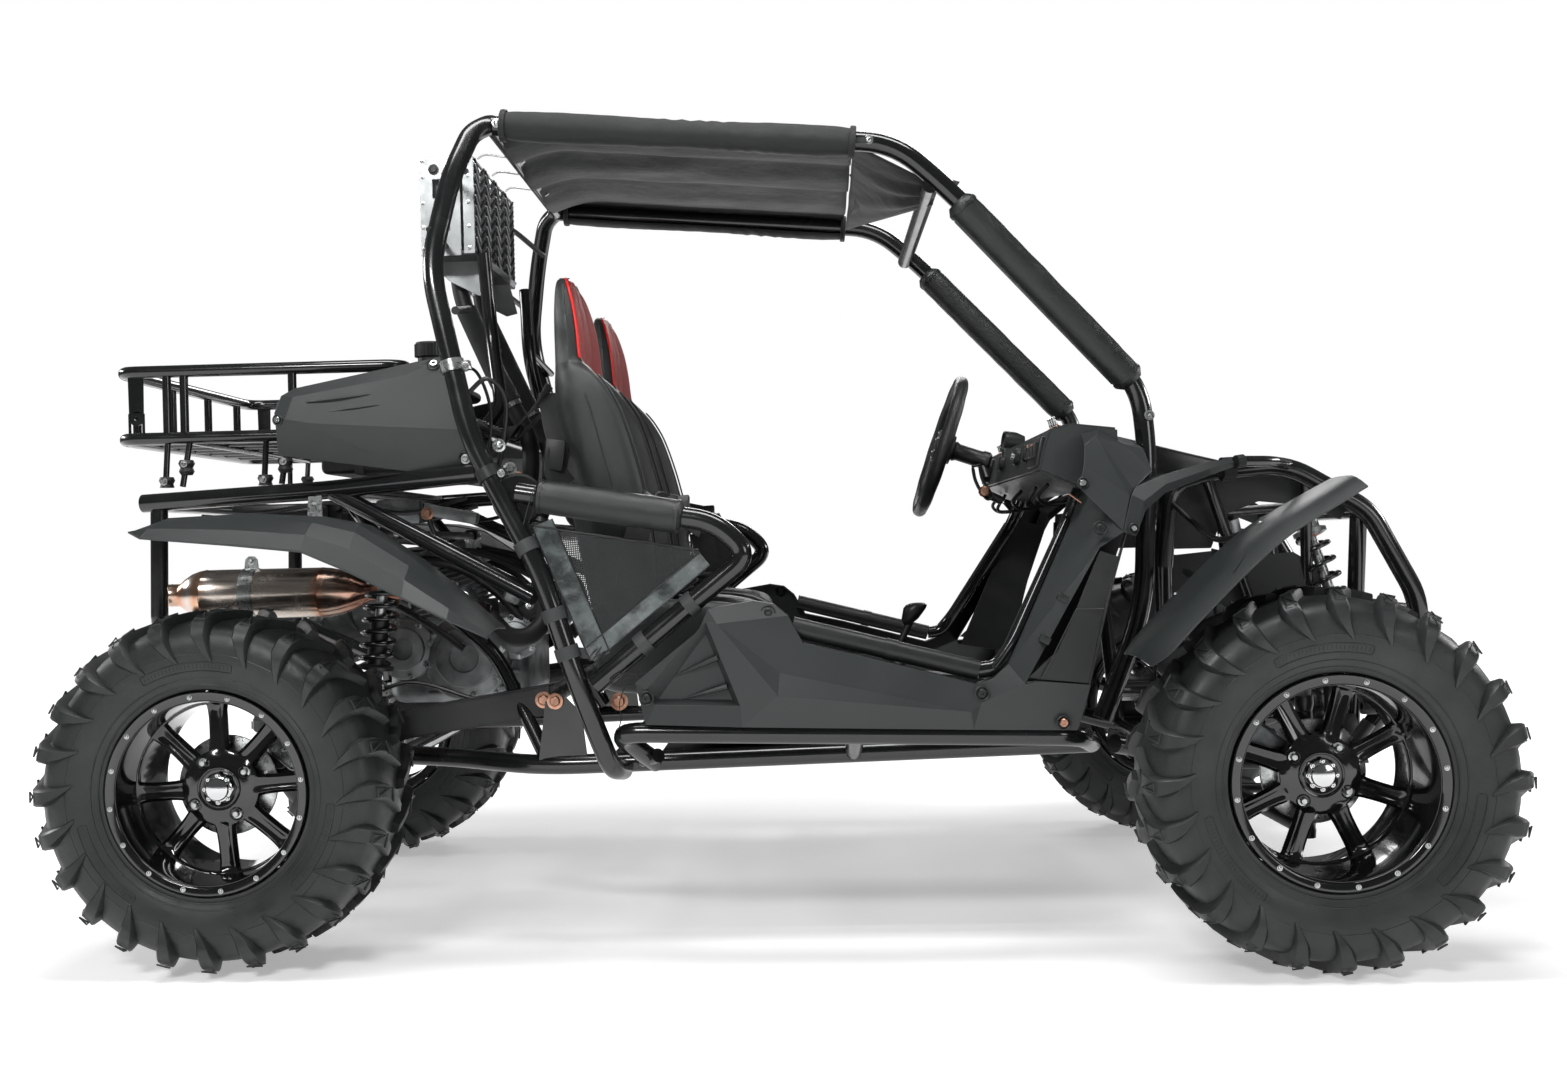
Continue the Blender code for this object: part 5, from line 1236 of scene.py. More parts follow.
def roof_canopy():
    """One cloth: a sleeve round each roof tube and, between them, a sheet that sags into three long puffs."""
    back, front = -0.479, 0.208
    rear_z, front_z = HOOP_TOP_Z - 0.0054, 1.5378
    radius = 0.0285
    shape = Shape()
    rows = []
    across = 56
    for i in range(61):
        t = i / 60
        x = back + (front - back) * t
        axis_z = rear_z + (front_z - rear_z) * t
        tube_y = 0.4004 + 0.0106 * t
        row = []
        end = min(t, 1 - t)
        swell = 1.0 + 0.05 * math.sin(t * 9.0) * min(1, end * 8) - 0.1 * max(0, 1 - end * 22)

        def wrap(angle, side):
            p = Vector((x, (tube_y - 0.0) * side + math.sin(angle) * radius * side,
                axis_z + math.cos(angle) * radius))
            crease = math.exp(-((t - 0.62 + 0.9 * (p.z - axis_z) * 3.0) / 0.1) ** 2)
            fold = 0.0016 * math.sin((x * 1.0 + p.z * 1.9) * 230.0) * crease + 0.0012 * ruffle(p, 34.0)
            out = Vector((0, math.sin(angle) * side, math.cos(angle)))
            return p + out * (fold + radius * (swell - 1.0))

        for k in range(17):  # from under the left tube, round its outside, to its top
            row.append(wrap(math.radians(232 - 232 * k / 16), LEFT))
        for k in range(1, across):
            u = 1 - 2 * k / across
            y = tube_y * u
            dome = 1 - u * u
            sag = -0.01 * dome
            for seam in (-0.14, 0.09):
                sag += 0.006 * math.exp(-((y - seam) / 0.02) ** 2)
            for middle, wide in ((-0.26, 0.11), (-0.025, 0.1), (0.25, 0.14)):
                sag -= 0.015 * math.exp(-((y - middle) / (wide * 0.72)) ** 4) * min(1, dome * 1.5)
            p = Vector((x, y, axis_z + radius + sag))
            if t < 0.16:  # the rear edge hangs under the cross tube
                pull = (1 - t / 0.16) ** 2 * min(1, dome * 2.5)
                p.x, p.z = p.x - 0.016 * pull, p.z - 0.034 * pull
            p.z += 0.003 * ruffle(p, 9.0) * dome + 0.0016 * math.sin(y * 60 + x * 14 + 2
                * ruffle(p, 6.0)) * dome * end * 2
            row.append(p)
        for k in range(17):
            row.append(wrap(math.radians(232 * k / 16), RIGHT))
        rows.append(row)
    shape.skin(rows, closed=False)
    cloth = piece("canopy_cloth", shape, "canopy_cloth", "fabric", stands_for="roof_canopy", smooth=70,
        solid=0.0022)
    trims = Shape()
    CLOTH, LIGHT, ZINC = 0, 1, 2
    for side in (LEFT, RIGHT):
        for t in (0.004, 0.996):  # hems at the sleeve ends
            x = back + (front - back) * t
            z = rear_z + (front_z - rear_z) * t
            trims.lathe([(0.0288, -0.006), (0.0312, -0.005), (0.0318, 0.0), (0.0312, 0.005),
                (0.0288, 0.006)], (x, (0.4004 + 0.0106 * t) * side, z), (1, 0, -0.09), 28, CLOTH)
        trims.bolt((0.236, 0.412 * side + 0.0185 * side, 1.5375), (0, side, 0), 0.0062, 0.003, ZINC, "dome")
        trims.bolt((-0.486, 0.402 * side + 0.0185 * side, 1.596), (0, side, 0), 0.0062, 0.003, ZINC, "dome")
        trims.ribbon([(0.205, 0.43 * side, 1.537), (0.236, 0.432 * side, 1.537)], (0, 0, 1), 0.012, 0.0015,
            CLOTH)
    # light straps that hold the rolled front edge, and the hooks to the radiator
    trims.ribbon([(0.212, -0.15, 1.54), (0.224, -0.12, 1.524), (0.226, -0.03, 1.5), (0.218, 0.03, 1.494)],
        (1, 0, 0.2), 0.013, 0.002, LIGHT)
    for y in (-0.17, -0.02, 0.13):
        trims.tube(smooth_path([(-0.578, y, 1.592), (-0.56, y, 1.6), (-0.52, y, 1.594), (-0.486, y, 1.592),
            (-0.478, y, 1.584), (-0.486, y, 1.578)]), 0.002, 8, mat=ZINC)
    piece("canopy_trims", trims, ("canopy_cloth", "strap_rubber", "bolt_zinc"), "fabric")
    # the loose front flap, drawn together to a strap at the near pillar
    flap = Shape()
    rows = []
    left, right, tip = Vector((0.209, 0.33, 1.52)), Vector((0.209, -0.365, 1.548)), Vector((0.366, -0.34,
        1.446))
    for i in range(25):
        t = i / 24
        a = left.lerp(tip + Vector((0.0, 0.014, -0.014)), t ** 0.9)
        b = right.lerp(tip + Vector((0.0, -0.01, 0.022)), t)
        row = []
        for k in range(41):
            u = k / 40
            p = a.lerp(b, u)
            slack = math.sin(math.pi * u) * (1 - t) * (0.25 + t)
            p.z -= 0.06 * slack
            p += Vector((0.4, 0, 1)) * (0.0055 * math.sin(u * 21 + 5 * t + 3 * ruffle(p, 8.0)) * (0.3 + t)
                * math.sin(math.pi * u))
            row.append(p)
        rows.append(row)
    flap.skin(rows, closed=False)
    front_flap = piece("canopy_flap", flap, "canopy_cloth", "fabric", smooth=80, solid=0.0018)
    tie = Shape()
    tie.ribbon([(0.356, -0.344, 1.452), (0.374, -0.368, 1.455), (0.39, -0.388, 1.46),
        (0.408, -0.404, 1.452)], (0.5, 0.2, 0.8), 0.012, 0.0018)
    flap_tie = piece("canopy_flap_tie", tie, "webbing", "fabric")


roof_canopy()


def sleeve_pad(name, start, end, node):
    """A foam sleeve with sewn ends, a long seam and slight wrinkles, on both sides of the buggy."""
    start, end = Vector(start), Vector(end)
    path = [start.lerp(end, k / 40) for k in range(41)]
    radii = []
    for k in range(41):
        t = k / 40
        near = min(t, 1 - t)
        radii.append(0.0215 + 0.0095 * min(1.0, (near / 0.022)) ** 0.5 - 0.0012
            * math.exp(-((near - 0.055) / 0.008) ** 2))
    shape = Shape()
    turns = [2 * math.pi * i / 32 for i in range(32)]
    rings = []
    for (p, n, b), r in zip(frames_along(path), radii):
        ring = []
        for a in turns:
            out = n * math.cos(a) + b * math.sin(a)
            q = p + out * r
            ring.append(q + out * (0.001 * ruffle(q, 22.0) + 0.0006 * ruffle(q, 60.0)))
        rings.append(ring)
    shape.skin(rings)
    seam = []
    for p, n, b in frames_along(path):
        out = Vector((-0.2, -0.35, -1)).normalized()
        axis = (end - start).normalized()
        out = (out - axis * out.dot(axis)).normalized()
        seam.append(p + out * 0.0308)
    shape.tube(seam[2:-2], 0.0013, 6)
    for t in (0.035, 0.965):
        shape.lathe([(0.029, -0.004), (0.0318, -0.003), (0.0318, 0.003), (0.029, 0.004)],
            start.lerp(end, t), end - start, 32)
    pads = both(name, shape, "pad_vinyl", "fabric", node, smooth=60)


PILLAR_TOP, PILLAR_FOOT = Vector((0.384, 0.408, 1.442)), Vector((0.749, 0.38, 1.052))
sleeve_pad("pillar_sleeve", PILLAR_TOP.lerp(PILLAR_FOOT, 0.06), PILLAR_TOP.lerp(PILLAR_FOOT, 0.975),
    "pillar_pad")
BAR_REAR, BAR_FRONT = hoop_point(0.868) + Vector((0.034, 0.002, 0)), Vector((-0.067, 0.6, 0.806))
sleeve_pad("side_sleeve", BAR_REAR.lerp(BAR_FRONT, 0.1), BAR_REAR.lerp(BAR_FRONT, 0.84), "side_pad")


def side_nets():
    """A woven mesh tied between the bars: clear edge bands, straps on the post, a laced lower corner."""
    corners = [Vector((-0.398, 0, 0.806)), Vector((-0.098, 0, 0.756)), Vector((-0.08, 0, 0.73)),
        Vector((-0.296, 0, 0.558))]
    y0 = 0.5995

    def inside(x, z):
        hits = 0
        for a, b in zip(corners, corners[1:] + corners[:1]):
            if (a.z > z) != (b.z > z) and x < a.x + (z - a.z) * (b.x - a.x) / (b.z - a.z):
                hits += 1
        return hits % 2 == 1

    def wavy(x, z):
        return y0 + 0.003 * math.sin(x * 34 + z * 21) + 0.003 * noise.noise(Vector((x * 12, 0, z * 12)))

    cloth = Shape()
    pitch, width, step = 0.0034, 0.0019, 0.008
    slope = Vector((1, 0, -0.1)).normalized()
    upright = Vector((0.1, 0, 1)).normalized()
    for direction, across, count in ((slope, upright, 84), (upright, slope, 100)):
        for line in range(count):
            origin = Vector((-0.4, 0, 0.556)) + across * (pitch * line) - direction * 0.03
            run, i = [], 0
            while i < 60:
                p = origin + direction * (step * i)
                if inside(p.x, p.z):
                    run.append(p)
                elif run:
                    break
                i += 1
            if len(run) > 1:
                lift = 0.0004 if direction is slope else -0.0004
                cloth.skin([[Vector((p.x, wavy(p.x, p.z) + lift, p.z)) + across * (width * s)
                    for s in (-0.5, 0.5)] for p in run], closed=False)
    net, other = both("net_mesh", cloth, "net_cord", "fabric", "side_net", smooth=80)
    bands = Shape()
    CLEAR, STRAP, CORD = 0, 1, 2
    for a, b, width, inset in ((corners[0], corners[3], 0.034, 0.01),
            (corners[3], corners[2], 0.026, 0.008)):
        along = (b - a).normalized()
        inward = Vector((-along.z, 0, along.x))
        inward = inward if (Vector((-0.22, 0, 0.7)) - a).dot(inward) > 0 else -inward
        rows = []
        for k in range(33):
            p = a.lerp(b, k / 32)
            rows.append([Vector((q.x, wavy(q.x, q.z) + 0.0014 + 0.0016 * ruffle(q, 26.0), q.z))
                for q in [p + inward * (width * s + inset * 0.0) for s in (-0.15, 0.2, 0.5, 0.8, 1.0)]])
        bands.skin(rows, CLEAR, closed=False)
        for s in (-0.15, 1.0):
            bands.tube([Vector((q.x, wavy(q.x, q.z) + 0.0018, q.z))
                for q in [a.lerp(b, k / 20) + inward * width * s for k in range(21)]], 0.0014, 6, mat=CORD)
    bands.tube([Vector((q.x, wavy(q.x, q.z) + 0.001, q.z)) for q in [corners[0].lerp(corners[1], k / 20)
        for k in range(21)]], 0.0022, 6, mat=CORD)
    for z in (0.768, 0.643, 0.572):  # straps on the hoop
        p = hoop_point(z)
        along = hoop_point(z + 0.01) - hoop_point(z - 0.01)
        bands.lathe([(0.02, -0.012), (0.0226, -0.012), (0.023, 0.0), (0.0226, 0.012), (0.02, 0.012)], p,
            along, 28, STRAP, closed=True)
        bands.ribbon([p + Vector((0.018, -0.004, 0)), p + Vector((0.04, -0.004, -0.002))], along, 0.02,
            0.0018, STRAP)
    low, high = hoop_point(0.5) + Vector((0.026, 0.0, 0.012)), Vector((-0.005, 0.6, 0.745))
    for t in (0.32, 0.62):
        bands.lathe([(0.0195, -0.011), (0.0222, -0.011), (0.0226, 0.0), (0.0222, 0.011), (0.0195, 0.011)],
            low.lerp(high, t), high - low, 28, STRAP, closed=True)
    for k in range(7):  # lacing at the lower corner
        a = Vector((-0.303 + 0.004 * k, 0.6045, 0.562 + 0.005 * (k % 2)))
        bands.tube([a, a + Vector((0.012, 0.001, 0.016 - 0.004 * (k % 3)))], 0.0009, 5, mat=CORD)
    for t, a0 in ((0.0, 0.0), (1.0, 0.6)):
        loop = [Vector((-0.236 + 0.026 * math.cos(a) + 0.018 * t, 0.618 + 0.004 * t,
            0.522 + 0.012 * math.sin(a + a0))) for a in [2 * math.pi * k / 24 for k in range(24)]]
        bands.tube(loop, 0.0011, 6, cyclic=True, mat=CORD)
    bands.tube(smooth_path([(-0.236, 0.618, 0.512), (-0.248, 0.616, 0.48), (-0.246, 0.612, 0.452),
        (-0.252, 0.606, 0.43)]), 0.001, 6, mat=CORD)
    bands.tube(smooth_path([(-0.418, 0.606, 0.81), (-0.404, 0.616, 0.85), (-0.392, 0.612, 0.878),
        (-0.398, 0.6, 0.845), (-0.41, 0.6, 0.812)]), 0.0011, 6, mat=CORD)
    edge, other_edge = both("net_bands", bands, ("clear_band", "strap_rubber", "cable"), "fabric",
        smooth=60)


side_nets()

# z: rear at the middle, rear at the side, front of the bolster, front at the middle, half width
SEAT_BACK = [
    (0.6, -0.325, -0.285, -0.178, -0.24, 0.196), (0.68, -0.342, -0.296, -0.188, -0.262, 0.203),
    (0.78, -0.362, -0.31, -0.196, -0.282, 0.207), (0.87, -0.376, -0.324, -0.21, -0.3, 0.208),
    (0.96, -0.388, -0.346, -0.233, -0.318, 0.207), (1.03, -0.394, -0.36, -0.256, -0.33, 0.205),
    (1.072, -0.396, -0.366, -0.279, -0.338, 0.201), (1.1, -0.396, -0.37, -0.3, -0.344, 0.192),
    (1.118, -0.395, -0.373, -0.318, -0.348, 0.178), (1.132, -0.395, -0.376, -0.33, -0.35, 0.167),
    (1.18, -0.395, -0.379, -0.335, -0.35, 0.16), (1.225, -0.394, -0.381, -0.341, -0.354, 0.152),
    (1.262, -0.392, -0.382, -0.35, -0.362, 0.138), (1.288, -0.389, -0.382, -0.359, -0.368, 0.116),
    (1.302, -0.386, -0.382, -0.367, -0.374, 0.084), (1.308, -0.383, -0.381, -0.374, -0.378, 0.044),
]
# x: underside, top at the middle, top of the bolster, half width
SEAT_PAN = [(-0.318, 0.5, 0.61, 0.65, 0.15), (-0.29, 0.478, 0.616, 0.662, 0.19),
    (-0.2, 0.472, 0.618, 0.662, 0.2), (-0.12, 0.472, 0.624, 0.66, 0.203),
    (-0.06, 0.476, 0.628, 0.656, 0.203), (-0.018, 0.5, 0.624, 0.648, 0.2),
    (0.004, 0.54, 0.612, 0.634, 0.19), (0.013, 0.57, 0.598, 0.61, 0.165), (0.016, 0.582, 0.59, 0.594, 0.12)]
VINYL, CENTRE, RED = 0, 1, 2


def spline_rows(table, per_span):
    """Rows of numbers, with smooth rows put in between them."""
    rows = []
    for i in range(len(table) - 1):
        p0, p1, p2, p3 = (table[max(i - 1, 0)], table[i], table[i + 1], table[min(i + 2, len(table) - 1)])
        for k in range(per_span):
            t = k / per_span
            rows.append([0.5 * (2 * b + (c - a) * t + (2 * a - 5 * b + 4 * c - d) * t * t
                + (3 * b - a - 3 * c + d) * t ** 3) for a, b, c, d in zip(p0, p1, p2, p3)])
    rows.append(list(table[-1]))
    return rows


def seat():
    """A bucket seat: bolsters, a sewn centre, a red head panel with piping, and gathers at the shoulders."""
    shape = Shape()
    rings, tones = [], []
    for z, rc, rs, fs, fc, w in spline_rows(SEAT_BACK, 4):
        half = [(0.0, rc), (0.35, rc + 0.001), (0.62, rc * 0.8 + rs * 0.2), (0.84, rs - 0.006),
            (0.95, rs + 0.004), (1.0, rs + 0.022), (1.012, (rs + fs) / 2), (1.0, fs - 0.018),
            (0.965, fs - 0.004), (0.9, fs + 0.003), (0.8, fs * 0.75 + fc * 0.25),
            (0.7, fs * 0.3 + fc * 0.7 + 0.004), (0.62, fc), (0.58, fc - 0.004), (0.55, fc + 0.003),
            (0.4, fc + 0.009), (0.22, fc + 0.011), (0.2, fc + 0.006), (0.18, fc + 0.011), (0.0, fc + 0.013)]
        ring = [Vector((x, SEAT_Y + s * w, z)) for s, x in half] + [Vector((x, SEAT_Y - s * w, z))
            for s, x in half[-2:0:-1]]
        middle = Vector(((rc + fc) / 2, SEAT_Y, z))
        shoulder = math.exp(-((z - 1.105) / 0.03) ** 2)
        made = []
        for p in ring:
            out = (p - middle).normalized()
            gather = 0.003 * math.sin(p.x * 330 + p.z * 150) * shoulder * (1 if p.x > fs - 0.055 else 0.55)
            made.append(p + out * (0.0022 * ruffle(p, 9.0) + 0.0008 * ruffle(p, 30.0, 3.0) + gather * 0.6))
        rings.append(made)
        tones.append(z)
    count = len(rings[0])

    def tone(row, column):
        c = column if column < 20 else count - 1 - column
        if tones[row] > 1.128 and 8 <= c:
            return RED
        return CENTRE if c >= 12 and tones[row] < 1.128 else VINYL

    shape.skin(rings, tone)
    # the head panel's piping and the seams
    def edge(column, low, high, out):
        return [ring[column] + Vector((out, 0, 0)) for ring, z in zip(rings, tones) if low <= z <= high]

    left, right = edge(8, 1.128, 1.304, 0.0012), edge(count - 8, 1.128, 1.304, 0.0012)
    shape.tube(left + right[::-1], 0.003, 8, mat=3)
    shape.tube([left[0], Vector((-0.342, SEAT_Y + 0.1, 1.124)), Vector((-0.335, SEAT_Y, 1.122)),
        Vector((-0.342, SEAT_Y - 0.1, 1.124)), right[0]], 0.003, 8, bend=0.03, mat=3)
    for column in (17, count - 17):
        shape.tube(edge(column, 0.66, 1.29, -0.0005), 0.0016, 6, mat=0)
    for column in (6, count - 6):
        shape.tube(edge(column, 0.64, 1.07, 0.0), 0.0015, 6, mat=0)
    for column in (9, count - 9):
        shape.tube(edge(column, 0.64, 1.1, 0.0008), 0.0022, 8, mat=0)
    # the pan
    rings = []
    for x, bottom, top, bolster, w in spline_rows(SEAT_PAN, 4):
        half = [(0.0, bottom), (0.6, bottom), (0.88, bottom + 0.008), (0.97, bottom + 0.03),
            (1.0, bottom * 0.6 + bolster * 0.4), (1.0, bottom * 0.3 + bolster * 0.7),
            (0.985, bolster - 0.022), (0.94, bolster - 0.004), (0.88, bolster), (0.8, bolster - 0.006),
            (0.7, top + 0.01), (0.62, top), (0.6, top - 0.004), (0.58, top + 0.001), (0.4, top + 0.008),
            (0.21, top + 0.009), (0.2, top + 0.003), (0.19, top + 0.009), (0.0, top + 0.011)]
        ring = [Vector((x, SEAT_Y + s * w, z)) for s, z in half] + [Vector((x, SEAT_Y - s * w, z))
            for s, z in half[-2:0:-1]]
        rings.append([p + Vector((0, 0, 1)) * (0.0025 * ruffle(p, 10.0, 5.0)) for p in ring])
    count_pan = len(rings[0])
    shape.skin(rings, lambda row, column: CENTRE if 10 <= (column if column < 19 else count_pan - 1
        - column) else VINYL)
    seats = both("seat_shell", shape, ("seat_vinyl", "seat_centre", "red_vinyl", "red_piping"), "vinyl",
        "seat", smooth=70, subdivide=1)


seat()


def harness():
    """Shoulder and lap belts with their adjusters, hanging as they were left."""
    shape = Shape()
    DARK = 1
    for side in (LEFT, RIGHT):
        def p(x, y, z):
            return at(x, y, z, side)
        shape.ribbon([p(-0.54, 0.36, 0.985), p(-0.515, 0.36, 0.958), p(-0.498, 0.372, 0.968),
            p(-0.462, 0.395, 1.01), p(-0.42, 0.4, 1.052), p(-0.398, 0.398, 1.085)],
            [(0.3, 1, 0.2), (0.1, 1, 0.5), (0.2, 1, 0)], 0.044, 0.0022)
        shape.block((0.05, 0.03, 0.01), placed(p(-0.478, 0.382, 0.995), (-0.5, 0.6 * side, 0.6)), 0.002,
            DARK)
        shape.ribbon([p(-0.52, 0.19, 0.99), p(-0.48, 0.185, 1.02), p(-0.428, 0.185, 1.07)], (0, 1, 0),
            0.044, 0.0022)
        shape.ribbon([p(-0.398, 0.395, 1.07), p(-0.388, 0.42, 1.01), p(-0.376, 0.44, 0.96),
            p(-0.382, 0.446, 0.915), p(-0.366, 0.44, 0.885)], [(1, 0.3, 0), (0.8, 0.6, 0.2), (1, 0.2, 0)],
            0.046, 0.0022)
        shape.block((0.04, 0.012, 0.06), Matrix.Translation(p(-0.384, 0.447, 0.945))
            @ Matrix.Rotation(0.15, 4, "Y"), 0.003, DARK)
        shape.ribbon([p(-0.25, 0.5, 0.64), p(-0.228, 0.5, 0.76), p(-0.2, 0.47, 0.842),
            p(-0.16, 0.405, 0.838), p(-0.11, 0.34, 0.8)], [(1, 0.2, 0), (0.6, 0.4, 0.6), (0.5, 0.7, 0.3)],
            0.046, 0.0024)
        for k, (x, y, z) in enumerate(((-0.196, 0.464, 0.85), (-0.172, 0.43, 0.852),
                (-0.152, 0.398, 0.846))):
            shape.block((0.048, 0.034, 0.012), Matrix.Translation(p(x, y, z))
                @ Matrix.Rotation(0.5 + 0.3 * k, 4, "X") @ Matrix.Rotation(0.7 - 0.4 * k, 4, "Y"), 0.003,
                DARK)
        shape.ribbon([p(-0.11, 0.34, 0.79), p(-0.1, 0.27, 0.7), p(-0.13, 0.18, 0.705),
            p(-0.22, 0.06, 0.66)], [(1, 0.2, 0), (0.8, 0.2, 0.2), (1, 0, 0)], 0.046, 0.0024)
        shape.block((0.055, 0.045, 0.014), Matrix.Translation(p(-0.11, 0.265, 0.705)), 0.004, DARK)
    piece("harness_belts", shape, ("webbing", "dark_plastic"), "fabric", smooth=50)


harness()


# ---------------------------------------------------------------- engine bay and drive

def engine():
    """A finned single-cylinder engine with its covers, gearbox, pipes and loom."""
    shape = Shape()
    ALLOY, DARK, ZINC, COPPER = 0, 1, 2, 3
    shape.block((0.3, 0.3, 0.18), Matrix.Translation((-0.65, 0.0, 0.53)), 0.028, ALLOY, 4)
    shape.block((0.18, 0.22, 0.1), Matrix.Translation((-0.54, 0.02, 0.61)) @ Matrix.Rotation(-0.3, 4, "Y"),
        0.018, ALLOY, 3)
    tilt = Matrix.Translation((-0.69, 0.01, 0.69)) @ Matrix.Rotation(-0.28, 4, "Y")
    for k in range(9):  # cylinder fins
        size = 0.15 if k % 2 else 0.162
        shape.block((size, size + 0.01, 0.0045), tilt @ Matrix.Translation((0, 0, -0.058 + 0.0115 * k)),
            0.0015, ALLOY)
    shape.block((0.112, 0.12, 0.12), tilt, 0.012, ALLOY)
    shape.block((0.138, 0.15, 0.046), tilt @ Matrix.Translation((0, 0, 0.064)), 0.01, ALLOY)
    for side in (LEFT, RIGHT):
        for r, x, z, y in ((0.092, -0.625, 0.54, 0.15), (0.066, -0.755, 0.56, 0.15),
                (0.048, -0.52, 0.58, 0.14)):
            profile = [(r, 0.0), (r, 0.03), (r * 0.96, 0.038), (r * 0.7, 0.044), (r * 0.66, 0.052),
                (r * 0.35, 0.056), (r * 0.32, 0.05), (0, 0.05)]
            shape.lathe(profile, at(x, y, z, side), (0, side, 0), 48, ALLOY)
            for k in range(8):
                a = 2 * math.pi * k / 8 + 0.2
                shape.bolt(at(x + r * 0.86 * math.cos(a), y + 0.04, z + r * 0.86 * math.sin(a), side),
                    (0, side, 0), 0.005, 0.006, ZINC)
        for k in range(5):  # ribs on the crankcase side
            shape.block((0.15, 0.006, 0.007), Matrix.Translation(at(-0.64 + 0.012 * k, 0.152,
                0.462 + 0.011 * k, side)), 0.002, ALLOY)
        shape.tube(smooth_path([at(-0.8, 0.19, 0.7, side), at(-0.74, 0.215, 0.742, side),
            at(-0.64, 0.21, 0.735, side), at(-0.56, 0.18, 0.68, side), at(-0.5, 0.17, 0.61, side)]),
            0.0115, 12, mat=DARK)
        shape.tube(smooth_path([at(-0.83, 0.15, 0.64, side), at(-0.77, 0.205, 0.652, side),
            at(-0.69, 0.222, 0.61, side), at(-0.62, 0.226, 0.56, side)]), 0.0075, 10, mat=DARK)
        for k, (x, y, z) in enumerate(((-0.7, 0.205, 0.705), (-0.66, 0.2, 0.69), (-0.615, 0.205, 0.665),
                (-0.57, 0.195, 0.64), (-0.52, 0.185, 0.675), (-0.485, 0.175, 0.64))):
            place = Matrix.Translation(at(x, y, z, side)) @ Matrix.Rotation(0.5 * k, 4,
                "Y") @ Matrix.Rotation(0.3 * k, 4, "X")
            shape.block((0.046, 0.034, 0.03), place, 0.006, ALLOY if k % 2 == 0 else DARK, 2)
            shape.bolt(at(x, y + 0.02, z + 0.006, side), (0.1, side, 0.2), 0.0055, 0.008,
                COPPER if k in (1, 4) else ZINC)
    # inlet, throttle and the black air box over the gearbox
    shape.lathe([(0.03, 0.0), (0.034, 0.01), (0.03, 0.02), (0.034, 0.03), (0.03, 0.04), (0.034, 0.05),
        (0.03, 0.062)], (-0.77, -0.07, 0.735), (-0.8, -0.4, 0.15), 28, DARK)
    shape.block((0.13, 0.24, 0.09), Matrix.Translation((-0.795, 0.06, 0.705)), 0.018, DARK, 3)
    shape.block((0.06, 0.052, 0.06), Matrix.Translation((-0.745, -0.11, 0.73))
        @ Matrix.Rotation(0.4, 4, "Y"), 0.008, ALLOY, 2)
    shape.lathe([(0.018, -0.02), (0.024, -0.016), (0.024, 0.016), (0.018, 0.02), (0, 0.02)],
        (-0.7, -0.165, 0.742), (0.2, -1, 0), 28, ALLOY)
    for k in range(6):
        y = -0.2 + 0.08 * k
        shape.tube(smooth_path([(-0.83, y, 0.748), (-0.76, y + 0.02, 0.768), (-0.66, y - 0.02, 0.77),
            (-0.56, y + 0.01, 0.745), (-0.47, y, 0.7)]), 0.0036 + 0.0012 * (k % 2), 8, mat=DARK)
    piece("engine_castings", shape, ("cast_alloy", "satin_black", "bolt_zinc", "bolt_copper"), "alloy",
        stands_for="engine")


engine()


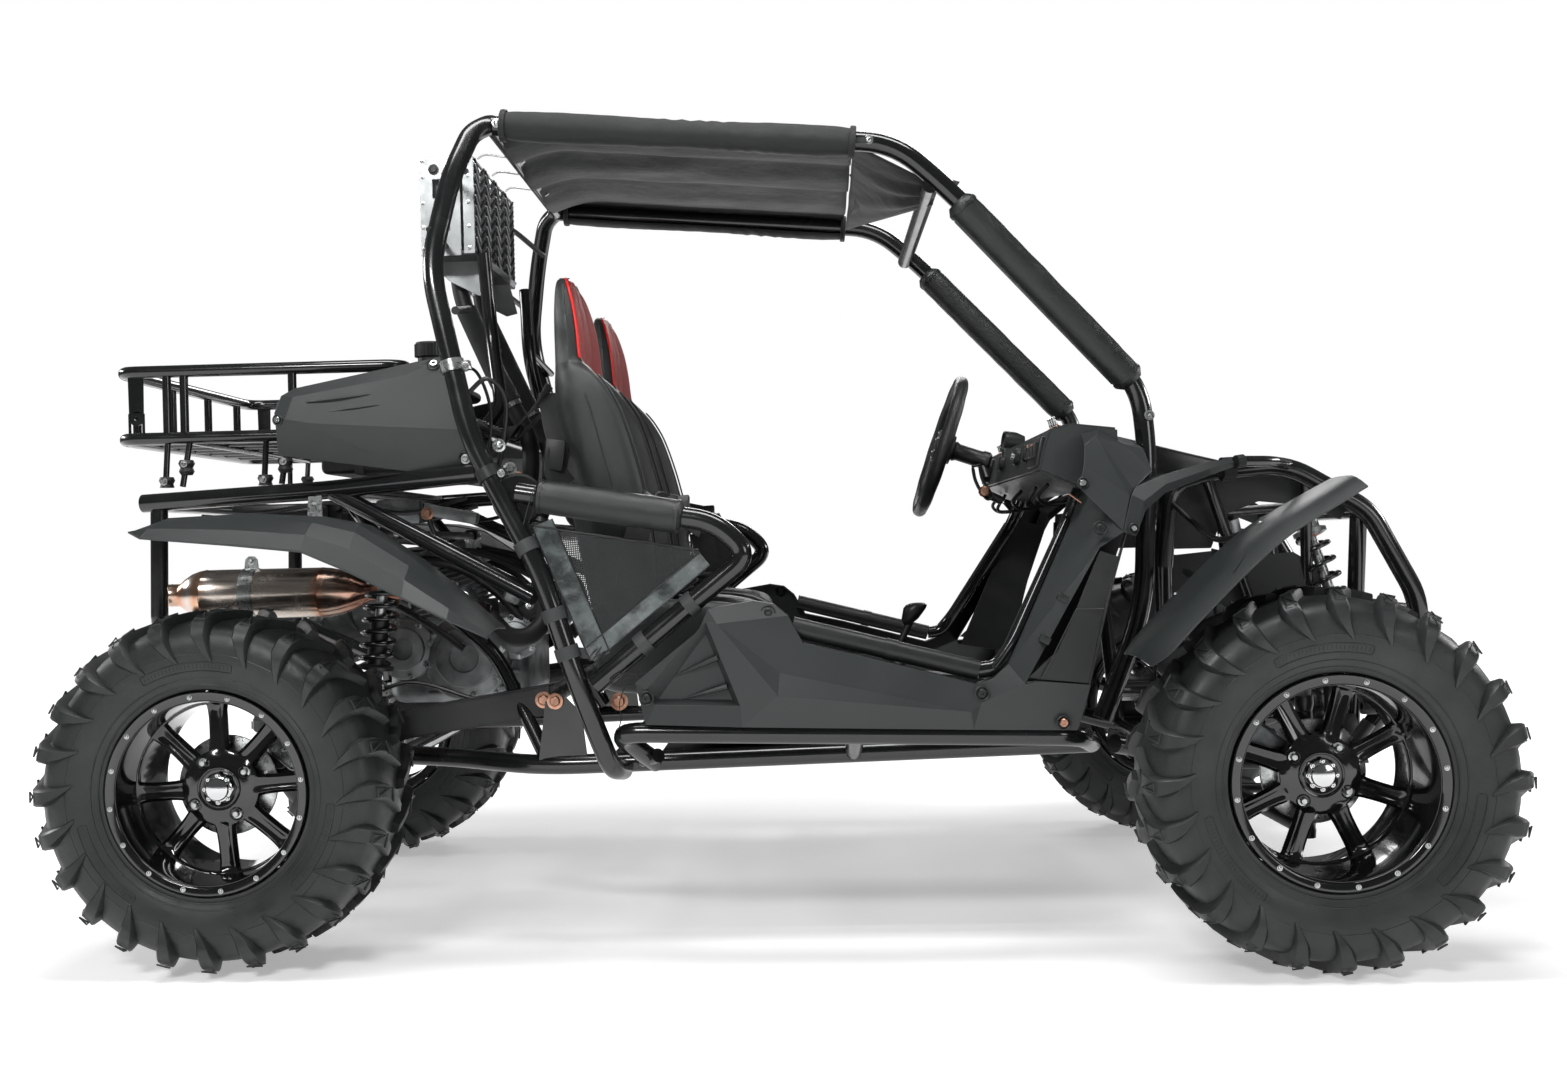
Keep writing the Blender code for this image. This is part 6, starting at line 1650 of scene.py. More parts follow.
def pipes_and_loom():
    """Coolant hoses beside the engine, the wiring and the small brackets round the bay."""
    shape = Shape()
    RUBBER, CABLE, ZINC, ALLOY = 0, 1, 2, 3
    shape.tube(smooth_path([(-0.56, -0.255, 0.628), (-0.52, -0.268, 0.59), (-0.48, -0.262, 0.585),
        (-0.452, -0.24, 0.61), (-0.448, -0.21, 0.65), (-0.47, -0.18, 0.69)]), 0.019, 16, mat=RUBBER)
    shape.tube(smooth_path([(-0.47, 0.25, 0.56), (-0.44, 0.262, 0.6), (-0.452, 0.24, 0.68),
        (-0.5, 0.22, 0.72)]), 0.016, 14)
    for y, z in ((-0.34, 0.862), (0.32, 0.858), (-0.24, 0.848)):
        shape.tube(smooth_path([(-1.16, y, z), (-1.0, y * 1.05, z - 0.012), (-0.84, y * 1.08, z + 0.004),
            (-0.7, y * 1.05, z - 0.02), (-0.58, y, z + 0.008)]), 0.0045, 8, mat=CABLE)
    shape.tube(smooth_path([(-0.66, -0.36, 0.845), (-0.64, -0.33, 0.78), (-0.6, -0.31, 0.74),
        (-0.56, -0.3, 0.7)]), 0.005, 8, mat=CABLE)
    shape.block((0.2, 0.09, 0.05), Matrix.Translation((-0.96, -0.3, 0.842)), 0.008, CABLE)
    shape.block((0.12, 0.11, 0.06), Matrix.Translation((-1.02, 0.18, 0.835)), 0.008, CABLE)
    shape.block((0.09, 0.03, 0.05), Matrix.Translation((-0.72, -0.33, 0.845)), 0.006, ALLOY)
    shape.block((0.11, 0.03, 0.024), Matrix.Translation((-0.61, -0.35, 0.838))
        @ Matrix.Rotation(0.2, 4, "Y"), 0.005, ALLOY)
    for side in (LEFT, RIGHT):
        shape.tube(smooth_path([at(-0.47, 0.4, 0.5, side), at(-0.54, 0.41, 0.47, side),
            at(-0.7, 0.38, 0.505, side), at(-0.86, 0.372, 0.44, side), at(-0.96, 0.372, 0.4, side)]),
            0.0042, 8, mat=CABLE)
        shape.tube(smooth_path([at(-0.535, 0.52, 1.06, side), at(-0.5, 0.5, 1.09, side),
            at(-0.47, 0.48, 1.05, side), at(-0.48, 0.47, 0.96, side), at(-0.5, 0.46, 0.9, side)]), 0.0045,
            8, mat=CABLE)
        shape.tube(smooth_path([at(-0.56, 0.53, 1.095, side), at(-0.53, 0.47, 1.11, side),
            at(-0.51, 0.43, 1.04, side), at(-0.52, 0.42, 0.95, side), at(-0.545, 0.4, 0.9, side)]), 0.0032,
            8, mat=CABLE)
        shape.bolt(at(-0.47, 0.455, 0.92, side), (0.3, side, 0.2), 0.009, 0.01, ZINC)
        # belt tensioner reel on the post behind each seat
        shape.lathe([(0, -0.03), (0.045, -0.03), (0.05, -0.024), (0.05, 0.024), (0.045, 0.03), (0, 0.03)],
            at(-0.455, 0.455, 0.86, side), (0.2, side, 0), 28, CABLE)
    piece("bay_hoses", shape, ("rubber", "cable", "bolt_zinc", "cast_alloy"), "rubber")


pipes_and_loom()


def radiator():
    """Core, riveted side plates with slots, and a louvred guard that faces forward."""
    shape = Shape()
    PLATE, CORE, DARK, ZINC = 0, 1, 2, 3
    shape.block((0.07, 0.4, 0.196), Matrix.Translation((-0.636, 0, 1.482)), 0.003, CORE)
    for k in range(30):  # core fins
        shape.block((0.074, 0.396, 0.0012), Matrix.Translation((-0.636, 0, 1.39 + 0.0062 * k)), 0, CORE)
    for z, h in ((1.581, 0.01), (1.386, 0.012)):
        shape.block((0.112, 0.436, h), Matrix.Translation((-0.633, 0, z)), 0.002, DARK)
    for side in (LEFT, RIGHT):
        flat = Matrix.Rotation(math.pi / 2, 4, "X")
        for x0, x1 in ((-0.69, -0.664), (-0.628, -0.606)):
            shape.slab([(x0, 1.38), (x1, 1.38), (x1, 1.588), (x0, 1.588)], 0.002,
                Matrix.Translation((0, 0.219 * side, 0)) @ flat, 0.0006, PLATE)
        for z0, z1 in ((1.38, 1.432), (1.47, 1.5), (1.54, 1.588)):
            shape.slab([(-0.665, z0), (-0.627, z0), (-0.627, z1), (-0.665, z1)], 0.002,
                Matrix.Translation((0, 0.219 * side, 0)) @ flat, 0.0004, PLATE)
        shape.slab([(-0.6, 1.384), (-0.577, 1.384), (-0.577, 1.584), (-0.6, 1.584)], 0.002,
            Matrix.Translation((0, 0.2195 * side, 0)) @ flat, 0.0006, PLATE)
        for z in (1.395, 1.44, 1.49, 1.545, 1.578):
            for x in (-0.684, -0.588):
                shape.bolt((x, 0.22 * side, z), (0, side, 0), 0.003, 0.0022, ZINC, "dome")
        shape.bolt((-0.66, 0.22 * side, 1.56), (0, side, 0), 0.0075, 0.004, DARK)
        shape.block((0.03, 0.024, 0.016), Matrix.Translation((-0.625, 0.16 * side, 1.594)), 0.002, PLATE)
        # lower bracket and the arms to the hoop
        shape.slab([(-0.69, 1.38), (-0.577, 1.38), (-0.56, 1.312), (-0.585, 1.306), (-0.65, 1.34)], 0.003,
            Matrix.Translation((0, 0.15 * side, 0)) @ flat, 0.0008, PLATE)
        shape.tube([at(-0.64, 0.215, 1.55, side), at(-0.6, 0.33, 1.545, side),
            at(-0.545, 0.44, 1.5, side)], 0.0065, 10, bend=0.04, mat=DARK)
        shape.tube([at(-0.64, 0.215, 1.4, side), at(-0.615, 0.35, 1.385, side),
            at(-0.597, 0.53, 1.37, side)], 0.0065, 10, bend=0.04, mat=DARK)
    shape.block((0.002, 0.43, 0.204), Matrix.Translation((-0.579, 0, 1.484)), 0.0006, PLATE)
    for column in range(8):
        for row in range(17):
            y = -0.189 + 0.054 * column
            z = 1.396 + 0.011 * row
            lean = 0.55 if column % 2 else -0.55
            shape.block((0.005, 0.046, 0.0022), Matrix.Translation((-0.5762, y, z))
                @ Matrix.Rotation(lean, 4, "X") @ Matrix.Rotation(0.5, 4, "Y"), 0,
                PLATE if row % 2 else DARK)
    for y in (-0.214, 0.214):
        for k in range(7):
            shape.bolt((-0.5776, y, 1.394 + 0.03 * k), (1, 0, 0), 0.0028, 0.0022, ZINC, "dome")
    shape.slab([(-0.577, -0.2), (-0.56, -0.15), (-0.56, 0.15), (-0.577, 0.2)], 0.003,
        Matrix.Translation((0, 0, 1.382)), 0.0008, PLATE)
    piece("radiator_unit", shape, ("sheet_alloy", "core_alloy", "satin_black", "bolt_zinc"), "alloy",
        stands_for="radiator", smooth=30)
    hoses = Shape()
    for side in (LEFT, RIGHT):
        line = [at(-0.64, 0.11, 1.372, side), at(-0.63, 0.11, 1.3, side), at(-0.552, 0.121, 1.125, side),
                at(-0.486, 0.121, 1.0, side), at(-0.49, 0.121, 0.9, side), at(-0.53, 0.121, 0.792, side)]
        hoses.tube(rounded(line, 0.05, 6), 0.018, 20, mat=0)
        hoses.tube([line[1].lerp(line[2], 0.1), line[2], line[2].lerp(line[3], 0.35)], 0.0225, 20,
            bend=0.03, mat=1)
        for a, b, t in ((0, 1, 0.25), (4, 5, 0.6), (2, 3, 0.4)):
            hoses.lathe([(0.0186, -0.005), (0.0204, -0.005), (0.0204, 0.005), (0.0186, 0.005)],
                line[a].lerp(line[b], t), line[b] - line[a], 24, 2, closed=True)
    hoses.tube([(-0.594, -0.13, 1.22), (-0.594, 0.13, 1.22)], 0.006, 10, mat=2)
    piece("coolant_hoses", hoses, ("rubber", "hose_sleeve", "bolt_zinc"), "rubber",
        stands_for="cooling_hoses")


radiator()


def tank_and_silencer():
    """The fuel tank and the heat-tinted silencer with its strap and pipe."""
    shape = Shape()
    shape.block((0.26, 0.66, 0.045), Matrix.Translation((-0.75, 0, 0.9475)), 0.012, 0, 3)
    for x in (-0.8, -0.7):
        shape.block((0.02, 0.664, 0.049), Matrix.Translation((x, 0, 0.9475)), 0.004, 1)
    centre = (-0.655, -0.3, 0)
    shape.lathe([(0.022, 0.96), (0.022, 1.148), (0.027, 1.15), (0.027, 1.158), (0.024, 1.16), (0.0, 1.16)],
        centre, (0, 0, 1), 32, 0)
    ribs = []
    for k in range(72):
        a = 2 * math.pi * k / 72
        r = 0.0338 if k % 2 else 0.0318
        ribs.append((r * math.cos(a), r * math.sin(a)))
    shape.slab(ribs, 0.026, Matrix.Translation((-0.655, -0.3, 1.172)), 0.0006, 0)
    shape.lathe([(0.0318, 1.184), (0.03, 1.1885), (0.018, 1.1895), (0.017, 1.187), (0, 1.187)], centre,
        (0, 0, 1), 48, 0)
    piece("fuel_tank_shell", shape, ("dark_plastic", "strap_rubber"), "rubber", stands_for="fuel_tank")

    y, z = -0.295, 0.686
    body = Shape()
    STEEL, STRAP, HEADER = 0, 1, 2
    body.lathe([(0.0185, -1.2285), (0.0225, -1.229), (0.023, -1.227), (0.023, -1.206), (0.0236, -1.204),
        (0.023, -1.202), (0.023, -1.188), (0.025, -1.183), (0.0345, -1.172), (0.0435, -1.158),
        (0.049, -1.142), (0.0503, -1.133), (0.0512, -1.131), (0.0503, -1.129), (0.0508, -1.1),
        (0.0508, -0.892), (0.0514, -0.89), (0.0508, -0.888), (0.0496, -0.872), (0.045, -0.85),
        (0.037, -0.826), (0.027, -0.806), (0.0195, -0.792), (0.019, -0.775), (0.0, -0.775)], (0, y, z),
        (1, 0, 0), 64, STEEL)
    body.lathe([(0.0185, -1.2285), (0.0185, -1.19), (0.0, -1.188)], (0, y, z), (1, 0, 0), 32, STRAP)
    body.lathe([(0.051, -1.052), (0.0526, -1.052), (0.0526, -1.024), (0.051, -1.024)], (0, y, z),
        (1, 0, 0), 64, STRAP, closed=True)
    body.slab([(-0.015, 0.0), (0.015, 0.0), (0.013, 0.02), (0.006, 0.027), (-0.006, 0.027),
        (-0.013, 0.02)], 0.003, Matrix.Translation((-1.038, y, z + 0.05))
        @ Matrix.Rotation(math.pi / 2, 4, "X"), 0.0008, STRAP)
    body.bolt((-1.038, y - 0.002, z + 0.067), (0, -1, 0), 0.0055, 0.006, STRAP)
    body.tube(smooth_path([(-0.79, y, z), (-0.74, y - 0.006, z + 0.001), (-0.69, y - 0.01, z - 0.006),
        (-0.64, y + 0.004, 0.665), (-0.6, y + 0.02, 0.65), (-0.56, -0.26, 0.636)]), 0.0188, 20, mat=HEADER)
    piece("silencer", body, ("silencer", "bolt_zinc", "header"), "steel", stands_for="muffler", smooth=50)


tank_and_silencer()


def rear_drive():
    """Swing arms, the dampers at all four wheels, and the axle with its shafts."""
    shape = Shape()
    FRAME, ZINC, COPPER, RUBBER = 0, 1, 2, 3
    for side in (LEFT, RIGHT):
        outline = [(-0.405, 0.5), (-0.405, 0.44), (-0.69, 0.398), (-0.99, 0.3), (-1.04, 0.335),
            (-0.99, 0.372), (-0.69, 0.456)]
        shape.side_slab(outline, 0.385 * side, 0.425 * side, 0.004, FRAME)
        shape.tube([at(-0.4, 0.32, 0.47, side), at(-0.7, 0.395, 0.428, side)], 0.016, 14)
        shape.lathe([(0, 0.39), (0.044, 0.39), (0.048, 0.394), (0.048, 0.436), (0.044, 0.44),
            (0.02, 0.442), (0.018, 0.448), (0.018, 0.569), (0, 0.569)], (REAR_X, 0, 0.335), (0, side, 0),
            32, FRAME)
        shape.block((0.06, 0.03, 0.06), Matrix.Translation(at(-0.765, 0.4015, 0.45, side)), 0.004, FRAME)
        shape.bolt(at(-0.765, 0.4255, 0.475, side), (0, side, 0), 0.008, 0.008, COPPER)
        shape.bolt(at(-0.42, 0.4255, 0.47, side), (0, side, 0), 0.011, 0.008, COPPER)
        for k in range(4):
            a = math.pi / 2 * k + 0.6
            shape.bolt(at(REAR_X + 0.036 * math.cos(a), 0.44, 0.335 + 0.036 * math.sin(a), side),
                (0, side, 0), 0.005, 0.005, ZINC)
        # brake caliper on the carrier
        shape.block((0.07, 0.034, 0.05), Matrix.Translation(at(REAR_X + 0.085, 0.47, 0.385, side))
            @ Matrix.Rotation(0.7, 4, "Y"), 0.01, ZINC, 3)
        shape.block((0.03, 0.05, 0.04), Matrix.Translation(at(REAR_X + 0.06, 0.445, 0.37, side)), 0.006,
            FRAME)
    shape.tube([(-0.415, -0.42, 0.47), (-0.415, 0.42, 0.47)], 0.018, 18)
    piece("swing_arms", shape, ("satin_black", "bolt_zinc", "bolt_copper", "rubber"), "frame",
        stands_for="rear_swing_arms")

    def damper(shape, foot, head, coil_r, wire, turns, body_mat, cap_mat):
        foot, head = Vector(foot), Vector(head)
        axis = (head - foot).normalized()
        length = (head - foot).length
        for end in (foot, head):
            shape.lathe([(0.008, -0.014), (0.016, -0.014), (0.017, 0.0), (0.016, 0.014), (0.008, 0.014)],
                end, (1, 0, 0), 24, 0, closed=True)
            shape.bolt(end + Vector((0.014, 0, 0)), (1, 0, 0), 0.0075, 0.007, 3)
        r = coil_r - wire
        shape.lathe([(0, 0.01), (0.014, 0.012), (0.016, 0.03), (r + wire, 0.034), (r + wire, 0.04),
            (0.018, 0.044), (0.018, length * 0.45), (0.0105, length * 0.45 + 0.002),
            (0.0105, length * 0.84), (0.022, length * 0.845), (r + wire * 0.9, length * 0.855),
            (r + wire * 0.9, length * 0.875), (0.022, length * 0.885), (0.022, length - 0.018),
            (0.012, length - 0.01), (0, length - 0.01)], foot, axis, 28,
            [0, 0, 0, 0, 0, 0, body_mat, 3, body_mat, cap_mat, cap_mat, cap_mat, cap_mat, 0, 0])
        shape.coil(foot + axis * 0.044, foot + axis * (length * 0.85), r, wire, turns, 1)

    shape = Shape()
    for side in (LEFT, RIGHT):
        damper(shape, at(-0.765, 0.386, 0.5, side), at(-0.73, 0.383, 0.8, side), 0.036, 0.0052, 8.5, 0, 0)
    shape.tube([(-0.73, -0.396, 0.8), (-0.73, 0.396, 0.8)], 0.01, 12)
    piece("rear_coilovers", shape, ("satin_black", "gloss_black", "red_paint", "bolt_zinc"), "spring",
        stands_for="rear_shocks")
    shape = Shape()
    for side in (LEFT, RIGHT):
        damper(shape, at(1.19, 0.352, 0.42, side), at(1.092, 0.272, 0.815, side), 0.033, 0.0048, 9.5, 4, 5)
    shape.tube([(1.092, -0.288, 0.815), (1.092, 0.288, 0.815)], 0.01, 12)
    piece("front_coilovers", shape, ("satin_black", "gloss_black", "red_paint", "bolt_zinc",
        "orange_paint", "sheet_alloy"), "spring", stands_for="front_shocks")

    shape = Shape()
    ALLOY, RUBBER, STEEL, ZINC = 0, 1, 2, 3
    x, z = REAR_X, 0.335
    shape.lathe([(0, -0.075), (0.05, -0.075), (0.06, -0.06), (0.08, -0.04), (0.085, -0.01), (0.085, 0.01),
        (0.08, 0.04), (0.06, 0.06), (0.05, 0.075), (0, 0.075)], (x, 0, z), (0, 1, 0), 40, ALLOY)
    for k in range(10):
        a = 2 * math.pi * k / 10
        shape.bolt((x + 0.076 * math.cos(a), -0.036, z + 0.076 * math.sin(a)), (0, -1, 0), 0.005, 0.006,
            ZINC)
    shape.tube([(x, 0, z), (-0.8, 0, 0.368)], [0.045, 0.04], 24, mat=ALLOY)
    for side in (LEFT, RIGHT):
        shape.tube([at(x, 0.07, z, side), at(x, 0.384, z, side)], 0.014, 16, mat=STEEL)
        for low, high in ((0.09, 0.15), (0.38, 0.32)):
            rows = []
            for k in range(13):
                t = k / 12
                rows.append(((0.036 - 0.016 * t) * (1.0 if k % 2 else 0.88),
                    (low + (high - low) * t) * 1.0))
            shape.lathe([(0.0, low)] + rows + [(0.0, high)], (x, 0, z), (0, side, 0), 28, RUBBER)
    piece("drive_shafts", shape, ("cast_alloy", "rubber", "satin_black", "bolt_zinc"), "alloy",
        stands_for="drive_axle")


rear_drive()


# ---------------------------------------------------------------- front suspension and steering

def front_end():
    """Wishbones, uprights, and the rack with its tie rods."""
    shape = Shape()
    for side in (LEFT, RIGHT):
        ball = at(FRONT_X, KINGPIN_Y, 0.222, side)
        for foot in ((1.15, 0.2, 0.292), (0.86, 0.2, 0.292)):
            shape.tube([ball, at(*foot, side)], 0.014, 16)
            shape.lathe([(0.0, -0.018), (0.019, -0.018), (0.019, 0.018), (0.0, 0.018)], at(*foot, side),
                (1, 0, 0), 20)
        shape.tube([at(1.15, 0.2, 0.292, side), at(0.86, 0.2, 0.292, side)], 0.014, 14)
        shape.lathe([(0, -0.0138), (0.016, -0.0138), (0.017, 0.0), (0.014, 0.0138), (0, 0.0138)], ball,
            (0, 0, 1), 24)
        shape.tube([at(1.092, 0.35, 0.262, side), at(1.19, 0.352, 0.388, side)], 0.014, 14)
        shape.tube([at(1.1, 0.33, 0.256, side), at(0.905, 0.33, 0.262, side)], 0.01, 12)
    shape.tube([(1.13, -0.2, 0.292), (1.13, 0.2, 0.292)], 0.014, 14)
    piece("lower_wishbones", shape, "satin_black", "frame", stands_for="front_lower_arms")
    shape = Shape()
    for side in (LEFT, RIGHT):
        ball = at(FRONT_X, KINGPIN_Y, 0.452, side)
        for foot in ((1.11, 0.225, 0.5), (0.9, 0.225, 0.5)):
            shape.tube([ball, at(*foot, side)], 0.012, 16)
            shape.lathe([(0.0, -0.016), (0.017, -0.016), (0.017, 0.016), (0.0, 0.016)], at(*foot, side),
                (1, 0, 0), 20)
        shape.tube([at(1.11, 0.225, 0.5, side), at(0.9, 0.225, 0.5, side)], 0.012, 14)
        shape.lathe([(0, -0.0138), (0.014, -0.0138), (0.017, 0.0), (0.016, 0.0138), (0, 0.0138)], ball,
            (0, 0, 1), 24)
        shape.tube([at(1.06, 0.4, 0.482, side), at(0.935, 0.4, 0.482, side)], 0.008, 12)
    shape.tube([(0.9, -0.225, 0.5), (0.9, 0.225, 0.5)], 0.012, 14)
    piece("upper_wishbones", shape, "satin_black", "frame", stands_for="front_upper_arms")

    for name, side in SIDES.items():
        shape = Shape()
        shape.tube([at(FRONT_X, KINGPIN_Y, 0.2408, side), at(FRONT_X, KINGPIN_Y, 0.3, side),
            at(FRONT_X, KINGPIN_Y, 0.335, side), at(FRONT_X, KINGPIN_Y, 0.375, side),
            at(FRONT_X, KINGPIN_Y, 0.4372, side)], [0.015, 0.017, 0.026, 0.017, 0.014], 20)
        shape.lathe([(0, 0.56), (0.036, 0.562), (0.04, 0.57), (0.04, 0.604), (0.03, 0.608), (0.03, 0.618),
            (0, 0.618)], (FRONT_X, 0, TYRE_R), (0, side, 0), 32)
        arm = [at(FRONT_X, KINGPIN_Y, 0.385, side), at(FRONT_X - STEER_ARM, KINGPIN_Y, 0.385, side)]
        shape.tube(arm, 0.011, 14)
        shape.lathe([(0, -0.0105), (0.016, -0.0105), (0.016, 0.013), (0, 0.013)], arm[1], (0, 0, 1), 24)
        shape.bolt(arm[1] + Vector((0, 0, 0.013)), (0, 0, 1), 0.0085, 0.007, 1)
        shape.block((0.07, 0.036, 0.052), Matrix.Translation(at(FRONT_X - 0.08, 0.602, TYRE_R + 0.052,
            side)) @ Matrix.Rotation(0.6, 4, "Y"), 0.01, 1, 3)
        shape.block((0.06, 0.02, 0.03), Matrix.Translation(at(FRONT_X - 0.045, 0.592, TYRE_R + 0.03, side))
            @ Matrix.Rotation(0.6, 4, "Y"), 0.004, 0)
        shape.tube(smooth_path([at(FRONT_X - 0.08, 0.59, TYRE_R + 0.07, side),
            at(FRONT_X - 0.06, 0.56, TYRE_R + 0.11, side), at(FRONT_X - 0.02, 0.56, TYRE_R + 0.08, side)]),
            0.0035, 8, mat=2)
        piece(f"upright_{name}", shape, ("satin_black", "cast_alloy", "cable"), "frame", f"knuckle_{name}",
            f"knuckle_{name}")

    shape = Shape()
    x = FRONT_X - STEER_ARM
    shape.tube([(x, -0.17, 0.4), (x, 0.17, 0.4)], 0.012, 18)
    for side in (LEFT, RIGHT):
        shape.tube([at(x, 0.165, 0.4, side), at(x, KINGPIN_Y, 0.361, side)], 0.008, 14)
        shape.lathe([(0, -0.011), (0.013, -0.011), (0.013, 0.011), (0, 0.011)],
            at(x, KINGPIN_Y, 0.361, side), (0, 0, 1), 20)
        rows = [((0.019 if k % 2 else 0.0145) - 0.0005 * k, 0.13 + 0.007 * k) for k in range(10)]
        shape.lathe([(0, 0.13)] + rows + [(0, 0.195)], (x, 0, 0.4), (0, side, 0), 24, 1)
    piece("rack_and_tie_rods", shape, ("satin_black", "rubber"), "frame", "steering_rack", "steering_rack")


front_end()


def steering():
    """The column with its slotted bracket, and the steering wheel."""
    axis = Vector((math.cos(COLUMN_LEAN), 0, -math.sin(COLUMN_LEAN)))
    shape = Shape()
    COPPER, ZINC = 1, 2
    shape.lathe([(0, 0.0306), (0.022, 0.0306), (0.024, 0.036), (0.02, 0.044), (0.02, 0.1), (0.023, 0.104),
        (0.023, 0.118), (0.018, 0.124), (0, 0.124)], WHEEL_HUB, axis, 32)
    for y in (0.226, 0.242):  # the slotted tilt bracket
        rim = smooth_path([(0.492, y, 0.935), (0.497, y, 0.905), (0.508, y, 0.88), (0.524, y, 0.858),
            (0.536, y, 0.862), (0.528, y, 0.88), (0.514, y, 0.905), (0.508, y, 0.938)], 4)
        shape.tube(rim, 0.0032, 8, cyclic=True)
    shape.tube([(0.515, 0.27, 0.948), (0.525, 0.24, 0.905)], 0.01, 14)
    shape.tube([(0.52, 0.236, 0.872), (0.56, 0.236, 0.852)], 0.01, 14)
    shape.lathe([(0.0, -0.012), (0.011, -0.012), (0.0135, -0.008), (0.0135, 0.004), (0.01, 0.008),
        (0, 0.009)], (0.5165, 0.219, 0.875), (0, -1, 0), 10, COPPER)
    shape.tube([(0.5165, 0.214, 0.875), (0.5165, 0.244, 0.875)], 0.0045, 10, mat=ZINC)
    piece("column_assembly", shape, ("satin_black", "bolt_copper", "bolt_zinc"), "frame",
        stands_for="steering_column")

    rim_r, grip = 0.158, 0.0158
    place = Matrix.Translation(WHEEL_HUB) @ Matrix.Rotation(math.pi / 2 + COLUMN_LEAN, 4, "Y")
    shape = Shape()
    path = [Vector((rim_r * math.cos(a), rim_r * math.sin(a), 0)) for a in [2 * math.pi * k / 96
        for k in range(96)]]
    shape.tube(path, [grip * (1 + 0.025 * math.cos(12 * 2 * math.pi * k / 96)) for k in range(96)], 20,
        cyclic=True)
    for k in range(3):
        a = math.radians((90, -90, 0)[k])
        out = Vector((math.cos(a), math.sin(a), 0))
        side = Vector((-out.y, out.x, 0))
        rows = []
        for t, w, lift in ((0.02, 0.026, 0.016), (0.3, 0.02, 0.014), (0.6, 0.0155, 0.008),
                (0.92, 0.018, 0.0)):
            p = out * (rim_r * t) + Vector((0, 0, lift - 0.004))
            rows.append([p + side * w + Vector((0, 0, -0.003)), p + side * w * 0.8 + Vector((0, 0, 0.003)),
                p - side * w * 0.8 + Vector((0, 0, 0.003)), p - side * w + Vector((0, 0, -0.003))])
        shape.skin(rows, 0)
    shape.lathe([(0, 0.03), (0.034, 0.03), (0.036, 0.024), (0.036, 0.004), (0.04, -0.004), (0.038, -0.01),
        (0.028, -0.013), (0, -0.014)], (0, 0, 0), (0, 0, 1), 40, 0)
    for k in range(6):
        a = 2 * math.pi * k / 6
        shape.bolt((0.031 * math.cos(a), 0.031 * math.sin(a), -0.012), (0, 0, -1), 0.0028, 0.002, 1,
            "socket")
    shape.bm.transform(place)
    piece("wheel_rim_and_spokes", shape, ("pad_vinyl", "bolt_zinc"), "rubber", "steering_wheel",
        "steering_wheel", smooth=50)


steering()


# ---------------------------------------------------------------- floor, light and camera

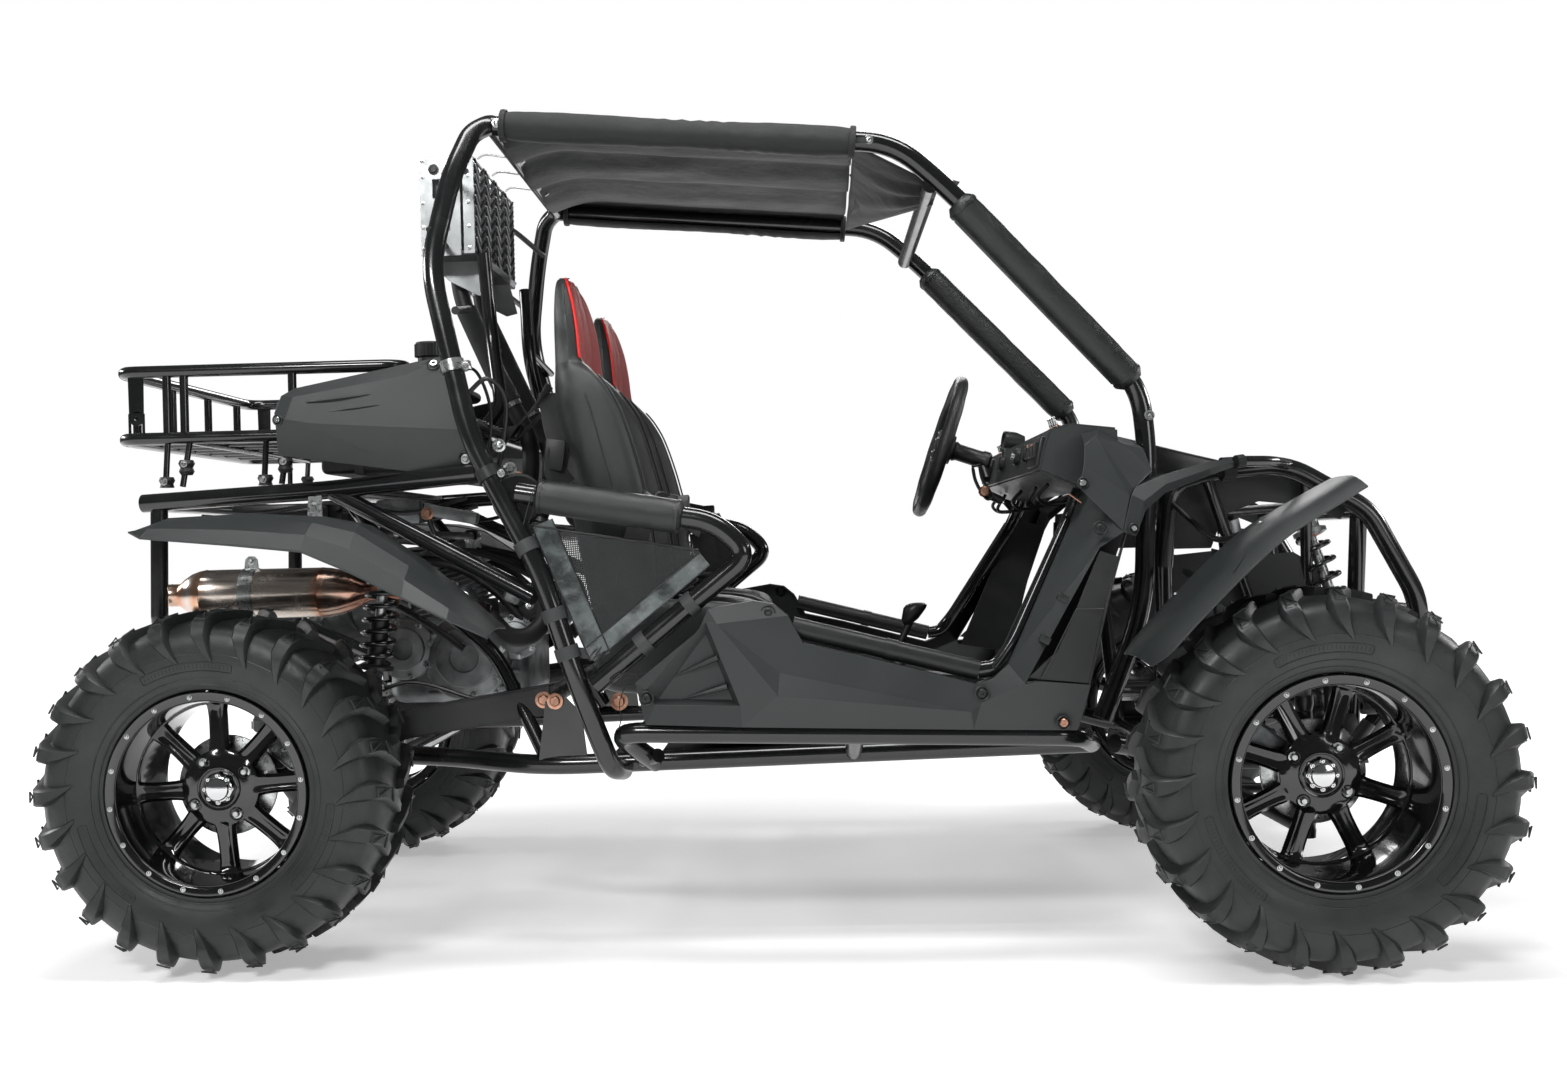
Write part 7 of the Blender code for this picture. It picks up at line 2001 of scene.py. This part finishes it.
def stage_and_camera():
    """A pale floor, soft lamps, a plain backdrop and the camera."""
    shape = Shape()
    size, step = 9.0, 18
    rows = [[Vector((-size + 2 * size * i / step, -size + 2 * size * j / step, -0.0005))
        for j in range(step + 1)] for i in range(step + 1)]
    shape.skin(rows, closed=False)
    mesh = bpy.data.meshes.new("floor")
    bmesh.ops.recalc_face_normals(shape.bm, faces=shape.bm.faces)
    shape.bm.to_mesh(mesh)
    shape.bm.free()
    floor = bpy.data.objects.new("floor", mesh)
    bpy.context.scene.collection.objects.link(floor)
    paint = bpy.data.materials.new("pale_floor")
    paint.use_nodes = True
    shader = paint.node_tree.nodes["Principled BSDF"]
    shader.inputs["Base Color"].default_value = (0.9, 0.9, 0.9, 1)
    shader.inputs["Emission Color"].default_value = (1.0, 1.0, 1.0, 1)
    tree = paint.node_tree
    spot, away, glow = (tree.nodes.new("ShaderNode" + kind) for kind in ("TexCoord", "VectorMath",
        "MapRange"))
    away.operation = "LENGTH"
    tree.links.new(spot.outputs["Object"], away.inputs[0])
    tree.links.new(away.outputs["Value"], glow.inputs["Value"])
    for socket, value in (("From Min", 1.6), ("From Max", 5.0), ("To Min", 0.36), ("To Max", 0.98)):
        glow.inputs[socket].default_value = value
    tree.links.new(glow.outputs["Result"], shader.inputs["Emission Strength"])
    shader.inputs["Roughness"].default_value = 0.9
    mesh.materials.append(paint)

    def lamp(name, place, aim, size, power, size_y=None, tint=(1, 1, 1)):
        data = bpy.data.lights.new(name, "AREA")
        data.shape = "RECTANGLE"
        data.size, data.size_y, data.energy, data.color = size, size_y or size, power, tint
        obj = bpy.data.objects.new(name, data)
        obj.location = place
        obj.rotation_euler = (Vector(aim) - Vector(place)).to_track_quat("-Z", "Y").to_euler()
        bpy.context.scene.collection.objects.link(obj)

    lamp("overhead", (0.0, -0.9, 4.0), (0, 0, 0.6), 3.4, 105, 0.8)
    lamp("side_key", (-1.6, -4.4, 3.4), (0, 0, 0.7), 1.6, 120, 0.5)
    lamp("side_fill", (3.6, -3.8, 1.6), (0.3, 0, 0.6), 1.6, 22, 1.0)
    lamp("rear_rim", (-4.4, 0.6, 2.4), (0, 0, 0.8), 2.0, 62, 0.6)
    lamp("front_rim", (4.4, 1.0, 2.2), (0, 0, 0.7), 2.0, 55, 0.6)
    lamp("far_side", (0.4, 4.6, 3.2), (0, 0, 0.7), 3.0, 60, 0.8)

    world = bpy.data.worlds.new("studio")
    bpy.context.scene.world = world
    world.use_nodes = True
    tree = world.node_tree
    ambient = tree.nodes["Background"]
    ambient.inputs["Color"].default_value = (0.82, 0.84, 0.84, 1)
    ambient.inputs["Strength"].default_value = 0.12
    backdrop = tree.nodes.new("ShaderNodeBackground")
    backdrop.inputs["Color"].default_value = (1.0, 1.0, 1.0, 1)
    backdrop.inputs["Strength"].default_value = 1.0
    rays = tree.nodes.new("ShaderNodeLightPath")
    mixer = tree.nodes.new("ShaderNodeMixShader")
    tree.links.new(rays.outputs["Is Camera Ray"], mixer.inputs[0])
    tree.links.new(ambient.outputs[0], mixer.inputs[1])
    tree.links.new(backdrop.outputs[0], mixer.inputs[2])
    tree.links.new(mixer.outputs[0], tree.nodes["World Output"].inputs["Surface"])
    bpy.context.scene.view_settings.view_transform = "Standard"

    yaw, pitch, roll = -0.0399, -0.0057, -0.0231
    ahead = Vector((math.sin(yaw) * math.cos(pitch), math.cos(yaw) * math.cos(pitch), math.sin(pitch)))
    right = Vector((math.cos(yaw), -math.sin(yaw), 0))
    up = right.cross(ahead)
    across = right * math.cos(roll) + up * math.sin(roll)
    upward = up * math.cos(roll) - right * math.sin(roll)
    data = bpy.data.cameras.new("camera")
    data.sensor_width, data.sensor_fit = 36.0, "HORIZONTAL"
    data.lens, data.shift_x, data.shift_y = 35.527, 0.02295, 0.00947
    camera = bpy.data.objects.new("camera", data)
    place = Matrix.Translation((0.1038, -3.4199, 0.7605))
    camera.matrix_world = place @ Matrix((across, upward, -ahead)).transposed().to_4x4()
    bpy.context.scene.collection.objects.link(camera)
    bpy.context.scene.camera = camera


stage_and_camera()
